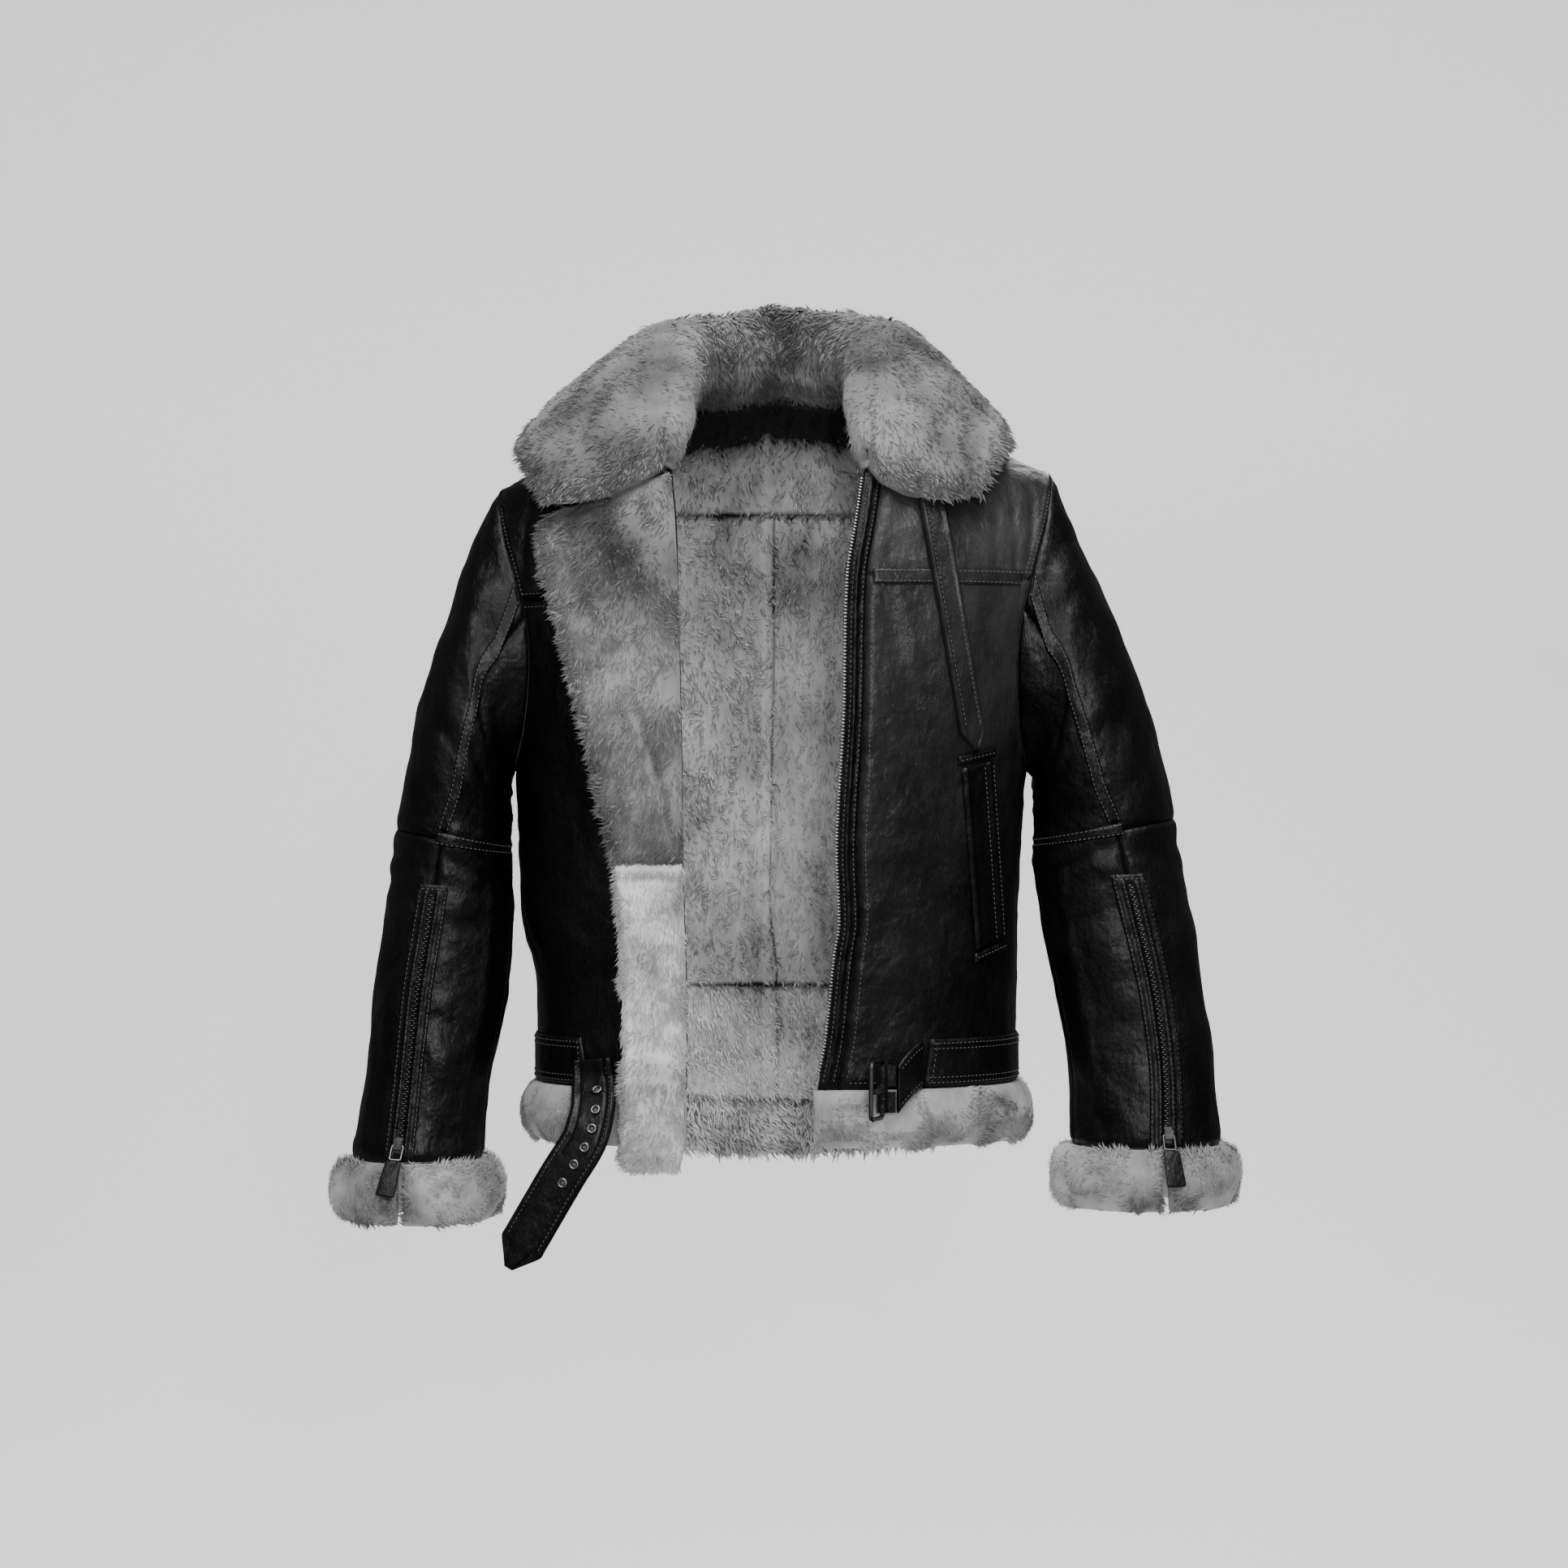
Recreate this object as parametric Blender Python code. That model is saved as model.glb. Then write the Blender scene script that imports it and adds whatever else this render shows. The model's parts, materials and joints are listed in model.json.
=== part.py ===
"""Sheepskin flying jacket, filled out as worn with nobody in it, its fronts open.

The wearer's left is +X, the front faces -Y and up is +Z. The origin lies between the
shoulder tips, where the shoulders carry the jacket. Sizes below are in millimetres and
are turned into metres as each point is placed. Every wall is a grid laid over a smooth
form (torso, sleeve or collar) and given its thickness along that form's own normal, so
neighbouring pieces share their directions and part by a small seam gap.
"""
import math

import bmesh
import bpy
from mathutils import Matrix, Vector

MM = 0.001
COLLECTION = "flying_jacket"

# Skin and wool
SKIN_WALL = 10.0
SEAM_GAP = 0.3
YOKE_GAP = 0.9
TAPE_THICK = 1.6
STRAP_THICK = 3.6
FUR_DEPTH = 16.0

# Torso: height, half width, half depth, centre across
TORSO = (
    (-630, 211, 130, 3),
    (-525, 211, 130, 3),
    (-480, 211, 131, 3),
    (-428, 213, 134, 2),
    (-385, 219, 137, -3),
    (-320, 222, 140, -3),
    (-250, 226, 142, -2),
    (-150, 240, 140, 0),
    (-50, 270, 132, 0),
    (40, 288, 122, 0),
    (140, 290, 116, 0),
)
SQUARENESS = 2.3
# Shoulder line: distance from the centre, height
SHOULDER = (
    (-48, 102),
    (0, 124),
    (48, 102),
    (84, 78),
    (130, 55),
    (190, 29),
    (244, 5),
    (292, -16),
)
SHOULDER_TILT = 0.03
SHOULDER_DROP = 170.0
TOP_HALF_WIDTH = 288.0

# Armhole: share of the way from underarm to shoulder tip, distance in from the torso's side
ARMHOLE = (
    (0.0, 0),
    (0.1, 11),
    (0.25, 21),
    (0.45, 31),
    (0.65, 36),
    (0.85, 35),
    (1.0, 36),
)
UNDERARM = -250.0
NECK_HALF_WIDTH = 84.0
NECK_BACK = 72.0
NECK_COLUMNS = 6
SIDE_COLUMNS = 5

# Seam heights
FRONT_HEM = -524.0
BACK_HEM_DROP = 30.0
BACK_YOKE_SEAM = -14.0
BACK_LOW_SEAM = -449.0
LEFT_YOKE_SEAM = -86.0
RIGHT_YOKE_SEAM = -105.0
FRONT_NECK = 8.0
FUR_BAND = 49.0

# Front edges: height, distance from the centre
ZIP_EDGE = (
    (-600, 32),
    (-573, 33),
    (-525, 38),
    (-485, 46),
    (-410, 54),
    (-384, 58),
    (-317, 56),
    (-205, 62),
    (-87, 65),
    (-38, 73),
    (10, 80),
    (60, 86),
)
FOLD_EDGE = (
    (-610, -77),
    (-459, -75),
    (-331, -78),
    (-234, -79),
    (-101, -82),
    (-36, -85),
    (10, -90),
    (60, -92),
)
LAPEL_EDGE = (
    (-610, -124),
    (-459, -126),
    (-331, -133),
    (-257, -148),
    (-175, -167),
    (-118, -182),
    (-81, -192),
    (-52, -197),
    (-20, -182),
    (10, -168),
)
LAPEL_BREAK = -331.0
LAPEL_BOTTOM = -594.0
ZIP_FACING = 15.0

# Sleeve rings from shoulder to wrist: outer x, outer z, inner x, inner z, middle y, half depth
LEFT_SLEEVE = (
    (268, -42, 230, -259, 0, 80),
    (293, -98, 230, -269, 0, 84),
    (316, -152, 230, -280, -1, 84),
    (338, -216, 230, -294, -2, 82),
    (353, -283, 230, -311, -4, 77),
    (361, -331, 230, -339, -8, 72),
    (370, -382, 236, -382, -13, 67),
    (379, -452, 250, -452, -22, 62),
    (387, -513, 260, -513, -30, 59),
    (392, -577, 261, -577, -36, 60),
)
RIGHT_SLEEVE = (
    (270, -58, 232, -259, 0, 80),
    (290, -118, 232, -270, 0, 84),
    (308, -172, 232, -282, -1, 84),
    (320, -222, 232, -297, -2, 82),
    (332, -292, 232, -317, -4, 77),
    (338, -340, 231, -348, -8, 72),
    (345, -388, 230, -390, -13, 67),
    (352, -450, 234, -452, -22, 62),
    (357, -515, 247, -515, -30, 59),
    (369, -589, 254, -589, -37, 60),
)
WRIST = 10.0
ELBOW = 5.2
UNDER_SEAM = 0.47
# Front seam of a sleeve: ring, share of the way round from the outer side
FRONT_SEAM = (
    (0.0, 0.25),
    (4.0, 0.262),
    (5.2, 0.237),
    (7.0, 0.218),
    (8.0, 0.208),
    (10.0, 0.22),
)
SLEEVE_WALL = 9.0
ARMHOLE_WALL = 2.0
UPPER_ROWS = 8
FORE_ROWS = 5
SEAM_TRIM = 0.0006
ARMHOLE_TRIM = 0.0012
ELBOW_TRIM = 0.007
TAPE_HALF = 0.014
TAPE_END = 0.2
CUFF_HEIGHT = 53.0
CUFF_SPLIT = 0.011
CUFF_BULGE = 14.0
CUFF_SKIN = 5.0
CUFF_SPLIT_ROUND = 0.09
PLACKET_HALF = 0.036

# Front trims on the wearer's left: corner pairs (across, height), low then high
YOKE_TAPE = (((85, -93), (213, -92)), ((85, -80), (216, -79)))
POCKET_WELT = (((174, -408), (200, -398)), ((161, -250), (189, -243)))
POCKET_TOP = (((158, -248), (191, -240)), ((158, -240), (191, -232)))
POCKET_LOW = (((173, -418), (202, -407)), ((173, -410), (202, -399)))
COLLAR_STRAP = (((161, -236), (182, -232)), ((115, 30), (137, 34)))
STRAP_ROWS = 12
STRAP_POINT = 0.055
EDGE_TRIM = math.radians(0.09)
ARMHOLE_GAP = 1.8
CUFF_GAP = 1.6
LAID_GAP = 0.8
NECK_START = 36.0
NECK_CLIMB = 40.0
FACING_WALL = 6.0
FACING_GAP = 0.8

# Lapel
LAPEL_TOP = (-30.0, 2.0)
LAPEL_SKIN = 4.0
LAPEL_WOOL = 11.0
LAPEL_RIM = 0.17
LOWER_LAPEL_PROUD = 1.0
RISE_START = -490.0
RISE_HEIGHT = 28.0
FOLD_ROLL = 1.5

# Fur hem
FUR_BULGE = 11.0
FUR_SKIN = 4.0
FUR_UNDER_LAPEL = 6.0
UNDER_LAPEL = (0.5, 0.16)
COLLAR_SKIN = 6.0
COLLAR_RIM = 0.1
COLLAR_LEAN = 0.18
ROLL_REACH = (6.0, 0.16)

# Belt: tunnels at the sides, hanging strap and buckle
TUNNEL_LOW = -523.0
TUNNEL_HIGH = -482.0
TUNNEL_THICK = 2.4
TUNNEL_BACK = 122.0
TUNNEL_MOUTHS = (("left", 1, 128.0), ("right", -1, 158.0))
MOUTH_SLOPE = 0.15
BELT_WIDTH = 40.0
# Share along the hanging strap, then x, y, z of its middle
STRAP_PATH = (
    (0.0, -155, -99.4, -500),
    (0.1, -154, -101.4, -517),
    (0.2, -153, -118, -534),
    (0.3, -155, -127, -549),
    (0.42, -161, -131, -568),
    (0.6, -179, -131, -597),
    (0.86, -210, -127, -650),
    (1.0, -225, -124, -676),
)
STRAP_SIDE = -1
# The strap's facing in degrees at its top and lower down, and how fast it turns
STRAP_FACING = (33.0, 12.0)
STRAP_TURN = 3.0
# Length share of the pointed end and width share at its very end
STRAP_TIP = (0.1, 0.2)
EYELETS = (0.17, 0.26, 0.35, 0.44, 0.53, 0.62)
EYELET_ACROSS = 0.6
EYELET_RADIUS = 3.4
EYELET_WIRE = 1.1
BELT_MOUTH = (127.2, -503.0)
BELT_PROUD = 3.1
BELT_BEND = (118.0, -132.0, -507.0)
BELT_END_GAP = 2.2
BELT_MARGIN = 2.0
BUCKLE_BAR = (93.0, -143.0, -522.0)
BUCKLE_FORWARD = (-0.35, -0.94, 0.0)
BUCKLE_REACH = 30.0
BAR_RADIUS = 2.0
BAR_PLAY = 0.6
LOOP_RADIUS = 5.2
LOOP_TAIL = 11.0
PRONG_SLOT = 5.0
PRONG_EYE = 4.6
PRONG_SIDE = 4.0
PRONG_TIP = (33.0, 0.9)
PRONG_ROOT = (4.5, 1.3)

# Cuff zip slider and pull
SLIDER_PLACE = 0.972
SLIDER_WIDTH = 7.0
# Slider and its slot in profile: down the sleeve, out from it
SLIDER_BODY = (
    (0, 0), (14, 0), (14, 2), (11.5, 2.4), (10.5, 6.2), (3, 6.2), (2, 2.4), (0, 2.4),
)
SLIDER_SLOT = ((3.8, 2.8), (3.8, 5.1), (8.8, 5.1), (8.8, 2.8))
HINGE_DOWN = 7.4
HINGE_OUT = 3.95
PULL_TILT = 20.0
LINK_LENGTH = 13.0
LINK_HALF = 5.0
LINK_WIRE = 0.75
TAB_LENGTH = 33.0
TAB_HALF = 8.5
TAB_THICK = 3.0
TAB_CORNER = 3.0
TAB_TAPER = 0.8

# Collar: share of the way round from the right front, heading of the fall in degrees,
# height of the stand, reach of the fall, drop of the fall from the roll to its edge
COLLAR = (
    (0.0, 181, 16, 104, 50),
    (0.1, 181, 24, 122, 62),
    (0.2, 180, 36, 130, 78),
    (0.3, 172, 50, 128, 98),
    (0.4, 128, 63, 92, 117),
    (0.5, 90, 67, 58, 123),
    (0.6, 52, 63, 90, 119),
    (0.7, 8, 50, 118, 102),
    (0.8, 0, 36, 114, 80),
    (0.9, 1, 24, 108, 60),
    (1.0, 5, 16, 96, 42),
)
COLLAR_COLUMNS = 32
COLLAR_FRONT = 0.5 - NECK_COLUMNS / COLLAR_COLUMNS
COLLAR_GAP = 0.9
FOLD_NECK = 90.0
ZIP_NECK = 80.0


def read(rows, place):
    """Smooth values of a table's other columns at a place along its first column."""
    last = len(rows) - 1
    index = 0
    while index < last - 1 and place > rows[index + 1][0]:
        index += 1
    low = rows[index]
    high = rows[index + 1]
    before = rows[max(index - 1, 0)]
    after = rows[min(index + 2, last)]
    span = high[0] - low[0]
    part = (place - low[0]) / span
    values = []
    for column in range(1, len(low)):
        start_slope = (high[column] - before[column]) / (high[0] - before[0]) * span
        end_slope = (after[column] - low[column]) / (after[0] - low[0]) * span
        values.append(hermite(low[column], high[column], start_slope, end_slope, part))
    return values


def hermite(start, end, start_slope, end_slope, part):
    """Cubic from start to end that leaves and arrives with the given slopes."""
    square = part * part
    cube = square * part
    return (
        start * (2 * cube - 3 * square + 1)
        + start_slope * (cube - 2 * square + part)
        + end * (3 * square - 2 * cube)
        + end_slope * (cube - square)
    )


def mix(start, end, part):
    """Straight mix of two values."""
    return start + (end - start) * part


def swell(part, fullness=0.6):
    """Rises from 0 at one end to 1 in the middle and back to 0."""
    return max(math.sin(math.pi * min(max(part, 0.0), 1.0)), 0.0) ** fullness


# Torso form

def ridge_height(across):
    """Height of the shoulder line at a distance from the centre."""
    return read(SHOULDER, abs(across))[0] + SHOULDER_TILT * across


def across_share(angle):
    """Share of the half width at an angle from straight ahead."""
    sine = math.sin(angle)
    return math.copysign(abs(sine) ** (2 / SQUARENESS), sine)


def depth_share(angle):
    """Share of the half depth at an angle from straight ahead."""
    cosine = math.cos(angle)
    return math.copysign(abs(cosine) ** (2 / SQUARENESS), cosine)


def ease(turn):
    """Drop below the shoulder line and share of depth reached there."""
    if turn < math.pi / 2:
        return SHOULDER_DROP * (1 - math.cos(turn)), math.sin(turn)
    return SHOULDER_DROP * (1 + turn - math.pi / 2), 1.0


def turn_at_drop(drop):
    """The turn over the shoulder that reaches a drop below the shoulder line."""
    if drop < SHOULDER_DROP:
        return math.acos(1 - max(drop, 0.0) / SHOULDER_DROP)
    return math.pi / 2 + drop / SHOULDER_DROP - 1


def torso_point(side, angle, turn):
    """Point of the torso: side -1 is the front, angle from straight ahead, turn from the ridge."""
    share = across_share(angle)
    drop, fullness = ease(turn)
    height = ridge_height(TOP_HALF_WIDTH * share) - drop
    half_width, half_depth, centre = read(TORSO, height)
    depth = half_depth * depth_share(angle) * fullness
    return Vector((centre + half_width * share, side * (depth + SEAM_GAP / 2), height))


def angle_at(across, height):
    """Angle from straight ahead of a point at a distance from the centre and a height."""
    half_width, _, centre = read(TORSO, height)
    share = max(-1.0, min(1.0, (across - centre) / half_width))
    return math.copysign(math.asin(abs(share) ** (SQUARENESS / 2)), share)


def turn_at(angle, height):
    """The turn over the shoulder that reaches a height at an angle."""
    return turn_at_drop(ridge_height(TOP_HALF_WIDTH * across_share(angle)) - height)


def torso_at(side, across, height):
    """Point of the torso at a distance from the centre and a height."""
    angle = angle_at(across, height)
    return torso_point(side, angle, turn_at(angle, height))


def underarm_drop(hand):
    """Drop from the shoulder line to the underarm; hand is 1 for the wearer's left."""
    return ridge_height(hand * TOP_HALF_WIDTH) - UNDERARM


def armhole_angle(hand, turn):
    """Angle of the armhole's edge at a turn below the shoulder line."""
    drop = ease(turn)[0]
    share = 1 - drop / underarm_drop(hand)
    if share <= 0:
        return hand * math.pi / 2
    inset = read(ARMHOLE, share)[0]
    angle = hand * math.radians(60.0)
    for _ in range(8):
        height = ridge_height(TOP_HALF_WIDTH * across_share(angle)) - drop
        reach = 1 - inset / read(TORSO, height)[0]
        angle = hand * math.asin(reach ** (SQUARENESS / 2))
    return angle


def side_angle(hand, height):
    """Angle of a panel's side edge at a height: the side seam, then the armhole."""
    if height <= UNDERARM:
        return hand * (math.pi / 2 - EDGE_TRIM)
    angle = hand * math.radians(70.0)
    for _ in range(12):
        angle = armhole_angle(hand, turn_at(angle, height))
    return angle - hand * EDGE_TRIM


def neck_turn(angle):
    """The turn at the top of the back yoke: the shoulder line, or the neck curve inside it."""
    height = ridge_height(TOP_HALF_WIDTH * across_share(angle))
    half_width, half_depth, centre = read(TORSO, height)
    across = (centre + half_width * across_share(angle)) / NECK_HALF_WIDTH
    if abs(across) >= 1.0:
        return 0.0
    reach = NECK_BACK * math.sqrt(1 - across ** 2)
    return math.asin(min(reach / (half_depth * depth_share(angle)), 1.0))


def back_hem(angle):
    """Height of the back leather's lower edge, lowest in the middle."""
    return FRONT_HEM - BACK_HEM_DROP * math.cos(angle) ** 2


def level_panel(side, low, knots, spread):
    """A panel with level rows: low edge by angle, knots of (share of rows, height) above it."""
    def surface(across, along):
        angle = spread(across, stepped(along, ((0.0, low(0.0)),) + knots))
        height = stepped(along, ((0.0, low(angle)),) + knots)
        return torso_point(side, angle, turn_at(angle, height))
    return surface


def between(left, right):
    """Columns spread evenly between two edges given as angles by height."""
    return lambda across, height: mix(left(height), right(height), across)


def stepped(place, knots):
    """Straight from knot to knot of (place, value)."""
    index = 1
    while index < len(knots) - 1 and place > knots[index][0]:
        index += 1
    (start, low), (end, high) = knots[index - 1], knots[index]
    return mix(low, high, (place - start) / (end - start))


def back_angle(hand, share, side):
    """Angle of a column of the back: close together under the neck, even from there to the side."""
    neck_share = NECK_COLUMNS / (NECK_COLUMNS + SIDE_COLUMNS)
    if share < neck_share:
        across = NECK_HALF_WIDTH * math.sin(math.pi / 2 * share / neck_share)
        return hand * angle_at(across, ridge_height(across))
    corner = hand * angle_at(NECK_HALF_WIDTH, ridge_height(NECK_HALF_WIDTH))
    return mix(corner, side, (share - neck_share) / (1 - neck_share))


def yoke_panel(side, seam, left, right, top):
    """A panel over the shoulder: its lower edge level, its rows spread over the turn."""
    def turn_on(angle, along):
        return mix(turn_at(angle, seam), top(angle), along)

    def solved(edge, start, along):
        angle = start
        for _ in range(12):
            angle = edge(turn_on(angle, along), angle)
        return angle

    def surface(across, along):
        if side > 0:
            hand = math.copysign(1, across - 0.5)
            edge = left if hand < 0 else right
            angle = solved(edge, hand * math.radians(60.0), along)
            angle = back_angle(hand, abs(across - 0.5) * 2, angle)
        else:
            start = solved(left, math.radians(40.0), along)
            end = solved(right, math.radians(40.0), along)
            angle = mix(start, end, across)
        return torso_point(side, angle, turn_on(angle, along))
    return surface


# Sleeve form

def armhole_point(hand, round_share):
    """Point of the armhole: 0 at the shoulder tip, a quarter in front, half at the underarm."""
    round_share = round_share % 1.0
    side = -1 if round_share < 0.5 else 1
    drop = underarm_drop(hand) * (1 - math.cos(2 * math.pi * round_share)) / 2
    turn = turn_at_drop(drop)
    return torso_point(side, armhole_angle(hand, turn), turn)


def sleeve_ring(hand, rings, index, round_share):
    """Point of one ring of a sleeve; ring 0 is the armhole."""
    if index <= 0:
        return armhole_point(hand, round_share)
    outer_x, outer_z, inner_x, inner_z, middle_y, depth = rings[min(index, len(rings)) - 1]
    circle = 2 * math.pi * round_share
    swing = math.cos(circle)
    across = (outer_x + inner_x) / 2 + (outer_x - inner_x) / 2 * swing
    height = (outer_z + inner_z) / 2 + (outer_z - inner_z) / 2 * swing
    return Vector((hand * across, middle_y - depth * math.sin(circle), height))


def sleeve_point(hand, rings, round_share, ring):
    """Point of a sleeve between its rings, on a smooth curve through them."""
    index = max(0, min(int(math.floor(ring)), len(rings) - 1))
    part = ring - index
    low = sleeve_ring(hand, rings, index, round_share)
    high = sleeve_ring(hand, rings, index + 1, round_share)
    if index == 0:
        start_slope = high - low
    else:
        start_slope = (high - sleeve_ring(hand, rings, index - 1, round_share)) / 2
    if index + 1 >= len(rings):
        end_slope = high - low
    else:
        end_slope = (sleeve_ring(hand, rings, index + 2, round_share) - low) / 2
    point = hermite(low, high, start_slope, end_slope, part)
    if ring < 1.0:
        away = Vector((hand * ARMHOLE_GAP, 0.0, 0.0)) * (1 - max(ring, 0.0))
        point = point + away
    return point


def front_seam(ring):
    """Place of a sleeve's front seam round the sleeve."""
    return read(FRONT_SEAM, ring)[0]


def sleeve_panel(hand, rings, start, end, first, last):
    """Part of a sleeve between two seams and two rings."""
    def surface(across, along):
        ring = mix(first, last, along)
        round_share = mix(start(ring), end(ring), across)
        return sleeve_point(hand, rings, round_share, ring)
    return surface


def cuff_surface(hand, rings):
    """The fur cuff's middle surface below the wrist, split at the zip."""
    seam = front_seam(WRIST)

    def surface(across, along):
        round_share = mix(seam + CUFF_SPLIT, seam + 1 - CUFF_SPLIT, across)
        point = sleeve_point(hand, rings, round_share, WRIST)
        return point - Vector((0.0, 0.0, CUFF_GAP + CUFF_HEIGHT * along))
    return surface


# Collar form

def lifted(side, angle, turn, gap):
    """Point a gap outside the torso, along its normal."""
    step = 0.002
    level = torso_point(side, angle + step, turn) - torso_point(side, angle - step, turn)
    slope = torso_point(side, angle, turn + step) - torso_point(side, angle, turn - step)
    normal = level.cross(slope).normalized()
    return torso_point(side, angle, turn) + normal * math.copysign(gap, normal.z)


def neck_seam(share):
    """The collar's seam on the torso, from the right front round the back to the left front."""
    if COLLAR_FRONT < share < 1 - COLLAR_FRONT:
        swing = math.pi * (share - COLLAR_FRONT) / (1 - 2 * COLLAR_FRONT)
        across = -NECK_HALF_WIDTH * math.cos(swing)
        angle = angle_at(across, ridge_height(across))
        return lifted(1, angle, neck_turn(angle), COLLAR_GAP)
    hand = -1 if share < 0.5 else 1
    climb = min(share, 1 - share) / COLLAR_FRONT
    start = (FOLD_NECK if hand < 0 else ZIP_NECK) * hand
    across = mix(start, NECK_HALF_WIDTH * hand, climb)
    angle = angle_at(across, mix(FRONT_NECK, ridge_height(across), climb))
    turn = turn_at(angle, FRONT_NECK) * (1 - climb)
    return lifted(-1, angle, turn, COLLAR_GAP)


def collar_surface(across, along):
    """The collar's leather side: along runs from the neck seam over the roll to the edge."""
    heading, stand, reach, drop = read(COLLAR, across)
    outward = Vector((math.cos(math.radians(heading)), math.sin(math.radians(heading)), 0.0))
    neck = neck_seam(across)
    up = Vector((0.0, 0.0, 1.0))
    lean = stand * COLLAR_LEAN
    over = ROLL_REACH[0] + ROLL_REACH[1] * stand
    profile = (
        (0.0, neck),
        (0.16, neck - outward * lean + up * (stand * 0.5)),
        (0.3, neck - outward * lean * 0.4 + up * (stand * 0.93)),
        (0.4, neck + outward * over + up * stand),
        (0.52, neck + outward * (reach * 0.34) + up * (stand - drop * 0.14)),
        (0.76, neck + outward * (reach * 0.7) + up * (stand - drop * 0.55)),
        (1.0, neck + outward * reach + up * (stand - drop)),
    )
    rows = [(share, point.x, point.y, point.z) for share, point in profile]
    return Vector(read(rows, along))


# Walls

def normal_of(surface, across, along, turn):
    """Unit normal of a surface, turned to its outer side."""
    step = 0.0005
    side = surface(across + step, along) - surface(across - step, along)
    rise = surface(across, along + step) - surface(across, along - step)
    return side.cross(rise).normalized() * turn


def offset(value, across, along):
    """A number, or a number that changes over the piece."""
    return value(across, along) if callable(value) else value


def wall(name, surface, grid, outer, inner, finish, turn=1):
    """A closed wall over a grid of a surface, from outer to inner beside the surface."""
    mesh_tool = bmesh.new()
    columns, rows = grid
    bmesh.ops.create_grid(mesh_tool, x_segments=columns, y_segments=rows, size=0.5)
    bmesh.ops.solidify(mesh_tool, geom=mesh_tool.faces[:], thickness=1.0)
    for vertex in mesh_tool.verts:
        across = vertex.co.x + 0.5
        along = vertex.co.y + 0.5
        is_inner = abs(vertex.co.z) > 0.5
        beside = -offset(inner, across, along) if is_inner else offset(outer, across, along)
        normal = normal_of(surface, across, along, turn)
        vertex.co = (surface(across, along) + normal * beside) * MM
    if mesh_tool.calc_volume(signed=True) < 0:
        bmesh.ops.reverse_faces(mesh_tool, faces=mesh_tool.faces[:])
    return finished(name, mesh_tool, finish)


def finished(name, mesh_tool, finish):
    """Turn a bmesh into a named object with its own material in the jacket's collection."""
    mesh = bpy.data.meshes.new(name)
    mesh_tool.to_mesh(mesh)
    mesh_tool.free()
    mesh.shade_smooth()
    piece = bpy.data.objects.new(name, mesh)
    return settle(piece, finish)


def settle(piece, finish, place=None):
    """Give an object its material and place, and move it to the jacket's collection."""
    piece.data.materials.clear()
    piece.data.materials.append(make_material(piece.name, finish))
    if place is not None:
        piece.matrix_world = place
    for old in list(piece.users_collection):
        old.objects.unlink(piece)
    bpy.data.collections[COLLECTION].objects.link(piece)
    return piece


# Finish: colour, roughness, metallic
FINISHES = {
    "leather": ((0.018, 0.017, 0.017), 0.38, 0.0),
    "fleece": ((0.56, 0.56, 0.55), 0.95, 0.0),
    "metal": ((0.34, 0.34, 0.33), 0.34, 1.0),
}


def make_material(name, finish):
    """A Principled material for one piece."""
    colour, roughness, metallic = FINISHES[finish]
    material = bpy.data.materials.new(name + "_" + finish)
    material.use_nodes = True
    shader = material.node_tree.nodes["Principled BSDF"]
    shader.inputs["Base Color"].default_value = (*colour, 1.0)
    shader.inputs["Roughness"].default_value = roughness
    shader.inputs["Metallic"].default_value = metallic
    return material


# Pieces of the body

def constant(value):
    """A seam that stays at one value."""
    return lambda _: value


def trimmed_armhole(hand):
    """The armhole edge of a yoke, a seam gap inside the armhole."""
    return lambda turn, _: armhole_angle(hand, turn) - hand * EDGE_TRIM


def build_back():
    """Back yoke, two back panels and two low back panels."""
    wall(
        "back_yoke",
        yoke_panel(
            1, BACK_YOKE_SEAM + YOKE_GAP, trimmed_armhole(-1), trimmed_armhole(1), neck_turn
        ),
        (2 * (NECK_COLUMNS + SIDE_COLUMNS), 5), 0.0, SKIN_WALL, "leather", turn=-1,
    )
    for name, hand in (("right", -1), ("left", 1)):
        def spread(across, height, hand=hand):
            side = side_angle(hand, height)
            share = across if hand > 0 else 1 - across
            return back_angle(hand, share, side) + hand * EDGE_TRIM / 2 * (1 - share)
        upper = constant(BACK_LOW_SEAM + SEAM_GAP)
        for level, low, knots, rows in (
            ("upper", upper, ((0.5, UNDERARM), (1.0, BACK_YOKE_SEAM)), 14),
            ("lower", back_hem, ((1.0, BACK_LOW_SEAM),), 2),
        ):
            wall(
                f"back_{level}_{name}", level_panel(1, low, knots, spread),
                (NECK_COLUMNS + SIDE_COLUMNS, rows), 0.0, SKIN_WALL, "leather", turn=-1,
            )


def zip_angle(height):
    """Angle of the wearer's left front edge."""
    return angle_at(read(ZIP_EDGE, height)[0], height)


def facing_angle(height):
    """Angle of the zip facing's inner edge."""
    return angle_at(read(ZIP_EDGE, height)[0] + ZIP_FACING, height)


def panel_edge_angle(height):
    """Angle of the seam between the left front panel and its zip facing."""
    return angle_at(read(ZIP_EDGE, height)[0] + ZIP_FACING + FACING_GAP, height)


def fold_angle(height):
    """Angle of the fold of the turned-back right front."""
    return angle_at(read(FOLD_EDGE, height)[0], height)


def neck_edge(hand):
    """A front yoke's neck edge: up from the front edge to the shoulder line."""
    def edge(turn, angle):
        height = ridge_height(TOP_HALF_WIDTH * across_share(angle)) - ease(turn)[0]
        level = min(height, NECK_START)
        start = panel_edge_angle(level) if hand > 0 else fold_angle(level)
        climb = max(0.0, min(1.0, (height - NECK_START) / NECK_CLIMB))
        return mix(start, angle_at(NECK_HALF_WIDTH * hand, height), climb)
    return edge


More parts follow.
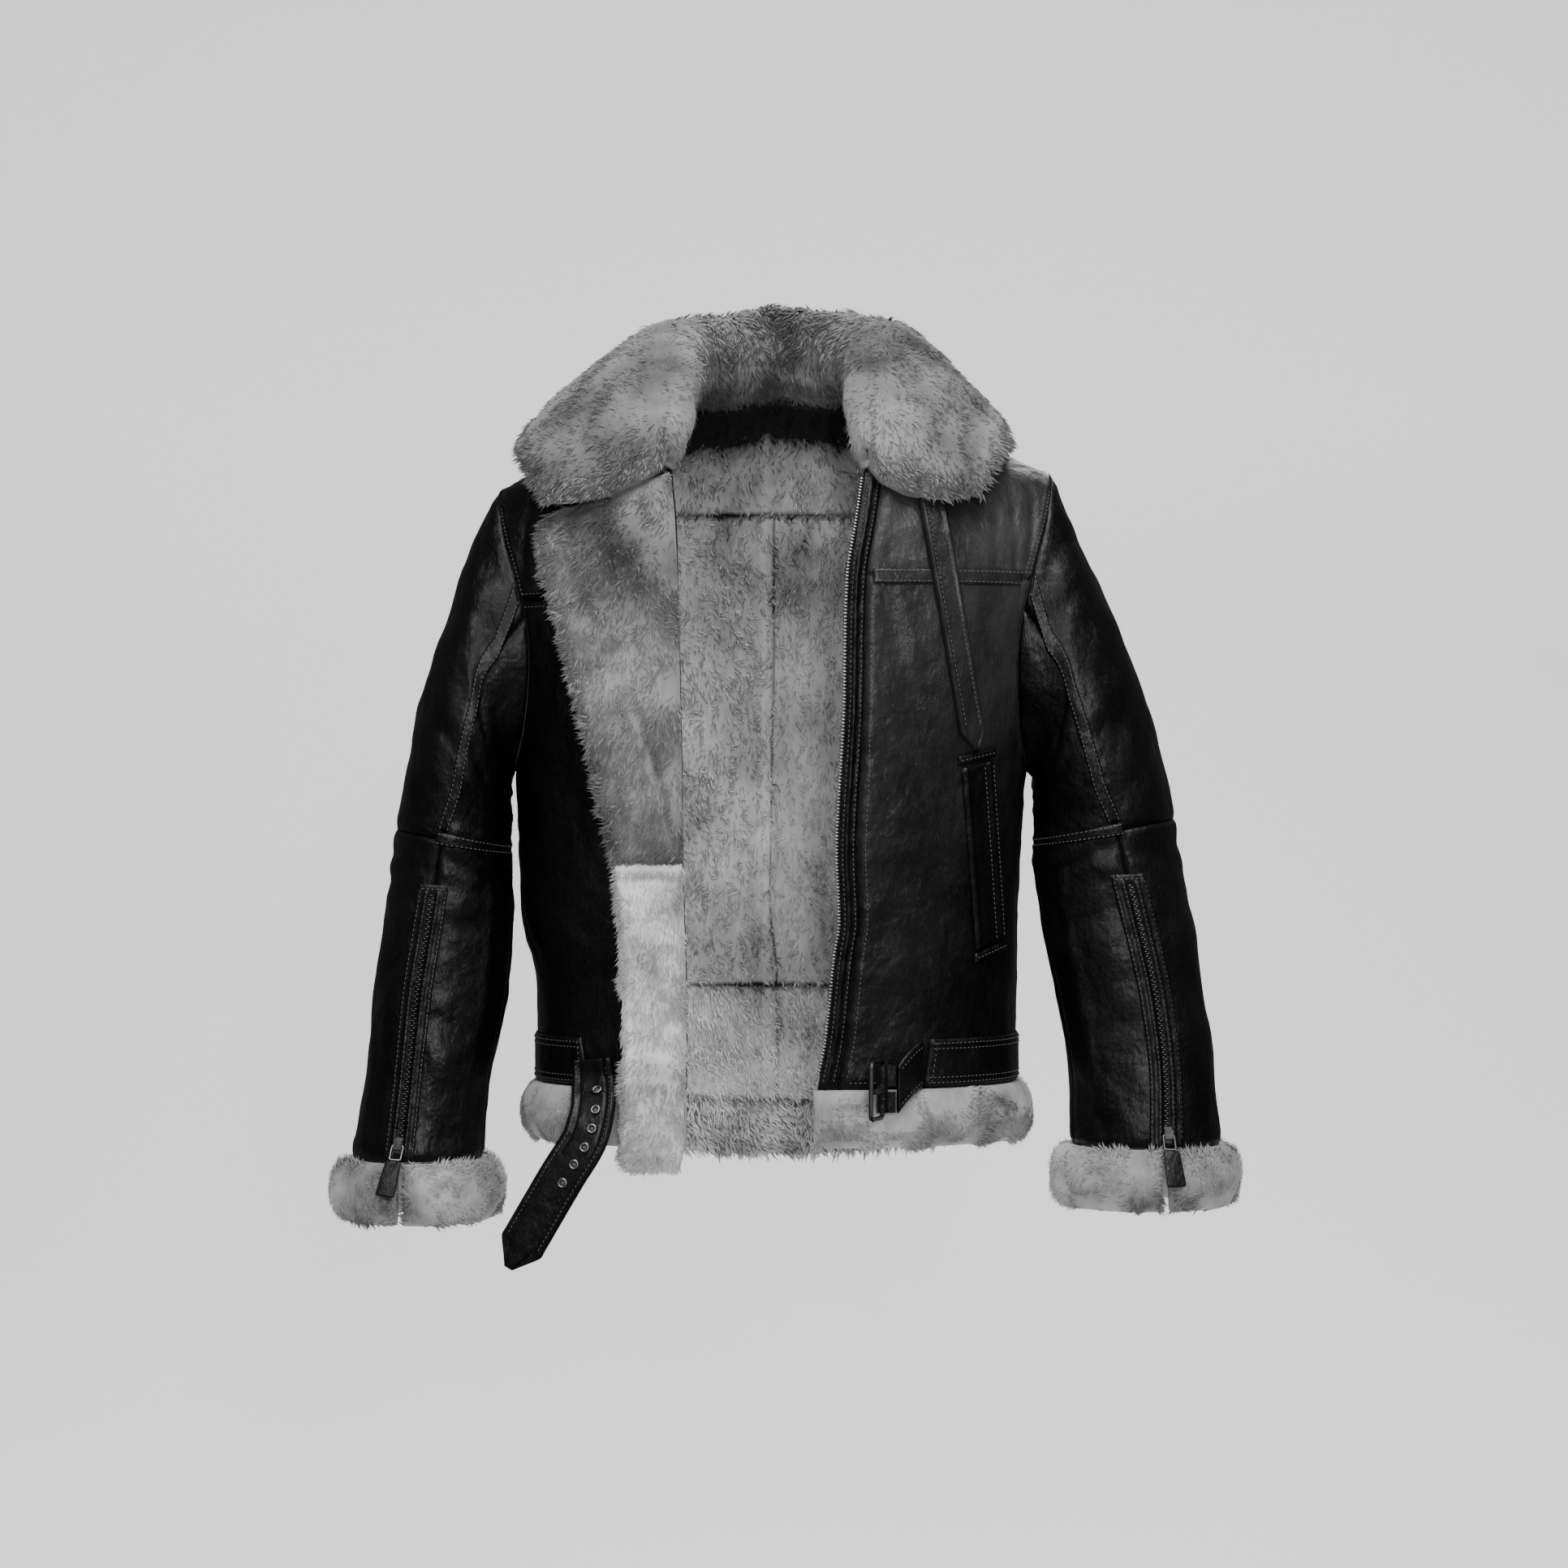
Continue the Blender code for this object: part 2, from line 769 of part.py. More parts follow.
def build_fronts():
    """Yokes, panels and zip facing of the two fronts."""
    wall(
        "front_yoke_left",
        yoke_panel(
            -1, LEFT_YOKE_SEAM + SEAM_GAP, neck_edge(1), trimmed_armhole(1), constant(0.0)
        ),
        (8, 6), 0.0, SKIN_WALL, "leather",
    )
    wall(
        "front_panel_left",
        level_panel(
            -1, constant(FRONT_HEM), ((0.6, UNDERARM), (1.0, LEFT_YOKE_SEAM)),
            between(panel_edge_angle, lambda height: side_angle(1, height)),
        ),
        (8, 15), 0.0, SKIN_WALL, "leather",
    )
    wall(
        "zip_facing_left",
        level_panel(
            -1, constant(FRONT_HEM),
            ((9 / 19, UNDERARM), (15 / 19, LEFT_YOKE_SEAM), (1.0, FRONT_NECK)),
            between(zip_angle, facing_angle),
        ),
        (2, 19), 0.0, FACING_WALL, "leather",
    )
    wall(
        "front_yoke_right",
        yoke_panel(
            -1, RIGHT_YOKE_SEAM + SEAM_GAP, trimmed_armhole(-1), neck_edge(-1), constant(0.0)
        ),
        (8, 6), 0.0, SKIN_WALL, "leather",
    )
    wall(
        "front_panel_right",
        level_panel(
            -1, constant(FRONT_HEM), ((0.6, UNDERARM), (1.0, RIGHT_YOKE_SEAM)),
            between(lambda height: side_angle(-1, height), fold_angle),
        ),
        (7, 15), 0.0, SKIN_WALL, "leather",
    )


def laid_on_front(low_pair, high_pair):
    """A straight-edged patch on the front, its corners as (across, height) pairs."""
    def surface(across, along):
        low = [mix(a, b, across) for a, b in zip(*low_pair)]
        high = [mix(a, b, across) for a, b in zip(*high_pair)]
        return torso_at(-1, mix(low[0], high[0], along), mix(low[1], high[1], along))
    return surface


def build_trims():
    """Yoke tape, pocket and collar strap, each laid on the left front."""
    on_tape = LAID_GAP + TAPE_THICK + LAID_GAP
    for name, corners, grid, low in (
        ("yoke_tape_left", YOKE_TAPE, (8, 1), LAID_GAP),
        ("pocket_welt", POCKET_WELT, (3, 8), LAID_GAP),
        ("pocket_tab_top", POCKET_TOP, (3, 1), LAID_GAP),
        ("pocket_tab_low", POCKET_LOW, (3, 1), LAID_GAP),
    ):
        wall(name, laid_on_front(*corners), grid, low + TAPE_THICK, -low, "leather")
    strap = laid_on_front(*COLLAR_STRAP)

    def pointed(across, along):
        part = stepped(along, ((0.0, 0.0), (1 / STRAP_ROWS, STRAP_POINT), (1.0, 1.0)))
        narrow = min(1.0, max(0.14, part / STRAP_POINT))
        return strap(0.5 + (across - 0.5) * narrow, part)
    wall(
        "collar_strap", pointed, (2, STRAP_ROWS), on_tape + STRAP_THICK, -on_tape, "leather"
    )


def fur_edge(across, along, rim):
    """Thickness share of fur that rounds off towards its edges."""
    nearest = min(across, 1 - across, along, 1 - along)
    return math.sqrt(min(1.0, max(nearest, 0.0) / rim))


def build_lapel():
    """The turned-back right front in two pieces, wool side out."""
    def edge(height):
        return angle_at(read(LAPEL_EDGE, height)[0], height)

    def fold(height):
        return angle_at(read(FOLD_EDGE, height)[0] + FOLD_ROLL, height)

    def surface_between(low, high):
        def surface(across, along):
            height = mix(low, high(across), along)
            angle = mix(edge(height), fold(height), across)
            return torso_point(-1, angle, turn_at(angle, height))
        return surface

    def thickness(across, along):
        return LAPEL_SKIN + LAPEL_WOOL * fur_edge(across, along, LAPEL_RIM)

    low = LAID_GAP
    wall(
        "lapel_upper",
        surface_between(LAPEL_BREAK + SEAM_GAP, lambda across: mix(*LAPEL_TOP, across)),
        (6, 13), lambda a, b: low + thickness(a, b), -low, "fleece",
    )
    lower = surface_between(LAPEL_BOTTOM, constant(LAPEL_BREAK))

    def lift(across, along):
        height = mix(LAPEL_BOTTOM, LAPEL_BREAK, along)
        over = min(1.0, max(0.0, (RISE_START - height) / RISE_HEIGHT))
        return low + (FUR_UNDER_LAPEL + SEAM_GAP) * over
    wall(
        "lapel_lower", lower, (5, 9),
        lambda a, b: lift(a, b) + LOWER_LAPEL_PROUD + thickness(a, b), lambda a, b: -lift(a, b),
        "fleece",
    )


# Fur bands, collar and belt

def girth_point(bearing, height):
    """Point of the torso at a bearing: 0 in front, 90 degrees at the wearer's left side."""
    if abs(bearing) <= math.pi / 2:
        return torso_point(-1, bearing, turn_at(bearing, height))
    angle = math.copysign(math.pi, bearing) - bearing
    return torso_point(1, angle, turn_at(angle, height))


def build_hem_bands():
    """Fur bands under the leather: left front, back and right front."""
    side_left = math.pi / 2 - EDGE_TRIM
    for name, side, left, right, grid, turn in (
        ("hem_fur_left", -1, zip_angle, constant(side_left), (9, 4), 1),
        ("hem_fur_right", -1, constant(-side_left), fold_angle, (8, 4), 1),
        ("hem_fur_back", 1, constant(-side_left), constant(side_left), (18, 4), -1),
    ):
        def surface(across, along, side=side, left=left, right=right):
            height = FRONT_HEM - FUR_BAND * 0.5
            angle = mix(left(height), right(height), across)
            top = (FRONT_HEM if side < 0 else back_hem(angle)) - SEAM_GAP * 2
            return torso_point(side, angle, turn_at(angle, top - FUR_BAND * (1 - along)))

        def bulge(across, along, name=name):
            round_off = swell(along)
            if name == "hem_fur_right":
                under = min(1.0, max(0.0, (across - UNDER_LAPEL[0]) / UNDER_LAPEL[1]))
                return mix(FUR_SKIN + FUR_BULGE * round_off, FUR_UNDER_LAPEL - 1, under)
            return FUR_SKIN + FUR_BULGE * round_off
        wall(
            name, surface, grid, bulge, lambda a, b: SKIN_WALL - 2 + FUR_SKIN * swell(b),
            "fleece", turn=turn,
        )


def build_collar():
    """The wide sheepskin collar, standing at the neck and rolled over."""
    def thickness(across, along):
        return mix(COLLAR_SKIN, FUR_DEPTH, fur_edge(across, along, COLLAR_RIM))
    wall("collar", collar_surface, (COLLAR_COLUMNS, 11), thickness, 0.0, "fleece")


def build_belt():
    """Belt tunnels at the sides, the hanging strap with its eyelets, and the buckle end."""
    for name, hand, mouth in TUNNEL_MOUTHS:
        def surface(across, along, hand=hand, mouth=mouth):
            height = mix(TUNNEL_LOW, TUNNEL_HIGH, along)
            front = angle_at(hand * (mouth + (height - TUNNEL_LOW) * MOUTH_SLOPE), height)
            bearing = mix(front, hand * math.radians(TUNNEL_BACK), across)
            return girth_point(bearing, height)
        wall(
            f"belt_tunnel_{name}", surface, (16, 1), LAID_GAP + TUNNEL_THICK, -LAID_GAP,
            "leather", turn=hand,
        )
    build_hanging_strap()
    build_buckle()


def strap_centre(along):
    """Middle of the hanging belt strap from the tunnel's mouth to its end."""
    return Vector(read(STRAP_PATH, along))


def strap_surface(across, along):
    """The hanging belt strap, turned to the body at its top and pointed at its end."""
    centre = strap_centre(along)
    down = (strap_centre(along + 0.01) - strap_centre(along - 0.01)).normalized()
    facing = -math.radians(mix(*STRAP_FACING, min(1.0, along * STRAP_TURN)))
    level = Vector((math.cos(facing), math.sin(facing), 0.0))
    sideways = (level - down * level.dot(down)).normalized()
    tip_length, tip_width = STRAP_TIP
    width = BELT_WIDTH * min(1.0, mix(tip_width, 1.0, (1 - along) / tip_length))
    return centre + sideways * ((across - 0.5) * width)


def build_hanging_strap():
    """The belt's free strap on the wearer's right with six metal eyelets."""
    wall("belt_strap", strap_surface, (2, 16), STRAP_THICK, 0.0, "leather", turn=STRAP_SIDE)
    for number, along in enumerate(EYELETS):
        point = strap_surface(EYELET_ACROSS, along)
        normal = normal_of(strap_surface, EYELET_ACROSS, along, STRAP_SIDE)
        lift = STRAP_THICK + SEAM_GAP + EYELET_WIRE
        place = frame_at(point + normal * lift, Vector((0, 0, 1)), normal)
        bpy.ops.mesh.primitive_torus_add(
            major_segments=10, minor_segments=4, major_radius=EYELET_RADIUS * MM,
            minor_radius=EYELET_WIRE * MM,
        )
        ring = bpy.context.object
        ring.name = f"eyelet_{number + 1}"
        ring.data.shade_smooth()
        settle(ring, "metal", place=place)


def frame_at(point, first, third):
    """A placed frame: third axis as given, first axis as near as it can be."""
    third = third.normalized()
    second = third.cross(first).normalized()
    first = second.cross(third)
    place = Matrix((first, second, third)).transposed().to_4x4()
    place.translation = point * MM
    return place


def plate(name, outlines, thickness, place, finish):
    """A flat piece cut from outlines in its own plane, the first outline its outer edge."""
    curve = bpy.data.curves.new(name, "CURVE")
    curve.dimensions = "2D"
    curve.fill_mode = "BOTH"
    curve.extrude = thickness / 2 * MM
    for outline in outlines:
        spline = curve.splines.new("POLY")
        spline.points.add(len(outline) - 1)
        for point, (x, y) in zip(spline.points, outline):
            point.co = (x * MM, y * MM, 0.0, 1.0)
        spline.use_cyclic_u = True
    return settle(as_mesh(name, curve), finish, place=place)


def wire(name, points, radius, place, finish):
    """A closed wire loop through points in its own frame."""
    curve = bpy.data.curves.new(name, "CURVE")
    curve.dimensions = "3D"
    curve.bevel_depth = radius * MM
    curve.bevel_resolution = 1
    spline = curve.splines.new("POLY")
    spline.points.add(len(points) - 1)
    for point, spot in zip(spline.points, points):
        point.co = (*(Vector(spot) * MM), 1.0)
    spline.use_cyclic_u = True
    return settle(as_mesh(name, curve), finish, place=place)


def as_mesh(name, curve):
    """A mesh object with welded points made from a curve."""
    guide = bpy.data.objects.new(name + "_guide", curve)
    bpy.context.scene.collection.objects.link(guide)
    bpy.context.view_layer.update()
    evaluated = guide.evaluated_get(bpy.context.evaluated_depsgraph_get())
    mesh = bpy.data.meshes.new_from_object(evaluated)
    bpy.data.objects.remove(guide, do_unlink=True)
    tool = bmesh.new()
    tool.from_mesh(mesh)
    bmesh.ops.remove_doubles(tool, verts=tool.verts[:], dist=0.00001)
    tool.to_mesh(mesh)
    tool.free()
    mesh.name = name
    return bpy.data.objects.new(name, mesh)


def arc(centre, radius, start, end, count):
    """Points on an arc in degrees."""
    angles = [math.radians(mix(start, end, step / (count - 1))) for step in range(count)]
    return [(centre[0] + radius * math.cos(a), centre[1] + radius * math.sin(a)) for a in angles]


def build_buckle():
    """The belt's buckle end on the wearer's left: strap, two loops, frame and prong."""
    def surface(across, along):
        start = torso_at(-1, *BELT_MOUTH) - Vector((0.0, BELT_PROUD, 0.0))
        bend = Vector(BELT_BEND)
        end = Vector(BUCKLE_BAR) + Vector((LOOP_TAIL + BELT_END_GAP, 0.0, 0.0))
        middle = start.lerp(bend, along).lerp(bend.lerp(end, along), along)
        return middle + Vector((0.0, 0.0, (across - 0.5) * BELT_WIDTH))
    wall("belt_end_left", surface, (2, 4), STRAP_THICK / 2, STRAP_THICK / 2, "leather")
    bar = Vector(BUCKLE_BAR)
    forward = Vector(BUCKLE_FORWARD).normalized()
    upright = Vector((0, 0, 1))
    tail = [(LOOP_TAIL, 2.4)] + arc((0, 0), LOOP_RADIUS, 35, 325, 9) + [(LOOP_TAIL, -2.4)]
    hole = arc((0, 0), BAR_RADIUS + BAR_PLAY, 0, 315, 8)
    loop_height = (BELT_WIDTH - PRONG_SLOT) / 2
    for name, sign in (("belt_loop_top", 1), ("belt_loop_low", -1)):
        middle = bar + upright * (sign * (PRONG_SLOT + loop_height) / 2)
        place = frame_at(middle, Vector((1, 0, 0)), upright)
        plate(name, (tail, hole), loop_height, place, "leather")
    half = BELT_WIDTH / 2 + BELT_MARGIN + BAR_RADIUS
    loop = [(0, -half), (BUCKLE_REACH, -half), (BUCKLE_REACH, half), (0, half)]
    points = [(x, y, 0) for x, y in rounded(loop, 4.0)]
    place = frame_at(bar, forward, forward.cross(upright))
    wire("buckle_frame", points, BAR_RADIUS, place, "metal")
    (tip, tip_half), (root, root_half) = PRONG_TIP, PRONG_ROOT
    shank = [
        (tip, PRONG_SIDE - tip_half), (tip, PRONG_SIDE + tip_half), (root, PRONG_SIDE + root_half),
    ]
    eye = arc((0, 0), PRONG_EYE, 60, 330, 8)
    prong_hole = arc((0, 0), BAR_RADIUS + BAR_PLAY, 0, 315, 8)
    plate(
        "buckle_prong", (shank + eye + [(4.8, PRONG_SIDE - 1.5)], prong_hole),
        PRONG_SLOT - 2 * SEAM_GAP, frame_at(bar, forward, upright), "metal",
    )


def rounded(corners, radius):
    """A closed outline with each corner cut by three points of an arc."""
    points = []
    count = len(corners)
    for index, corner in enumerate(corners):
        here = Vector(corner)
        before = (Vector(corners[index - 1]) - here).normalized()
        after = (Vector(corners[(index + 1) % count]) - here).normalized()
        centre = here + (before + after) * radius
        points.append(tuple(here + before * radius))
        points.append(tuple(centre - (before + after).normalized() * radius))
        points.append(tuple(here + after * radius))
    return points


# Sleeves

def build_sleeve(hand, name, rings):
    """One sleeve: four panels, two tapes, zip placket, fur cuff, slider and pull."""
    def trim(ring):
        return SEAM_TRIM + ARMHOLE_TRIM * max(0.0, 1 - ring / 2)

    def panel_between(low_seam, high_seam, first, last):
        return sleeve_panel(
            hand, rings, lambda ring: low_seam(ring) + trim(ring),
            lambda ring: high_seam(ring) - trim(ring), first, last,
        )

    for level, first, last, rows in (
        ("upper", 0.0, ELBOW - ELBOW_TRIM, UPPER_ROWS),
        ("fore", ELBOW + ELBOW_TRIM, WRIST, FORE_ROWS),
    ):
        def thickness(_, along, is_upper=level == "upper"):
            full = min(1.0, along * UPPER_ROWS) if is_upper else 1.0
            return mix(ARMHOLE_WALL, SLEEVE_WALL, full)
        wall(
            f"sleeve_{level}_outer_{name}",
            panel_between(constant(UNDER_SEAM), lambda ring: front_seam(ring) + 1, first, last),
            (14, rows), 0.0, thickness, "leather", turn=hand,
        )
        wall(
            f"sleeve_{level}_inner_{name}",
            panel_between(front_seam, constant(UNDER_SEAM), first, last),
            (5, rows), 0.0, thickness, "leather", turn=hand,
        )

    def tape(half, knots):
        def surface(across, along):
            ring = stepped(along, knots)
            round_share = front_seam(ring) + mix(-half, half, across)
            return sleeve_point(hand, rings, round_share, ring)
        return surface
    lift = LAID_GAP
    upper_step = (ELBOW - ELBOW_TRIM) / UPPER_ROWS
    fore_step = (WRIST - ELBOW - ELBOW_TRIM) / FORE_ROWS
    steps = UPPER_ROWS - 1
    on_rows = (
        (0.0, upper_step), ((steps - 1) / steps, upper_step * steps), (1.0, ELBOW - TAPE_END),
    )
    wall(
        f"seam_tape_{name}", tape(TAPE_HALF, on_rows), (1, steps),
        lift + TAPE_THICK, -lift, "leather", turn=hand,
    )
    wall(
        f"elbow_tape_{name}",
        sleeve_panel(
            hand, rings, lambda ring: front_seam(ring) - TAPE_HALF, constant(UNDER_SEAM),
            ELBOW - 0.15, ELBOW + 0.12,
        ),
        (6, 1), lift + TAPE_THICK, -lift, "leather", turn=hand,
    )
    top = ELBOW + ELBOW_TRIM + fore_step
    wall(
        f"zip_placket_{name}", tape(PLACKET_HALF, ((0.0, top), (1.0, WRIST - SEAM_TRIM))),
        (2, FORE_ROWS - 1), lift + TAPE_THICK, -lift, "leather", turn=hand,
    )

    def bulge(across, along):
        edge = min(across, 1 - across)
        near_split = min(1.0, 0.5 + edge / CUFF_SPLIT_ROUND * 0.5)
        return (CUFF_SKIN + CUFF_BULGE * swell(along)) * near_split
    wall(
        f"cuff_{name}", cuff_surface(hand, rings), (22, 4), bulge,
        lambda a, b: SLEEVE_WALL - 1 + 3 * swell(b), "fleece", turn=hand,
    )
    build_pull(hand, name, rings)


def build_pull(hand, name, rings):
    """The zip's slider at the wrist, its wire link and its leather tab."""
    surface = sleeve_panel(hand, rings, front_seam, lambda ring: front_seam(ring) + 0.1, 0.0, WRIST)
    point = surface(0.0, SLIDER_PLACE)
    outward = normal_of(surface, 0.0, SLIDER_PLACE, hand)
    down = (surface(0.0, SLIDER_PLACE + 0.01) - surface(0.0, SLIDER_PLACE - 0.01)).normalized()
    base = point + outward * (SEAM_GAP * 2 + TAPE_THICK + 0.5)
    sideways = down.cross(outward).normalized()
    outward = sideways.cross(down)
    place = frame_at(base, down, sideways)
    plate(f"zip_slider_{name}", (SLIDER_BODY, SLIDER_SLOT), SLIDER_WIDTH, place, "metal")
    hinge = base + down * HINGE_DOWN + outward * HINGE_OUT
    hang = Matrix.Rotation(math.radians(PULL_TILT), 3, sideways) @ down
    place = frame_at(hinge, hang, sideways.cross(hang) * -1)
    half = LINK_HALF
    loop = [(0, -half), (LINK_LENGTH, -half), (LINK_LENGTH, half), (0, half)]
    points = [(x, y, 0) for x, y in rounded(loop, 1.2)]
    wire(f"pull_link_{name}", points, LINK_WIRE, place, "metal")
    start = LINK_LENGTH + LINK_WIRE + SEAM_GAP
    end = start + TAB_LENGTH
    side = [
        (start, TAB_HALF * TAB_TAPER), (end - TAB_CORNER, TAB_HALF), (end, TAB_HALF - TAB_CORNER),
    ]
    outline = [(x, -y) for x, y in side] + side[::-1]
    plate(f"pull_tab_{name}", (outline,), TAB_THICK, place, "leather")


def build_all():
    """Build every piece of the jacket."""
    build_back()
    build_fronts()
    build_trims()
    build_lapel()
    build_hem_bands()
    build_collar()
    build_belt()
    build_sleeve(1, "left", LEFT_SLEEVE)
    build_sleeve(-1, "right", RIGHT_SLEEVE)


def clear_scene():
    """Remove what the scene holds and make the jacket's collection."""
    for old in list(bpy.data.objects):
        bpy.data.objects.remove(old, do_unlink=True)
    home = bpy.data.collections.new(COLLECTION)
    bpy.context.scene.collection.children.link(home)


clear_scene()
build_all()
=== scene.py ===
"""Looks of a sheepskin flying jacket, filled out as worn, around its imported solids.

The wearer's left is +X, the front faces -Y and up is +Z. Sizes of the form are in
millimetres, as a maker would measure them, and become metres as each mesh is placed.
Every leather or wool piece is laid over the same smooth form as its solid.
"""
from __future__ import annotations

import json
import logging
import math
from collections.abc import Callable
from collections.abc import Sequence
from dataclasses import dataclass
from dataclasses import field
from enum import Enum

import bmesh
import bpy
import numpy as np
from mathutils import Matrix
from mathutils import Vector

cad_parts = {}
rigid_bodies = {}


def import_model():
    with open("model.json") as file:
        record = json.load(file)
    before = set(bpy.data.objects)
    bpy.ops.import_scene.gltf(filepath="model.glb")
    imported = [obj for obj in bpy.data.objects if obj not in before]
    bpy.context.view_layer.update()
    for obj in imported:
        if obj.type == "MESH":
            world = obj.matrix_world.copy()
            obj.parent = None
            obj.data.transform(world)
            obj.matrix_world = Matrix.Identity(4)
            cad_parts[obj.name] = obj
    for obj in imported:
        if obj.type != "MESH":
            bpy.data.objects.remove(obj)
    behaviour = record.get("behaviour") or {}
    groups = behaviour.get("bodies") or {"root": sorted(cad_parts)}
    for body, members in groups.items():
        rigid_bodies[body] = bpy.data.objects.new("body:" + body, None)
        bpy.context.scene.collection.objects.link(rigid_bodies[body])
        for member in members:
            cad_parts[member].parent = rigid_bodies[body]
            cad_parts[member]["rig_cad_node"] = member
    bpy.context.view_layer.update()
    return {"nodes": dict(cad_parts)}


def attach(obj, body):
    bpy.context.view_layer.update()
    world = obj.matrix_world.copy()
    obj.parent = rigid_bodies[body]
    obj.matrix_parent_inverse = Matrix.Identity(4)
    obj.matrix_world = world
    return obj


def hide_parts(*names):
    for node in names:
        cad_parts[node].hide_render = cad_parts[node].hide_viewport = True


MM = 0.001
ROOT = "root"
LOG = logging.getLogger("jacket")

Table = Sequence[Sequence[float]]
Patch = Callable[[float, float], Vector]
Edge = Callable[[float], float]
Spot = tuple[float, float]


class Slot(Enum):
    """Material slots of the record."""

    LEATHER = "leather"
    FLEECE = "fleece"
    METAL = "metal"


# Numbers along tables


def mix(start: float, end: float, part: float) -> float:
    """Straight mix of two values."""
    return start + (end - start) * part


def hermite(
    start: float | Vector, end: float | Vector, start_slope: float | Vector, end_slope: float | Vector,
    part: float
) -> float | Vector:
    """Cubic between two numbers or vectors.

    Args:
        start: Value at 0.
        end: Value at 1.
        start_slope: Slope at 0.
        end_slope: Slope at 1.
        part: Place from 0 to 1.

    Returns:
        The value at the place.
    """
    square = part * part
    cube = square * part
    return (
        start * (2 * cube - 3 * square + 1)
        + start_slope * (cube - 2 * square + part)
        + end * (3 * square - 2 * cube)
        + end_slope * (cube - square)
    )


def read(rows: Table, place: float) -> list[float]:
    """Smooth values of a table's other columns.

    Args:
        rows: Rows in rising order of their first column.
        place: Where to read along the first column.

    Returns:
        The other columns' values there.
    """
    last = len(rows) - 1
    index = 0
    while index < last - 1 and place > rows[index + 1][0]:
        index += 1
    low = rows[index]
    high = rows[index + 1]
    before = rows[max(index - 1, 0)]
    after = rows[min(index + 2, last)]
    span = high[0] - low[0]
    part = (place - low[0]) / span
    values = []
    for column in range(1, len(low)):
        start_slope = (high[column] - before[column]) / (high[0] - before[0]) * span
        end_slope = (after[column] - low[column]) / (after[0] - low[0]) * span
        values.append(hermite(low[column], high[column], start_slope, end_slope, part))
    return values


def stepped(place: float, knots: Table) -> float:
    """Straight reading from knot to knot of (place, value)."""
    index = 1
    while index < len(knots) - 1 and place > knots[index][0]:
        index += 1
    (start, low), (end, high) = knots[index - 1], knots[index]
    return mix(low, high, (place - start) / (end - start))


def constant(value: float) -> Edge:
    """An edge that stays at one value."""
    return lambda _: value


# The garment's form


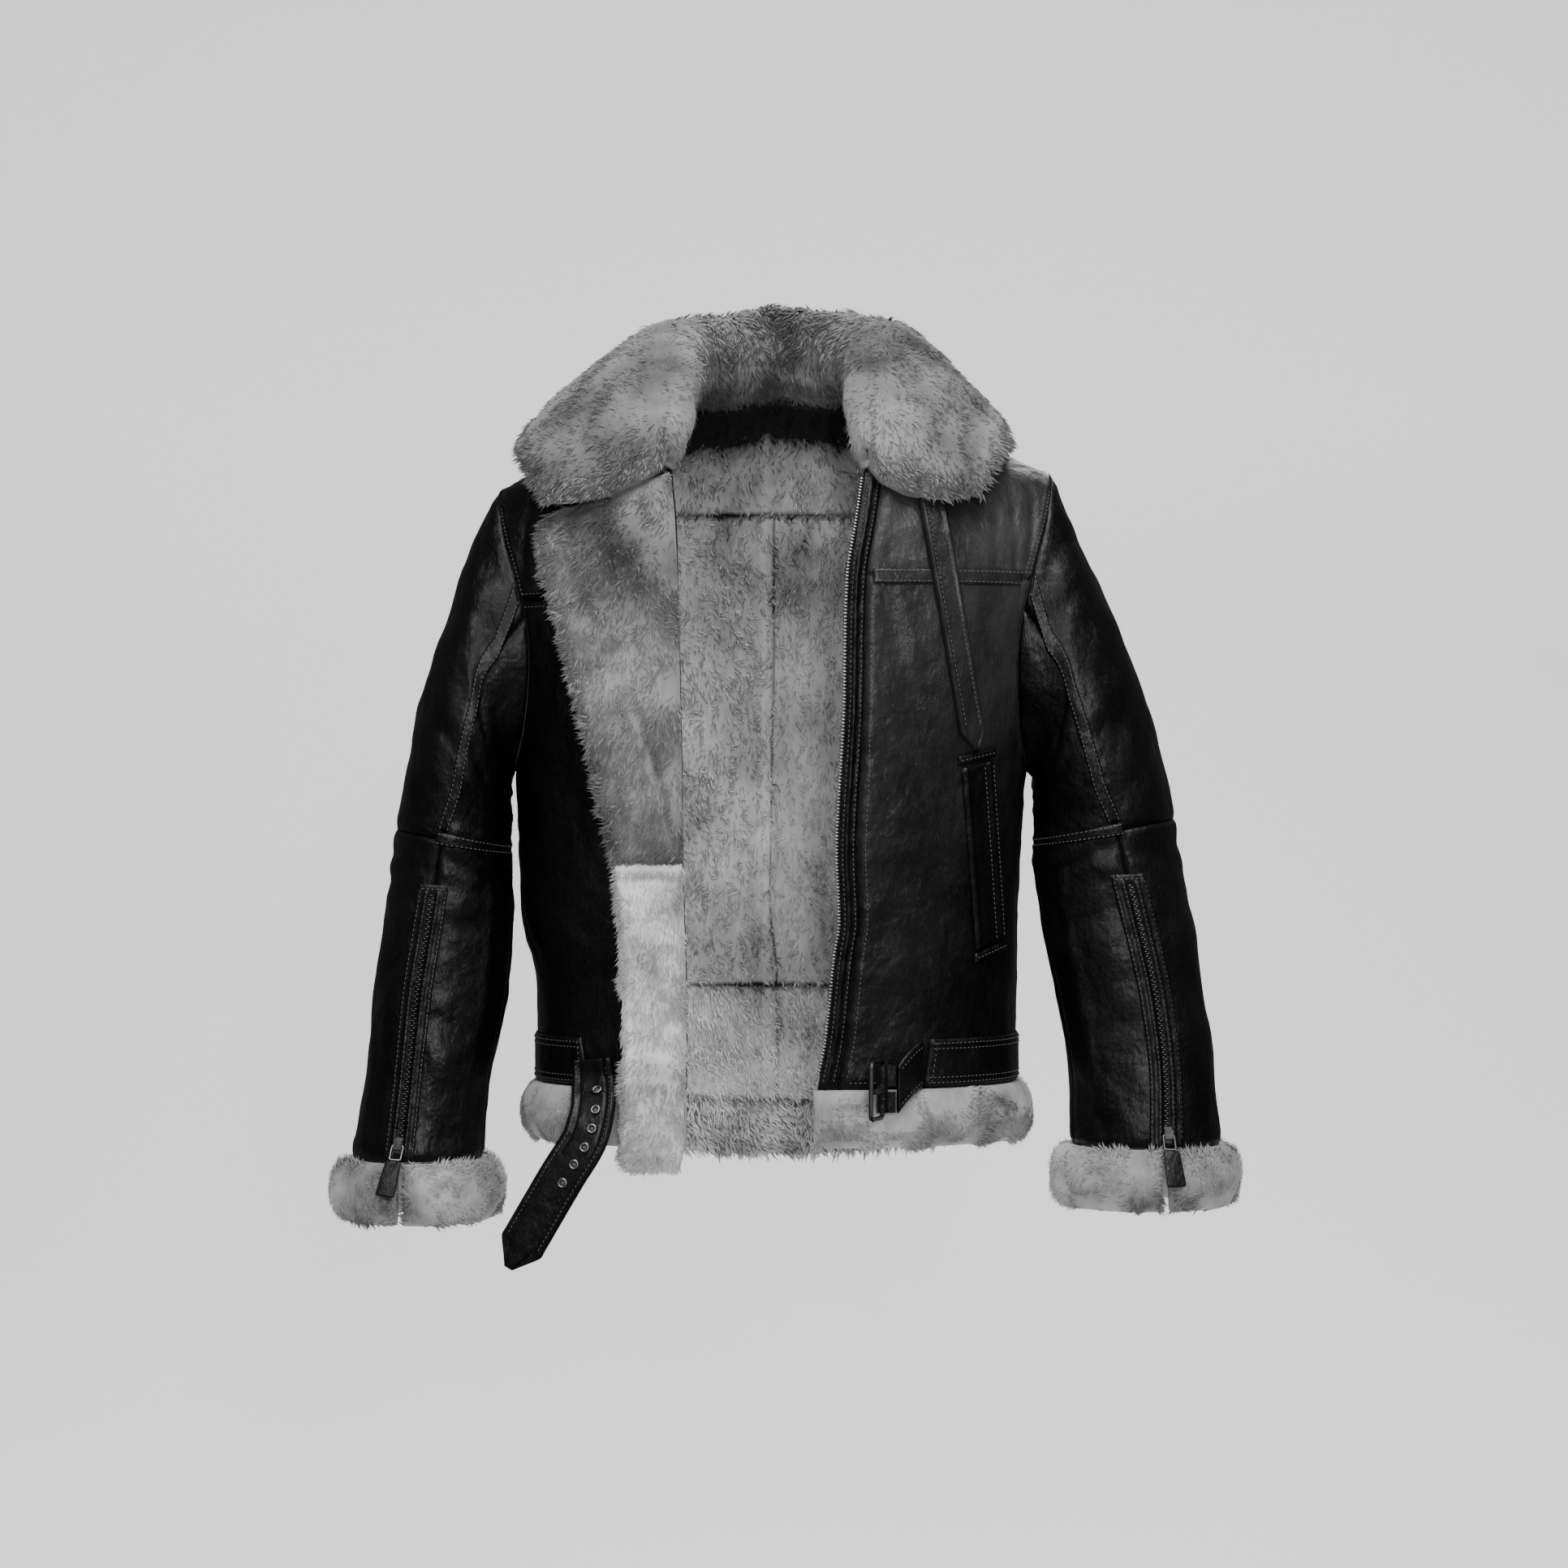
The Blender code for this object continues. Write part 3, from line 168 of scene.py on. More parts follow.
@dataclass(frozen=True)
class Torso:
    """The body of the jacket: sections by height, shoulder line, armholes and neck."""

    # Height, half width, half depth, centre across
    sections: Table = (
        (-630, 211, 130, 3), (-525, 211, 130, 3), (-480, 211, 131, 3), (-428, 213, 134, 2),
        (-385, 219, 137, -3), (-320, 222, 140, -3), (-250, 226, 142, -2), (-150, 240, 140, 0),
        (-50, 270, 132, 0), (40, 288, 122, 0), (140, 290, 116, 0)
    )
    squareness: float = 2.3
    # Distance from the centre, height of the shoulder line
    shoulder: Table = (
        (-48, 102), (0, 124), (48, 102), (84, 78), (130, 55), (190, 29), (244, 5), (292, -16)
    )
    tilt: float = 0.03
    shoulder_drop: float = 170.0
    top_half_width: float = 288.0
    # Share of the way from underarm to shoulder tip, distance in from the side
    armhole: Table = ((0.0, 0), (0.1, 11), (0.25, 21), (0.45, 31), (0.65, 36), (0.85, 35), (1.0, 36))
    underarm: float = -250.0
    neck_half_width: float = 84.0
    neck_back: float = 72.0
    neck_columns: int = 6
    side_columns: int = 5
    seam_gap: float = 0.3
    edge_trim: float = math.radians(0.09)
    hem: float = -524.0
    back_hem_drop: float = 30.0

    def ridge(self, across: float) -> float:
        """Height of the shoulder line at a distance from the centre."""
        return read(self.shoulder, abs(across))[0] + self.tilt * across

    def across_share(self, angle: float) -> float:
        """Share of the half width at an angle from straight ahead."""
        sine = math.sin(angle)
        return math.copysign(abs(sine) ** (2 / self.squareness), sine)

    def depth_share(self, angle: float) -> float:
        """Share of the half depth at an angle from straight ahead."""
        cosine = math.cos(angle)
        return math.copysign(abs(cosine) ** (2 / self.squareness), cosine)

    def ease(self, turn: float) -> tuple[float, float]:
        """Drop below the shoulder line and share of depth at a turn over the shoulder."""
        if turn < math.pi / 2:
            return self.shoulder_drop * (1 - math.cos(turn)), math.sin(turn)
        return self.shoulder_drop * (1 + turn - math.pi / 2), 1.0

    def turn_at_drop(self, drop: float) -> float:
        """The turn over the shoulder that reaches a drop below the shoulder line."""
        if drop < self.shoulder_drop:
            return math.acos(1 - max(drop, 0.0) / self.shoulder_drop)
        return math.pi / 2 + drop / self.shoulder_drop - 1

    def point(self, side: int, angle: float, turn: float) -> Vector:
        """Point of the torso.

        Args:
            side: -1 for the front, 1 for the back.
            angle: Angle from straight ahead.
            turn: Turn from the shoulder line.

        Returns:
            The point in millimetres.
        """
        share = self.across_share(angle)
        drop, fullness = self.ease(turn)
        height = self.ridge(self.top_half_width * share) - drop
        half_width, half_depth, centre = read(self.sections, height)
        depth = half_depth * self.depth_share(angle) * fullness
        return Vector((centre + half_width * share, side * (depth + self.seam_gap / 2), height))

    def angle_at(self, across: float, height: float) -> float:
        """Angle of a point at a distance from the centre and a height."""
        half_width, _, centre = read(self.sections, height)
        share = max(-1.0, min(1.0, (across - centre) / half_width))
        return math.copysign(math.asin(abs(share) ** (self.squareness / 2)), share)

    def turn_at(self, angle: float, height: float) -> float:
        """The turn over the shoulder that reaches a height at an angle."""
        return self.turn_at_drop(self.ridge(self.top_half_width * self.across_share(angle)) - height)

    def at(self, side: int, across: float, height: float) -> Vector:
        """Point of the torso at a distance from the centre and a height."""
        angle = self.angle_at(across, height)
        return self.point(side, angle, self.turn_at(angle, height))

    def girth(self, bearing: float, height: float) -> Vector:
        """Point at a bearing: 0 in front, 90 degrees at the wearer's left side."""
        if abs(bearing) <= math.pi / 2:
            return self.point(-1, bearing, self.turn_at(bearing, height))
        angle = math.copysign(math.pi, bearing) - bearing
        return self.point(1, angle, self.turn_at(angle, height))

    def underarm_drop(self, hand: int) -> float:
        """Drop from the shoulder line to the underarm."""
        return self.ridge(hand * self.top_half_width) - self.underarm

    def armhole_angle(self, hand: int, turn: float) -> float:
        """Angle of the armhole's edge at a turn below the shoulder line."""
        drop = self.ease(turn)[0]
        share = 1 - drop / self.underarm_drop(hand)
        if share <= 0:
            return hand * math.pi / 2
        inset = read(self.armhole, share)[0]
        angle = hand * math.radians(60.0)
        for _ in range(8):
            height = self.ridge(self.top_half_width * self.across_share(angle)) - drop
            reach = 1 - inset / read(self.sections, height)[0]
            angle = hand * math.asin(reach ** (self.squareness / 2))
        return angle

    def side_angle(self, hand: int, height: float) -> float:
        """Angle of a panel's side edge: the side seam, then the armhole."""
        if height <= self.underarm:
            return hand * (math.pi / 2 - self.edge_trim)
        angle = hand * math.radians(70.0)
        for _ in range(12):
            angle = self.armhole_angle(hand, self.turn_at(angle, height))
        return angle - hand * self.edge_trim

    def trimmed_armhole(self, hand: int) -> Callable[[float, float], float]:
        """The armhole edge of a yoke, a seam gap inside the armhole."""
        return lambda turn, _: self.armhole_angle(hand, turn) - hand * self.edge_trim

    def neck_turn(self, angle: float) -> float:
        """The turn at the top of the back yoke."""
        height = self.ridge(self.top_half_width * self.across_share(angle))
        half_width, half_depth, centre = read(self.sections, height)
        across = (centre + half_width * self.across_share(angle)) / self.neck_half_width
        if abs(across) >= 1.0:
            return 0.0
        reach = self.neck_back * math.sqrt(1 - across**2)
        return math.asin(min(reach / (half_depth * self.depth_share(angle)), 1.0))

    def back_hem(self, angle: float) -> float:
        """Height of the back leather's lower edge, lowest in the middle."""
        return self.hem - self.back_hem_drop * math.cos(angle) ** 2

    def back_angle(self, hand: float, share: float, side: float) -> float:
        """Angle of a column of the back, close together under the neck."""
        neck_share = self.neck_columns / (self.neck_columns + self.side_columns)
        if share < neck_share:
            across = self.neck_half_width * share / neck_share
            return hand * self.angle_at(across, self.ridge(across))
        corner = hand * self.angle_at(self.neck_half_width, self.ridge(self.neck_half_width))
        return mix(corner, side, (share - neck_share) / (1 - neck_share))

    def level_panel(self, side: int, low: Edge, knots: Table, spread: Callable) -> Patch:
        """A panel with level rows.

        Args:
            side: -1 for the front, 1 for the back.
            low: Height of the lower edge by angle.
            knots: Pairs of share of the rows and height.
            spread: Angle of a column by share and height.

        Returns:
            The panel's patch.
        """

        def patch(across: float, along: float) -> Vector:
            """Point of the panel."""
            angle = spread(across, stepped(along, ((0.0, low(0.0)), *knots)))
            height = stepped(along, ((0.0, low(angle)), *knots))
            return self.point(side, angle, self.turn_at(angle, height))

        return patch

    def yoke_panel(self, side: int, seam: float, left: Callable, right: Callable, top: Edge) -> Patch:
        """A panel over the shoulder, its lower edge level.

        Args:
            side: -1 for the front, 1 for the back.
            seam: Height of the lower edge.
            left: Angle of the edge on the wearer's right by turn and angle.
            right: Angle of the edge on the wearer's left.
            top: Turn of the top edge by angle.

        Returns:
            The panel's patch.
        """

        def solved(edge: Callable, start: float, along: float) -> float:
            """Angle where a row meets an edge."""
            angle = start
            for _ in range(12):
                angle = edge(mix(self.turn_at(angle, seam), top(angle), along), angle)
            return angle

        def patch(across: float, along: float) -> Vector:
            """Point of the yoke."""
            if side > 0:
                hand = math.copysign(1, across - 0.5)
                edge = left if hand < 0 else right
                angle = solved(edge, hand * math.radians(60.0), along)
                angle = self.back_angle(hand, abs(across - 0.5) * 2, angle)
            else:
                start = solved(left, math.radians(40.0), along)
                end = solved(right, math.radians(40.0), along)
                angle = mix(start, end, across)
            return self.point(side, angle, mix(self.turn_at(angle, seam), top(angle), along))

        return patch

    def laid(self, low_pair: Table, high_pair: Table) -> Patch:
        """A straight-edged patch on the front from its corners."""

        def patch(across: float, along: float) -> Vector:
            """Point of the patch."""
            low = [mix(a, b, across) for a, b in zip(*low_pair)]
            high = [mix(a, b, across) for a, b in zip(*high_pair)]
            return self.at(-1, mix(low[0], high[0], along), mix(low[1], high[1], along))

        return patch


TORSO = Torso()


@dataclass(frozen=True)
class SleeveForm:
    """One sleeve's rings, its seams and its fur cuff."""

    hand: int
    # Outer x, outer z, inner x, inner z, middle y, half depth
    rings: Table
    armhole_gap: float = -0.6
    wrist: float = 10.0
    elbow: float = 5.2
    under_seam: float = 0.47
    # Ring, share of the way round from the outer side
    seam: Table = ((0.0, 0.25), (4.0, 0.262), (5.2, 0.237), (7.0, 0.218), (8.0, 0.208), (10.0, 0.22))
    cuff_height: float = 53.0
    cuff_split: float = 0.0125
    cuff_gap: float = 1.6

    def armhole_point(self, share: float) -> Vector:
        """Point of the armhole: 0 at the shoulder tip, a quarter in front."""
        share = share % 1.0
        side = -1 if share < 0.5 else 1
        drop = TORSO.underarm_drop(self.hand) * (1 - math.cos(2 * math.pi * share)) / 2
        turn = TORSO.turn_at_drop(drop)
        return TORSO.point(side, TORSO.armhole_angle(self.hand, turn), turn)

    def ring_point(self, index: int, share: float) -> Vector:
        """Point of one ring; ring 0 is the armhole."""
        if index <= 0:
            return self.armhole_point(share)
        row = self.rings[min(index, len(self.rings)) - 1]
        outer_x, outer_z, inner_x, inner_z, middle_y, depth = row
        circle = 2 * math.pi * share
        swing = math.cos(circle)
        across = (outer_x + inner_x) / 2 + (outer_x - inner_x) / 2 * swing
        height = (outer_z + inner_z) / 2 + (outer_z - inner_z) / 2 * swing
        return Vector((self.hand * across, middle_y - depth * math.sin(circle), height))

    def point(self, share: float, ring: float) -> Vector:
        """Point between the rings, on a smooth curve through them."""
        index = max(0, min(int(math.floor(ring)), len(self.rings) - 1))
        low = self.ring_point(index, share)
        high = self.ring_point(index + 1, share)
        start_slope = high - low if index == 0 else (high - self.ring_point(index - 1, share)) / 2
        end_slope = high - low
        if index + 1 < len(self.rings):
            end_slope = (self.ring_point(index + 2, share) - low) / 2
        point = hermite(low, high, start_slope, end_slope, ring - index)
        if ring < 1.0:
            point = point + Vector((self.hand * self.armhole_gap * (1 - max(ring, 0.0)), 0.0, 0.0))
        return point

    def front_seam(self, ring: float) -> float:
        """Place of the front seam round the sleeve."""
        return read(self.seam, ring)[0]

    def panel(self, start: Edge, end: Edge, first: float, last: float) -> Patch:
        """Part of the sleeve between two seams and two rings."""

        def patch(across: float, along: float) -> Vector:
            """Point of the panel."""
            ring = mix(first, last, along)
            return self.point(mix(start(ring), end(ring), across), ring)

        return patch

    def cuff(self) -> Patch:
        """The fur cuff's middle surface below the wrist, split at the zip."""
        seam = self.front_seam(self.wrist)

        def patch(across: float, along: float) -> Vector:
            """Point of the cuff."""
            share = mix(seam + self.cuff_split, seam + 1 - self.cuff_split, across)
            drop = self.cuff_gap + self.cuff_height * along
            return self.point(share, self.wrist) - Vector((0.0, 0.0, drop))

        return patch


@dataclass(frozen=True)
class CollarForm:
    """The collar's sheet from the neck seam over the roll to its edge."""

    # Share round from the right front, heading in degrees, stand, reach, drop
    rows: Table = (
        (0.0, 181, 16, 104, 50), (0.1, 181, 24, 122, 62), (0.2, 180, 36, 130, 78),
        (0.3, 172, 50, 128, 98), (0.4, 128, 63, 92, 117), (0.5, 90, 67, 58, 123), (0.6, 52, 63, 90, 119),
        (0.7, 8, 50, 118, 102), (0.8, 0, 36, 114, 80), (0.9, 1, 24, 108, 60), (1.0, 5, 16, 96, 42)
    )
    front: float = 0.5 - 6 / 32
    front_reach: float = 0.16
    front_sag: tuple[float, float] = (27.0, 31.0)
    gap: float = 0.9
    front_neck: float = 8.0
    fold_neck: float = 90.0
    zip_neck: float = 80.0

    def lifted(self, side: int, angle: float, turn: float) -> Vector:
        """Point a gap outside the torso, along its normal."""
        step = 0.002
        level = TORSO.point(side, angle + step, turn) - TORSO.point(side, angle - step, turn)
        slope = TORSO.point(side, angle, turn + step) - TORSO.point(side, angle, turn - step)
        normal = level.cross(slope).normalized()
        return TORSO.point(side, angle, turn) + normal * math.copysign(self.gap, normal.z)

    def neck_seam(self, share: float) -> Vector:
        """The collar's seam on the torso, from the right front round the back."""
        if self.front < share < 1 - self.front:
            swing = math.pi * (share - self.front) / (1 - 2 * self.front)
            across = -TORSO.neck_half_width * math.cos(swing)
            angle = TORSO.angle_at(across, TORSO.ridge(across))
            return self.lifted(1, angle, TORSO.neck_turn(angle))
        hand = -1 if share < 0.5 else 1
        climb = min(share, 1 - share) / self.front
        start = (self.fold_neck if hand < 0 else self.zip_neck) * hand
        across = mix(start, TORSO.neck_half_width * hand, climb)
        angle = TORSO.angle_at(across, mix(self.front_neck, TORSO.ridge(across), climb))
        turn = TORSO.turn_at(angle, self.front_neck) * (1 - climb)
        return self.lifted(-1, angle, turn)

    def point(self, across: float, along: float) -> Vector:
        """Point of the collar's leather side.

        Args:
            across: Share round the neck from the right front.
            along: Share from the neck seam to the free edge.

        Returns:
            The point in millimetres.
        """
        heading, stand, reach, drop = read(self.rows, across)
        outward = Vector((math.cos(math.radians(heading)), math.sin(math.radians(heading)), 0.0))
        neck = self.neck_seam(across)
        up = Vector((0.0, 0.0, 1.0))
        lean = stand * 0.18
        front_edge = max(0.0, 1 - min(across, 1 - across) / self.front_reach) ** 2
        sag = self.front_sag[0 if across < 0.5 else 1] * front_edge
        profile = (
            (0.0, neck), (0.16, neck - outward * lean + up * (stand * 0.5)),
            (0.3, neck - outward * lean * 0.4 + up * (stand * 0.93)),
            (0.4, neck + outward * (6 + stand * 0.16) + up * stand),
            (0.52, neck + outward * (reach * 0.34) + up * (stand - drop * 0.14)),
            (0.76, neck + outward * (reach * 0.7) + up * (stand - drop * 0.55)),
            (1.0, neck + outward * reach + up * (stand - drop))
        )
        point = Vector(read([(share, spot.x, spot.y, spot.z) for share, spot in profile], along))
        low = min(1.0, max(0.0, (along - 0.34) / 0.62)) ** 0.6
        fall = max(0.0, math.sin(math.pi * low)) ** 0.8
        return point + Vector((0.0, -0.35, -1.0)) * (sag * fall)


# Shader maths


class Link:
    """A node's output that takes part in Python arithmetic."""

    def __init__(self, tree: Tree, socket: bpy.types.NodeSocket) -> None:
        """Keep the socket and the tree it belongs to."""
        self.tree = tree
        self.socket = socket

    def maths(self, operation: str, first: Link | float, second: Link | float) -> Link:
        """A Math node over two values."""
        return self.tree.node("ShaderNodeMath", {"operation": operation}, {0: first, 1: second})

    def __add__(self, other: Link | float) -> Link:
        """Sum."""
        return self.maths("ADD", self, other)

    def __radd__(self, other: float) -> Link:
        """Sum with the number first."""
        return self.maths("ADD", other, self)

    def __sub__(self, other: Link | float) -> Link:
        """Difference."""
        return self.maths("SUBTRACT", self, other)

    def __rsub__(self, other: float) -> Link:
        """Difference with the number first."""
        return self.maths("SUBTRACT", other, self)

    def __mul__(self, other: Link | float) -> Link:
        """Product."""
        return self.maths("MULTIPLY", self, other)

    def __rmul__(self, other: float) -> Link:
        """Product with the number first."""
        return self.maths("MULTIPLY", other, self)

    def __pow__(self, other: float) -> Link:
        """Power."""
        return self.maths("POWER", self, other)


class Tree:
    """The nodes of one material."""

    def __init__(self, name: str) -> None:
        """Start an empty material with its output and principled shader."""
        self.material = bpy.data.materials.new(name)
        self.material.use_nodes = True
        self.nodes = self.material.node_tree.nodes
        self.links = self.material.node_tree.links
        self.shader = self.nodes["Principled BSDF"]

    def node(self, kind: str, settings: dict, values: dict, output: int | str = 0) -> Link:
        """Add a node.

        Args:
            kind: The node's type name.
            settings: Properties set before its sockets, a ramp's stops under "stops".
            values: Numbers, tuples or links by socket index or name.
            output: The output to hand back.

        Returns:
            The output as a link.
        """
        made = self.nodes.new(kind)
        for key, value in settings.items():
            if key == "stops":
                self.fill_ramp(made.color_ramp, value)
            else:
                setattr(made, key, value)
        for key, value in values.items():
            self.feed(made.inputs[key], value)
        return Link(self, made.outputs[output])

    @staticmethod
    def fill_ramp(ramp: bpy.types.ColorRamp, stops: Table) -> None:
        """Give a ramp grey stops of (place, value)."""
        while len(ramp.elements) < len(stops):
            ramp.elements.new(1.0)
        for element, (place, value) in zip(ramp.elements, stops):
            element.position = place
            element.color = (value, value, value, 1.0)

    def feed(self, socket: bpy.types.NodeSocket, value: Link | float | tuple) -> None:
        """Link or set one input."""
        if isinstance(value, Link):
            self.links.new(value.socket, socket)
        else:
            socket.default_value = value

    def place(self, stretch: tuple[float, float, float] = (1.0, 1.0, 1.0)) -> Link:
        """Object coordinates, stretched."""
        spot = self.node("ShaderNodeTexCoord", {}, {}, "Object")
        return self.node("ShaderNodeMapping", {}, {"Vector": spot, "Scale": stretch})

    def noise(self, where: Link, scale: float, detail: float = 2.0, rough: float = 0.5) -> Link:
        """Noise factor at a scale per metre."""
        values = {"Vector": where, "Scale": scale, "Detail": detail, "Roughness": rough}
        return self.node("ShaderNodeTexNoise", {}, values, 0)

    def cells(self, where: Link, scale: float) -> Link:
        """Distance to the edges of random cells, as in hide grain."""
        values = {"Vector": where, "Scale": scale}
        return self.node("ShaderNodeTexVoronoi", {"feature": "DISTANCE_TO_EDGE"}, values, "Distance")

    def ramp(self, factor: Link, stops: Table) -> Link:
        """Grey ramp over a factor."""
        return self.node("ShaderNodeValToRGB", {"stops": stops}, {"Fac": factor})

    def blend(self, factor: Link, dark: tuple, pale: tuple) -> Link:
        """Mix of two colours."""
        return self.node("ShaderNodeMix", {"data_type": "RGBA"}, {0: factor, 6: dark, 7: pale}, 2)

    def bump(self, height: Link, depth: float, strength: float = 1.0, under: Link | None = None) -> Link:
        """Bump of a height in metres of depth, over an earlier bump if given."""
        values = {"Strength": strength, "Distance": depth, "Height": height}
        if under is not None:
            values["Normal"] = under
        return self.node("ShaderNodeBump", {}, values, "Normal")

    def attribute(self, name: str) -> Link:
        """A number kept on the mesh."""
        return self.node("ShaderNodeAttribute", {"attribute_name": name}, {}, "Fac")

    def finish(self, sockets: dict) -> bpy.types.Material:
        """Feed the shader and hand the material back."""
        for key, value in sockets.items():
            self.feed(self.shader.inputs[key], value)
        return self.material


def grey(value: float, warmth: float = 0.0) -> tuple[float, float, float, float]:
    """A grey with a touch of warmth."""
    return (value * (1 + warmth), value, value * (1 - warmth), 1.0)


@dataclass(frozen=True)
class Leather:
    """Glossy dyed hide with pebbled grain, fine wrinkles and pale worn patches at random; given a highlight
    strength, a painted highlight lightens its upper part in streaks and the worn patches keep only a tenth
    of their share.
    """

    name: str = "leather"
    tone: float = 0.0004
    rub_and_highlight_tone: float = 0.0022
    gloss: float = 0.31
    grain_size: float = 620.0
    coat: float = 0.04
    painted_chest_highlight: float = 0.0

    def material(self) -> bpy.types.Material:
        """Build the hide's nodes."""
        tree = Tree(self.name)
        where = tree.place()
        stretched = tree.place((1.0, 1.0, 0.45))
        patches = tree.noise(where, 9.0, 3.0)
        rub_and_highlight = tree.ramp(patches * 0.7 + tree.noise(where, 60.0, 4.0) * 0.3, ((0.42, 0.0), (0.68, 1.0)))
        # Painted highlight: the base colour is lightened in streaks towards the top of the piece, in place
        # of the lamps' reflection on the upper front.
        if self.painted_chest_highlight > 0:
            height = tree.node("ShaderNodeSeparateXYZ", {}, {0: where}, 2)
            painted_highlight = tree.ramp(height * -1.0, ((0.03, 1.0), (0.14, 0.75), (0.34, 0.1), (0.5, 0.0)))
            streaks = tree.ramp(tree.noise(stretched, 20.0, 3.0, 0.6), ((0.36, 0.25), (0.68, 1.0)))
            rub_and_highlight = rub_and_highlight * 0.1 + painted_highlight * streaks * self.painted_chest_highlight
        colour = tree.blend(rub_and_highlight, grey(self.tone), grey(self.rub_and_highlight_tone, 0.02))
        grain = tree.cells(where, self.grain_size)
        pebble = tree.ramp(grain, ((0.0, 0.0), (0.09, 1.0)))
        wrinkle = tree.noise(stretched, 120.0, 5.0, 0.6)
        soft = tree.noise(where, 26.0, 3.0)
        crackle = tree.noise(tree.place((1.0, 1.0, 0.8)), 46.0, 4.0, 0.6)
        normal = tree.bump(soft, 0.007, 0.7)
        normal = tree.bump(crackle, 0.0028, 0.6, normal)
        normal = tree.bump(wrinkle, 0.0016, 0.7, normal)
        normal = tree.bump(pebble, 0.00016, 0.6, normal)
        rough = self.gloss + patches * 0.22 - pebble * 0.05 + wrinkle * 0.1 - 0.06
        return tree.finish(
            {
                "Base Color": colour, "Roughness": rough, "Coat Weight": self.coat,
                "Coat Roughness": 0.28, "Specular IOR Level": 0.25, "Normal": normal
            }
        )


@dataclass(frozen=True)
class Wool:
    """Clipped sheep's wool: mottled patches, darker at the roots than at the tips as painted shade down
    among the locks.
    """

    name: str = "wool"
    dark: float = 0.12
    pale: float = 0.5
    patch_scale: float = 17.0
    contrast: float = 0.9
    sheen: float = 0.2

    def material(self) -> bpy.types.Material:
        """Build the wool's nodes."""
        tree = Tree(self.name)
        where = tree.place()
        patches = tree.noise(where, self.patch_scale, 2.0, 0.45)
        mottle = tree.noise(where, self.patch_scale * 3.1, 2.0, 0.5)
        streaks = tree.noise(tree.place((1.0, 1.0, 0.3)), 210.0, 3.0, 0.6)
        tone = tree.attribute("tone")
        spread = (patches - 0.5) * self.contrast * 1.8 + (mottle - 0.5) * self.contrast * 0.6
        share = 0.14 + spread + (streaks - 0.5) * 0.3 + tone * 0.72
        colour = tree.blend(tree.ramp(share, ((0.0, 0.0), (1.0, 1.0))), grey(self.dark), grey(self.pale))
        fibre = tree.noise(where, 900.0, 2.0, 0.7)
        normal = tree.bump(streaks, 0.0016, 0.5)
        normal = tree.bump(fibre, 0.0005, 0.6, normal)
        return tree.finish(
            {
                "Base Color": colour, "Roughness": 0.9, "Sheen Weight": self.sheen,
                "Sheen Roughness": 0.5, "Specular IOR Level": 0.25, "Normal": normal
            }
        )


@dataclass(frozen=True)
class Metal:
    """Plated fittings, a little worn."""

    name: str = "metal"
    tone: float = 0.3
    gloss: float = 0.26

    def material(self) -> bpy.types.Material:
        """Build the plated metal's nodes."""
        tree = Tree(self.name)
        where = tree.place()
        wear = tree.noise(where, 300.0, 4.0, 0.6)
        scratches = tree.noise(tree.place((1.0, 1.0, 0.2)), 1500.0, 2.0)
        colour = tree.blend(wear, grey(self.tone * 0.6), grey(self.tone))
        return tree.finish(
            {
                "Base Color": colour, "Metallic": 1.0, "Roughness": self.gloss + wear * 0.2,
                "Normal": tree.bump(scratches, 0.00006, 0.4)
            }
        )


@dataclass(frozen=True)
class Thread:
    """Twisted waxed thread and woven zip tape."""

    name: str = "thread"
    tone: float = 0.022
    weave: float = 1400.0

    def material(self) -> bpy.types.Material:
        """Build the thread's nodes."""
        tree = Tree(self.name)
        where = tree.place((1.0, 1.0, 0.6))
        twist = tree.noise(where, self.weave, 2.0)
        colour = tree.blend(twist, grey(self.tone * 0.5), grey(self.tone * 1.6))
        return tree.finish(
            {"Base Color": colour, "Roughness": 0.62, "Normal": tree.bump(twist, 0.0002, 0.8)}
        )


class Wardrobe:
    """The finishes, each made once."""

    def __init__(self) -> None:
        """Make every material."""
        self.leather = Leather().material()
        # A copy of the leather with a painted highlight on the upper left front.
        self.painted_chest_highlight = Leather("painted_highlight_leather", rub_and_highlight_tone=0.034, painted_chest_highlight=0.9).material()
        # A lighter copy of the leather with a painted highlight high up, for the collar strap and the yoke
        # tape.
        self.strap = Leather("painted_highlight_strap_leather", 0.003, 0.022, 0.28, coat=0.08, painted_chest_highlight=0.75).material()
        self.trim = Leather("trim_leather", 0.0008, 0.003, 0.28, coat=0.06).material()
        self.collar = Wool("collar_wool", 0.035, 0.28, 12.0, 1.15).material()
        self.lapel = Wool("lapel_wool", 0.035, 0.3, 12.0, 0.95).material()
        self.strip = Wool("edge_wool", 0.22, 0.78, 22.0, 0.8).material()
        # Paler copy of the same fleece, painted light for the little light that reaches inside; its
        # near-black dark end lets the painted shade under the collar go black.
        self.lining = Wool("lining_wool", 0.004, 0.76, 8.0, 0.6, sheen=0.01).material()
        self.hem = Wool("hem_wool", 0.06, 0.44, 14.0, 1.1).material()
        # Paler copy of the same fleece, painted light inside the back hem and low lining.
        self.inside_hem = Wool("inside_hem_wool", 0.05, 0.8, 8.0, 0.9).material()
        self.metal = Metal().material()
        self.bright = Metal("bright_metal", tone=0.5, gloss=0.2).material()
        self.thread = Thread(tone=0.06).material()
        self.dark_metal = Metal("dark_metal", tone=0.11, gloss=0.3).material()


# Meshes over the form


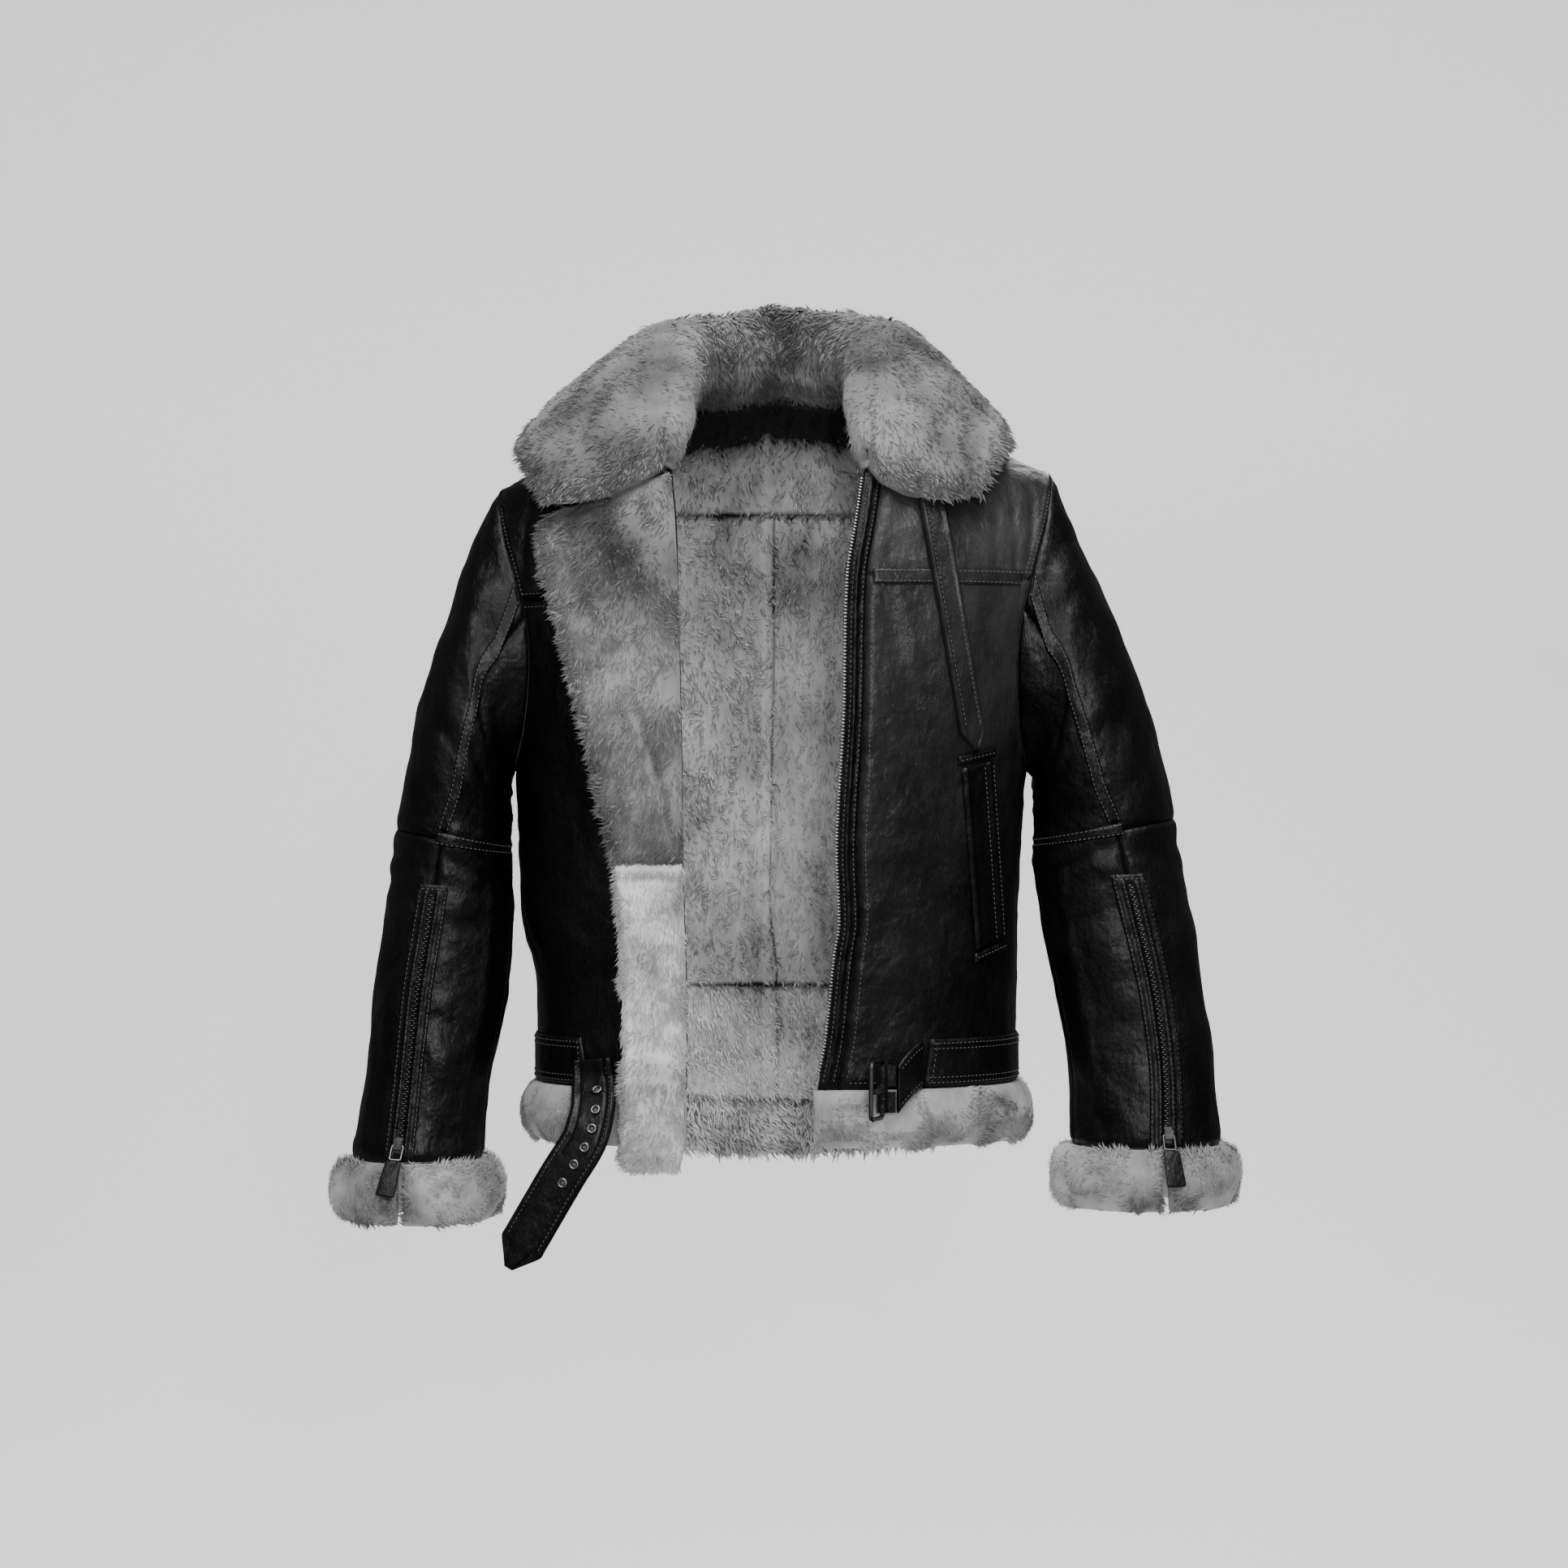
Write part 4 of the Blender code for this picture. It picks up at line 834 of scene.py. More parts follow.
def spread_matrix(coarse: int, fine: int) -> np.ndarray:
    """Weights that read a smooth curve through coarse samples at fine steps.

    Args:
        coarse: Number of coarse steps.
        fine: Number of fine steps.

    Returns:
        A matrix of fine + 1 rows and coarse + 1 columns.
    """
    weights = np.zeros((fine + 1, coarse + 1))
    for row in range(fine + 1):
        place = row * coarse / fine
        cell = min(int(place), coarse - 1)
        t = place - cell
        cubic = (
            -0.5 * t + t * t - 0.5 * t**3, 1 - 2.5 * t * t + 1.5 * t**3, 0.5 * t + 2 * t * t - 1.5 * t**3,
            -0.5 * t * t + 0.5 * t**3
        )
        for step, weight in zip((-1, 0, 1, 2), cubic):
            index = cell + step
            if index < 0:
                weights[row, 0] += 2 * weight
                weights[row, 1] -= weight
            elif index > coarse:
                weights[row, coarse] += 2 * weight
                weights[row, coarse - 1] -= weight
            else:
                weights[row, index] += weight
    return weights


def speckle(across: np.ndarray, along: np.ndarray, seed: int) -> np.ndarray:
    """Smooth random values from -1 to 1, one cell to a unit of both coordinates.

    Args:
        across: First coordinate.
        along: Second coordinate.
        seed: Seed of the random grid.

    Returns:
        Values of the same shape.
    """
    grid = np.random.default_rng(seed).uniform(-1.0, 1.0, (67, 71))
    column = np.floor(across).astype(int)
    row = np.floor(along).astype(int)
    right = across - column
    up = along - row
    right = right * right * (3 - 2 * right)
    up = up * up * (3 - 2 * up)
    low = grid[row % 67, column % 71] * (1 - right) + grid[row % 67, (column + 1) % 71] * right
    high = (
        grid[(row + 1) % 67, column % 71] * (1 - right) + grid[(row + 1) % 67, (column + 1) % 71] * right
    )
    return low * (1 - up) + high * up


def smooth_step(value: np.ndarray, low: float, high: float) -> np.ndarray:
    """0 below low, 1 above high and smooth between."""
    part = np.clip((value - low) / (high - low), 0.0, 1.0)
    return part * part * (3 - 2 * part)


@dataclass(frozen=True)
class Crease:
    """A soft trough, or a ridge where its depth is negative, along a line of a panel."""

    start: tuple[float, float]
    end: tuple[float, float]
    half_width: float
    depth: float

    def height(self, skin: Skin) -> np.ndarray:
        """The crease's height over a skin in millimetres, negative in a trough."""
        scale = np.array((skin.width, skin.length))
        first = np.array(self.start) * scale
        last = np.array(self.end) * scale
        line = last - first
        length = np.linalg.norm(line)
        right = skin.across * skin.width - first[0]
        up = skin.along * skin.length - first[1]
        part = np.clip((right * line[0] + up * line[1]) / length**2, -0.2, 1.2)
        gap = np.hypot(right - part * line[0], up - part * line[1])
        fade = np.clip(np.sin(np.pi * np.clip((part + 0.15) / 1.3, 0, 1)), 0, 1) ** 0.7
        return -self.depth * fade * np.exp(-((gap / self.half_width) ** 2))


def crease_rows(*rows: Sequence[float]) -> tuple[Crease, ...]:
    """Creases from rows of start and end, each across and along, half width and depth."""
    return tuple(Crease(row[:2], row[2:4], *row[4:]) for row in rows)


def press(outer: np.ndarray, skin: Skin, lines: Sequence[Crease], share: float | np.ndarray = 1.0) -> None:
    """Work creases into a skin's outer heights.

    Args:
        outer: The heights, changed in place.
        skin: The skin.
        lines: The creases.
        share: How fully they show.
    """
    for crease in lines:
        outer += crease.height(skin) * share


class Skin:
    """A patch of the form sampled finely, with its normals and real size."""

    def __init__(self, patch: Patch, columns: int, rows: int, turn: int, coarse: tuple[int, int]) -> None:
        """Sample the patch.

        Args:
            patch: The form's patch in millimetres.
            columns: Fine columns.
            rows: Fine rows.
            turn: 1 or -1, the outer side of the patch.
            coarse: Columns and rows at which the patch itself is read.
        """
        self.columns = columns
        self.rows = rows
        wide, tall = coarse
        read_at = [[patch(c / wide, r / tall) for c in range(wide + 1)] for r in range(tall + 1)]
        samples = np.array([[tuple(point) for point in row] for row in read_at])
        along = spread_matrix(tall, rows)
        across = spread_matrix(wide, columns)
        self.points = np.einsum("ir,rck,jc->ijk", along, samples, across)
        side = np.gradient(self.points, axis=1)
        rise = np.gradient(self.points, axis=0)
        cross = np.cross(side, rise)
        self.normals = cross / np.maximum(np.linalg.norm(cross, axis=2, keepdims=True), 1e-9) * turn
        self.side = side / np.maximum(np.linalg.norm(side, axis=2, keepdims=True), 1e-9)
        self.rise = rise / np.maximum(np.linalg.norm(rise, axis=2, keepdims=True), 1e-9)
        self.width = float(np.linalg.norm(side, axis=2).sum(axis=1).mean())
        self.length = float(np.linalg.norm(rise, axis=2).sum(axis=0).mean())
        self.cell_area = np.linalg.norm(cross, axis=2)[:-1, :-1]
        self.across, self.along = np.meshgrid(np.linspace(0, 1, columns + 1), np.linspace(0, 1, rows + 1))

    def edge_gap(self) -> np.ndarray:
        """Distance in millimetres from each point to the nearest edge."""
        sideways = np.minimum(self.across, 1 - self.across) * self.width
        upward = np.minimum(self.along, 1 - self.along) * self.length
        return np.minimum(sideways, upward)


def placed(name: str, tool: bmesh.types.BMesh, finishes: Sequence[bpy.types.Material]) -> bpy.types.Object:
    """Turn a bmesh into a piece at the origin.

    Args:
        name: The piece's name.
        tool: The bmesh, which is freed.
        finishes: Its materials.

    Returns:
        The piece.
    """
    mesh = bpy.data.meshes.new(name)
    tool.to_mesh(mesh)
    tool.free()
    mesh.shade_smooth()
    piece = bpy.data.objects.new(name, mesh)
    for finish in finishes:
        mesh.materials.append(finish)
    bpy.context.scene.collection.objects.link(piece)
    return piece


def shell(
    name: str, node: str, slot: Slot, skin: Skin, outer: np.ndarray, inner: np.ndarray,
    finishes: Sequence[bpy.types.Material], tone: float | np.ndarray = 0.35
) -> None:
    """A closed wall over a skin, in place of its node.

    Args:
        name: The piece's name.
        node: The node that it stands for.
        slot: The record's slot.
        skin: The sampled patch.
        outer: Height of the outer side over the patch, in millimetres.
        inner: Height of the inner side, in millimetres.
        finishes: One material, or the outer and the inner side's.
        tone: Wool tone kept on the mesh, carrying painted shade and painted light where the caller works
            them in.
    """
    tool = bmesh.new()
    bmesh.ops.create_grid(tool, x_segments=skin.columns, y_segments=skin.rows, size=0.5)
    bmesh.ops.solidify(tool, geom=tool.faces[:], thickness=1.0)
    for face in tool.faces:
        if len(finishes) > 1 and all(abs(vertex.co.z) > 0.5 for vertex in face.verts):
            face.material_index = 1
    high = (skin.points + skin.normals * outer[:, :, None]) * MM
    low = (skin.points + skin.normals * inner[:, :, None]) * MM
    tone_grid = np.broadcast_to(tone, skin.across.shape)
    tones = []
    for vertex in tool.verts:
        column = round((vertex.co.x + 0.5) * skin.columns)
        row = round((vertex.co.y + 0.5) * skin.rows)
        vertex.co = (low if abs(vertex.co.z) > 0.5 else high)[row, column]
        tones.append(tone_grid[row, column])
    if tool.calc_volume(signed=True) < 0:
        bmesh.ops.reverse_faces(tool, faces=tool.faces[:])
    piece = placed(name, tool, finishes)
    layer = piece.data.attributes.new("tone", "FLOAT", "POINT")
    layer.data.foreach_set("value", np.array(tones, np.float32))
    dressed(piece, slot, node)


# Wool locks

Comb = Callable[[np.ndarray, np.ndarray], tuple[np.ndarray, np.ndarray]]


def lock_shape(bent: bool) -> tuple[np.ndarray, np.ndarray, np.ndarray]:
    """A small tapered lock along Z from 0 to 1.

    Args:
        bent: Whether it has a middle ring, so that it can curl.

    Returns:
        Its vertices, the vertices of its faces in a row, and each face's start in that row.
    """
    tool = bmesh.new()
    bmesh.ops.create_cone(tool, cap_ends=True, segments=3, radius1=1.0, radius2=0.0, depth=1.0)
    if bent:
        everything = tool.verts[:] + tool.edges[:] + tool.faces[:]
        bmesh.ops.bisect_plane(tool, geom=everything, plane_co=(0, 0, -0.1), plane_no=(0, 0, 1))
    bmesh.ops.recalc_face_normals(tool, faces=tool.faces[:])
    tool.verts.index_update()
    spots = np.array([tuple(vertex.co) for vertex in tool.verts])
    spots[:, 2] += 0.5
    middle = np.abs(spots[:, 2] - 0.4) < 0.05
    spots[middle, :2] *= 1.45
    corners = [vertex.index for face in tool.faces for vertex in face.verts]
    starts = np.cumsum([0] + [len(face.verts) for face in tool.faces])[:-1]
    tool.free()
    return spots, np.array(corners), starts


@dataclass(frozen=True)
class Locks:
    """How a piece's wool grows: sizes in millimetres, angles in degrees."""

    count: int
    seed: int
    length: float = 8.0
    width: float = 2.6
    lift: float = 24.0
    clump: float = 16.0
    swirl: float = 55.0
    curl: float = 0.8
    spread: float = 0.45
    bent: bool = False
    root_depth: float = 1.2
    scatter: float = 0.22

    def grow(
        self, name: str, skin: Skin, base: np.ndarray, comb: Comb, finish: bpy.types.Material,
        density: np.ndarray | None = None, shade: np.ndarray | None = None
    ) -> None:
        """Scatter the locks over a skin and join them into a piece.

        Args:
            name: The piece's name.
            skin: The skin they grow from.
            base: Height of their roots over it.
            comb: Direction they lie in, across and along, by place.
            finish: The wool.
            density: Weight of each point of the skin, if it isn't even.
            shade: Painted shade, how much darker the wool is painted at each point; painted light where
                negative.
        """
        draw = np.random.default_rng(self.seed)
        weight = skin.cell_area.copy()
        if density is not None:
            weight *= density[:-1, :-1]
        chosen = draw.choice(weight.size, self.count, p=(weight / weight.sum()).ravel())
        row, column = np.unravel_index(chosen, weight.shape)
        up = draw.random(self.count)
        right = draw.random(self.count)

        def reading(values: np.ndarray) -> np.ndarray:
            """Values of the skin at the roots."""
            if values.ndim == 3:
                return between(values, row, column, up[:, None], right[:, None])
            return between(values, row, column, up, right)

        across = reading(skin.across)
        along = reading(skin.along)
        normal = unit(reading(skin.normals))
        side = unit(reading(skin.side))
        rise = unit(np.cross(np.cross(side, reading(skin.rise)), side))
        root = reading(skin.points) + normal * (reading(base) - self.root_depth)[:, None]
        place = (across * skin.width / self.clump, along * skin.length / self.clump)
        sideways, upward = comb(across, along)
        heading = np.arctan2(upward, sideways)
        heading += np.radians(self.swirl) * speckle(*place, self.seed + 1)
        heading += draw.normal(0.0, self.scatter, self.count)
        lean = side * np.cos(heading)[:, None] + rise * np.sin(heading)[:, None]
        flat = np.cross(normal, lean)
        clumped = speckle(place[0] * 1.6, place[1] * 1.6, self.seed + 2)
        size = self.length * (1 + self.spread * draw.uniform(-1, 1, self.count) + 0.2 * clumped)
        breadth = self.width * draw.uniform(0.7, 1.3, self.count) / 2
        angle = np.radians(self.lift) * (1 + 0.5 * draw.uniform(-1, 1, self.count) + 0.3 * clumped)
        phase = draw.uniform(0, 2 * math.pi, self.count)
        spots, corners, starts = lock_shape(self.bent)
        station = spots[:, 2][None, :, None]
        reach = (size * np.cos(angle))[:, None, None] * station * lean[:, None, :]
        arch = (size * np.sin(angle))[:, None, None] * station * (1.9 - 0.9 * station) * normal[:, None, :]
        wave = self.curl * np.sin(phase[:, None] + 3.4 * spots[:, 2][None, :])
        wave = wave[:, :, None] * station * flat[:, None, :]
        body = breadth[:, None, None] * (
            spots[:, 0][None, :, None] * flat[:, None, :]
            + 0.6 * spots[:, 1][None, :, None] * normal[:, None, :]
        )
        points = (root[:, None, :] + reach + arch + wave + body) * MM
        patch_tone = 0.32 + 0.14 * clumped + 0.19 * draw.uniform(-1, 1, self.count)
        # Less the painted shade given for the piece, painted light where it is negative.
        if shade is not None:
            patch_tone -= reading(shade)
        # Painted shade: each lock darker at its root than at its tip.
        tone = patch_tone[:, None] + 0.34 * spots[:, 2][None, :]
        dressed(joined(name, points, tone, corners, starts, finish), Slot.FLEECE)


def between(
    values: np.ndarray, row: int | np.ndarray, column: int | np.ndarray, up: float | np.ndarray,
    right: float | np.ndarray
) -> np.ndarray:
    """Values of a grid between its points.

    Args:
        values: The grid.
        row: Row or rows below the places.
        column: Column or columns before them.
        up: Share of the way to the next row.
        right: Share of the way to the next column.

    Returns:
        The values there.
    """
    low = values[row, column] * (1 - right) + values[row, column + 1] * right
    high = values[row + 1, column] * (1 - right) + values[row + 1, column + 1] * right
    return low * (1 - up) + high * up


def unit(vectors: np.ndarray) -> np.ndarray:
    """Vectors of length one."""
    return vectors / np.maximum(np.linalg.norm(vectors, axis=-1, keepdims=True), 1e-9)


def joined(
    name: str, points: np.ndarray, tone: np.ndarray, corners: np.ndarray, starts: np.ndarray,
    finish: bpy.types.Material
) -> bpy.types.Object:
    """One mesh of many copies of a small shape.

    Args:
        name: The piece's name.
        points: Vertices of each copy, copies first.
        tone: Tone of each vertex.
        corners: The small shape's face corners in a row.
        starts: Where each of its faces starts in that row.
        finish: The material.

    Returns:
        The piece.
    """
    copies, size, _ = points.shape
    mesh = bpy.data.meshes.new(name)
    mesh.vertices.add(copies * size)
    mesh.loops.add(copies * len(corners))
    mesh.polygons.add(copies * len(starts))
    order = np.arange(copies)[:, None]
    mesh.vertices.foreach_set("co", points.astype(np.float32).ravel())
    mesh.loops.foreach_set("vertex_index", (corners[None, :] + order * size).astype(np.int32).ravel())
    face_starts = starts[None, :] + order * len(corners)
    mesh.polygons.foreach_set("loop_start", face_starts.astype(np.int32).ravel())
    mesh.update(calc_edges=True)
    mesh.shade_smooth()
    layer = mesh.attributes.new("tone", "FLOAT", "POINT")
    layer.data.foreach_set("value", tone.astype(np.float32).ravel())
    mesh.materials.append(finish)
    piece = bpy.data.objects.new(name, mesh)
    bpy.context.scene.collection.objects.link(piece)
    return piece


def toward_ends(across: np.ndarray, reach: float) -> np.ndarray:
    """1 at the first end, -1 at the last and 0 between, by share across."""
    return np.clip(1 - across / reach, 0, 1) - np.clip(1 - (1 - across) / reach, 0, 1)


def rounded(skin: Skin) -> np.ndarray:
    """Fullness of a fur band from edge to edge."""
    return np.clip(np.sin(np.pi * skin.along), 0, 1) ** 0.6


def side_gap(skin: Skin) -> np.ndarray:
    """Share of the width from each point to the nearer side edge."""
    return np.minimum(skin.across, 1 - skin.across)


def strap_swell(gap: np.ndarray) -> np.ndarray:
    """Thickness share of a strap that thins at its long edges, by millimetres from them."""
    return 0.5 + 0.5 * smooth_step(gap, 0.0, 1.5)


def even_comb(sideways: float, upward: float) -> Comb:
    """A comb direction that is the same everywhere."""
    return lambda across, along: (np.full_like(across, sideways), np.full_like(across, upward))


def fluff(skin: Skin, seed: int, size: float, depth: float) -> np.ndarray:
    """Soft lumps over a skin.

    Args:
        skin: The skin.
        seed: Seed of the lumps.
        size: Their width in millimetres.
        depth: Their height in millimetres.

    Returns:
        Heights in millimetres.
    """
    across = skin.across * skin.width / size
    along = skin.along * skin.length / size
    return depth * (speckle(across, along, seed) + 0.5 * speckle(across * 2.1, along * 2.1, seed + 1))


def seam_roll(skin: Skin, dip: float = 1.3, puff: float = 0.8) -> np.ndarray:
    """Leather that dips into its seams and puckers up beside the stitching."""
    gap = skin.edge_gap()
    pucker = 1.0 + 0.9 * speckle(skin.across * skin.width / 9.0, skin.along * skin.length / 9.0, 17)
    return puff * pucker * np.exp(-(((gap - 7.5) / 4.0) ** 2)) - dip * np.exp(-((gap / 2.4) ** 2))


def painted_neck_shade(skin: Skin) -> np.ndarray:
    """How much darker the wool is painted under the collar, where its shadow falls, and down in its seams:
    painted shade, less a painted highlight on a ridge beside the centre back.
    """
    height = skin.points[:, :, 2]
    # Painted shade down in the seams' grooves.
    seam = 0.5 * np.exp(-((skin.edge_gap() / 2.6) ** 2))
    # Painted highlight on a ridge beside the centre back.
    ridge = 0.16 * np.exp(-(((skin.points[:, :, 0] + 8.0) / 5.0) ** 2))
    # Painted shadow under the collar, black at the neck and fading far down the back.
    painted_collar_shadow = 1.2 * smooth_step(height, 26.0, 92.0) + 0.35 * smooth_step(height, -25.0, 45.0)
    return painted_collar_shadow + seam - ridge


@dataclass(frozen=True)
class Cut:
    """The flat piece that a sheet was cut as: metres and square metres."""

    width: float
    length: float
    area: float
    held: str
    on: str


def dressed(piece: bpy.types.Object, slot: Slot, *nodes: str, body: str = ROOT) -> bpy.types.Object:
    """Give a piece its body and hide the nodes that it stands for."""
    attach(piece, body)
    if nodes:
        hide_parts(*nodes)
    LOG.info("%s: %d faces", piece.name, len(piece.data.polygons))
    return piece


# The body


# The left yoke and front panel take the leather with the painted highlight.
PAINTED_HIGHLIGHT_PANELS = ("front_yoke_left", "front_panel_left")
# The collar strap and the yoke tape take a lighter leather with a painted highlight.
PAINTED_HIGHLIGHT_TRIMS = ("collar_strap", "yoke_tape_left")


@dataclass(frozen=True)
class Panel:
    """One cut piece of leather with its patch of the form and its creases."""

    name: str
    patch: Patch
    grid: tuple[int, int]
    coarse: tuple[int, int]
    turn: int
    seed: int
    creases: tuple[Crease, ...] = ()
    wall: float = 10.0
    lumps: float = 0.8

    def dress(self, wardrobe: Wardrobe) -> Skin:
        """Build the panel, leather outside and wool inside.

        Args:
            wardrobe: The finishes.

        Returns:
            The panel's sampled skin.
        """
        skin = Skin(self.patch, *self.grid, self.turn, self.coarse)
        outer = fluff(skin, self.seed, 48.0, self.lumps) + fluff(skin, self.seed + 7, 17.0, 0.22)
        outer *= smooth_step(skin.edge_gap(), 0.0, 16.0)
        outer += seam_roll(skin)
        press(outer, skin, self.creases)
        inner = np.full_like(outer, -self.wall)
        # The upper left front panels take the leather with a painted highlight.
        outside = wardrobe.painted_chest_highlight if self.name in PAINTED_HIGHLIGHT_PANELS else wardrobe.leather
        finishes = (outside, wardrobe.lining)
        # The lining side's tone carries the painted shade under the collar and in the seams.
        tone = 0.4 - painted_neck_shade(skin)
        shell(f"{self.name}_hide", self.name, Slot.LEATHER, skin, outer, inner, finishes, tone)
        return skin


@dataclass(frozen=True)
class Front:
    """Both fronts: yokes, panels, the zip facing and the turned-back edge."""

    # Height, distance from the centre
    zip_edge: Table = (
        (-600, 32), (-573, 33), (-525, 38), (-485, 46), (-410, 54), (-384, 58), (-317, 56), (-205, 62),
        (-87, 65), (-38, 73), (10, 80), (60, 86)
    )
    fold_edge: Table = (
        (-610, -77), (-459, -75), (-331, -78), (-234, -79), (-101, -82), (-36, -85), (10, -90), (60, -92)
    )
    lapel_edge: Table = (
        (-610, -124), (-459, -126), (-331, -133), (-257, -148), (-175, -167), (-118, -182), (-81, -192),
        (-52, -197), (-20, -182), (10, -168)
    )
    facing: float = 15.0
    facing_gap: float = 0.8
    facing_wall: float = 6.0
    left_seam: float = -86.0
    right_seam: float = -105.0
    neck: float = 8.0
    neck_start: float = 36.0
    neck_climb: float = 40.0
    fold_roll: float = 1.5
    lapel_break: float = -331.0
    lapel_bottom: float = -594.0
    lapel_top: tuple[float, float] = (-30.0, 2.0)
    lapel_skin: float = 4.0
    lapel_wool: float = 11.0
    lapel_rim: float = 0.17
    rise_start: float = -490.0
    rise_height: float = 28.0
    under_lapel: float = 6.0
    upper_dents: tuple[Crease, ...] = crease_rows(
        (0.62, 0.42, 0.93, 0.04, 4.5, 5.0), (0.72, 0.97, 0.84, 0.86, 7.0, 5.0)
    )
    lower_dents: tuple[Crease, ...] = crease_rows(
        (0.0, 0.985, 1.0, 0.985, 3.5, -2.6), (0.0, 0.955, 1.0, 0.955, 2.6, 2.0)
    )
    laid_gap: float = 0.8

    def edge_angle(self, table: Table, beside: float = 0.0) -> Edge:
        """Angle of an edge by height, from one of the tables."""
        return lambda height: TORSO.angle_at(read(table, height)[0] + beside, height)

    def neck_edge(self, hand: int) -> Callable[[float, float], float]:
        """A yoke's neck edge, up from the front edge to the shoulder line."""
        beside = self.facing + self.facing_gap
        front = self.edge_angle(self.zip_edge, beside) if hand > 0 else self.edge_angle(self.fold_edge)

        def edge(turn: float, angle: float) -> float:
            """Angle of the edge at a turn."""
            ridge = TORSO.ridge(TORSO.top_half_width * TORSO.across_share(angle))
            height = ridge - TORSO.ease(turn)[0]
            climb = max(0.0, min(1.0, (height - self.neck_start) / self.neck_climb))
            end = TORSO.angle_at(TORSO.neck_half_width * hand, height)
            return mix(front(min(height, self.neck_start)), end, climb)

        return edge

    def panels(self) -> tuple[Panel, ...]:
        """The leather pieces of both fronts."""
        low = constant(TORSO.hem)
        side = TORSO.underarm
        gap = TORSO.seam_gap

        def spread(left: Edge, right: Edge) -> Callable:
            """Columns spread evenly between two edges."""
            return lambda across, height: mix(left(height), right(height), across)

        panel_edge = self.edge_angle(self.zip_edge, self.facing + self.facing_gap)
        return (
            Panel(
                "front_yoke_left",
                TORSO.yoke_panel(
                    -1, self.left_seam + gap, self.neck_edge(1), TORSO.trimmed_armhole(1), constant(0.0)
                ),
                (48, 44), (16, 14), 1, 11,
                crease_rows(
                    (0.86, 0.02, 0.66, 0.5, 5.0, 2.4), (0.95, 0.08, 0.82, 0.55, 4.5, 2.2),
                    (0.72, 0.0, 0.6, 0.3, 4.0, 1.3), (0.8, 0.0, 0.76, 0.36, 3.5, -1.2),
                    (0.2, 0.1, 0.5, 0.25, 9.0, 1.2)
                )
            ),
            Panel(
                "front_panel_left",
                TORSO.level_panel(
                    -1, low, ((0.6, side), (1.0, self.left_seam)),
                    spread(panel_edge, lambda height: TORSO.side_angle(1, height))
                ),
                (44, 92), (16, 30), 1, 23,
                crease_rows(
                    (0.1, 0.98, 0.22, 0.72, 9.0, 1.8), (0.36, 0.96, 0.42, 0.66, 10.0, -1.7),
                    (0.62, 0.7, 0.3, 0.52, 12.0, 1.3), (0.12, 0.4, 0.55, 0.3, 12.0, 1.4),
                    (0.8, 0.3, 0.5, 0.14, 10.0, 1.2), (0.92, 0.62, 0.9, 0.2, 8.0, 1.6)
                )
            ),
            Panel(
                "zip_facing_left",
                TORSO.level_panel(
                    -1, low, ((9 / 19, side), (15 / 19, self.left_seam), (1.0, self.neck)),
                    spread(self.edge_angle(self.zip_edge), self.edge_angle(self.zip_edge, self.facing))
                ),
                (12, 110), (4, 38), 1, 31,
                crease_rows((0.42, 0.0, 0.42, 1.0, 1.9, -1.7), (0.68, 0.0, 0.68, 1.0, 1.3, 1.1)),
                self.facing_wall, 0.3
            ),
            Panel(
                "front_yoke_right",
                TORSO.yoke_panel(
                    -1, self.right_seam + gap, TORSO.trimmed_armhole(-1), self.neck_edge(-1),
                    constant(0.0)
                ),
                (48, 44), (16, 14), 1, 41,
                crease_rows((0.06, 0.1, 0.26, 0.5, 5.0, 2.2), (0.16, 0.02, 0.34, 0.32, 5.0, 1.8))
            ),
            Panel(
                "front_panel_right",
                TORSO.level_panel(
                    -1, low, ((0.6, side), (1.0, self.right_seam)),
                    spread(lambda height: TORSO.side_angle(-1, height), self.edge_angle(self.fold_edge))
                ),
                (40, 86), (14, 30), 1, 53,
                crease_rows(
                    (0.08, 0.62, 0.3, 0.38, 11.0, 1.9), (0.06, 0.4, 0.26, 0.2, 10.0, 1.6),
                    (0.3, 0.95, 0.34, 0.6, 11.0, -1.5)
                )
            )
        )

    def lapel_patch(self, low: float, high: Edge) -> Patch:
        """A piece of the turned-back front between two heights."""
        edge = self.edge_angle(self.lapel_edge)
        fold = self.edge_angle(self.fold_edge, self.fold_roll)

        def patch(across: float, along: float) -> Vector:
            """Point under the turned-back front."""
            height = mix(low, high(across), along)
            angle = mix(edge(height), fold(height), across)
            return TORSO.point(-1, angle, TORSO.turn_at(angle, height))

        return patch

    def dress_lapel(self, wardrobe: Wardrobe) -> None:
        """The turned-back front in two pieces, wool side out."""
        patch = self.lapel_patch(self.lapel_break + TORSO.seam_gap, lambda a: mix(*self.lapel_top, a))
        skin = Skin(patch, 44, 96, 1, (14, 26))
        rim = fur_edge(skin, self.lapel_rim)
        ragged = 5.0 * speckle(skin.along * 34, skin.along * 0, 61) * np.clip(1 - skin.across / 0.1, 0, 1)
        skin.points += skin.side * -np.abs(ragged)[:, :, None] * 0.6
        outer = self.laid_gap + self.lapel_skin + self.lapel_wool * rim
        outer += fluff(skin, 63, 21.0, 1.5) * rim
        press(outer, skin, self.upper_dents, rim)
        inner = np.full_like(outer, self.laid_gap)
        finishes = (wardrobe.lapel, wardrobe.leather)
        shell("lapel_upper_wool", "lapel_upper", Slot.FLEECE, skin, outer, inner, finishes, 0.42)

        def comb(across: np.ndarray, along: np.ndarray) -> tuple[np.ndarray, np.ndarray]:
            """Down the front, and out over the free edge."""
            near = np.clip(1 - across / 0.2, 0, 1)
            return -0.25 - 1.5 * near, -0.9 + 0.35 * near

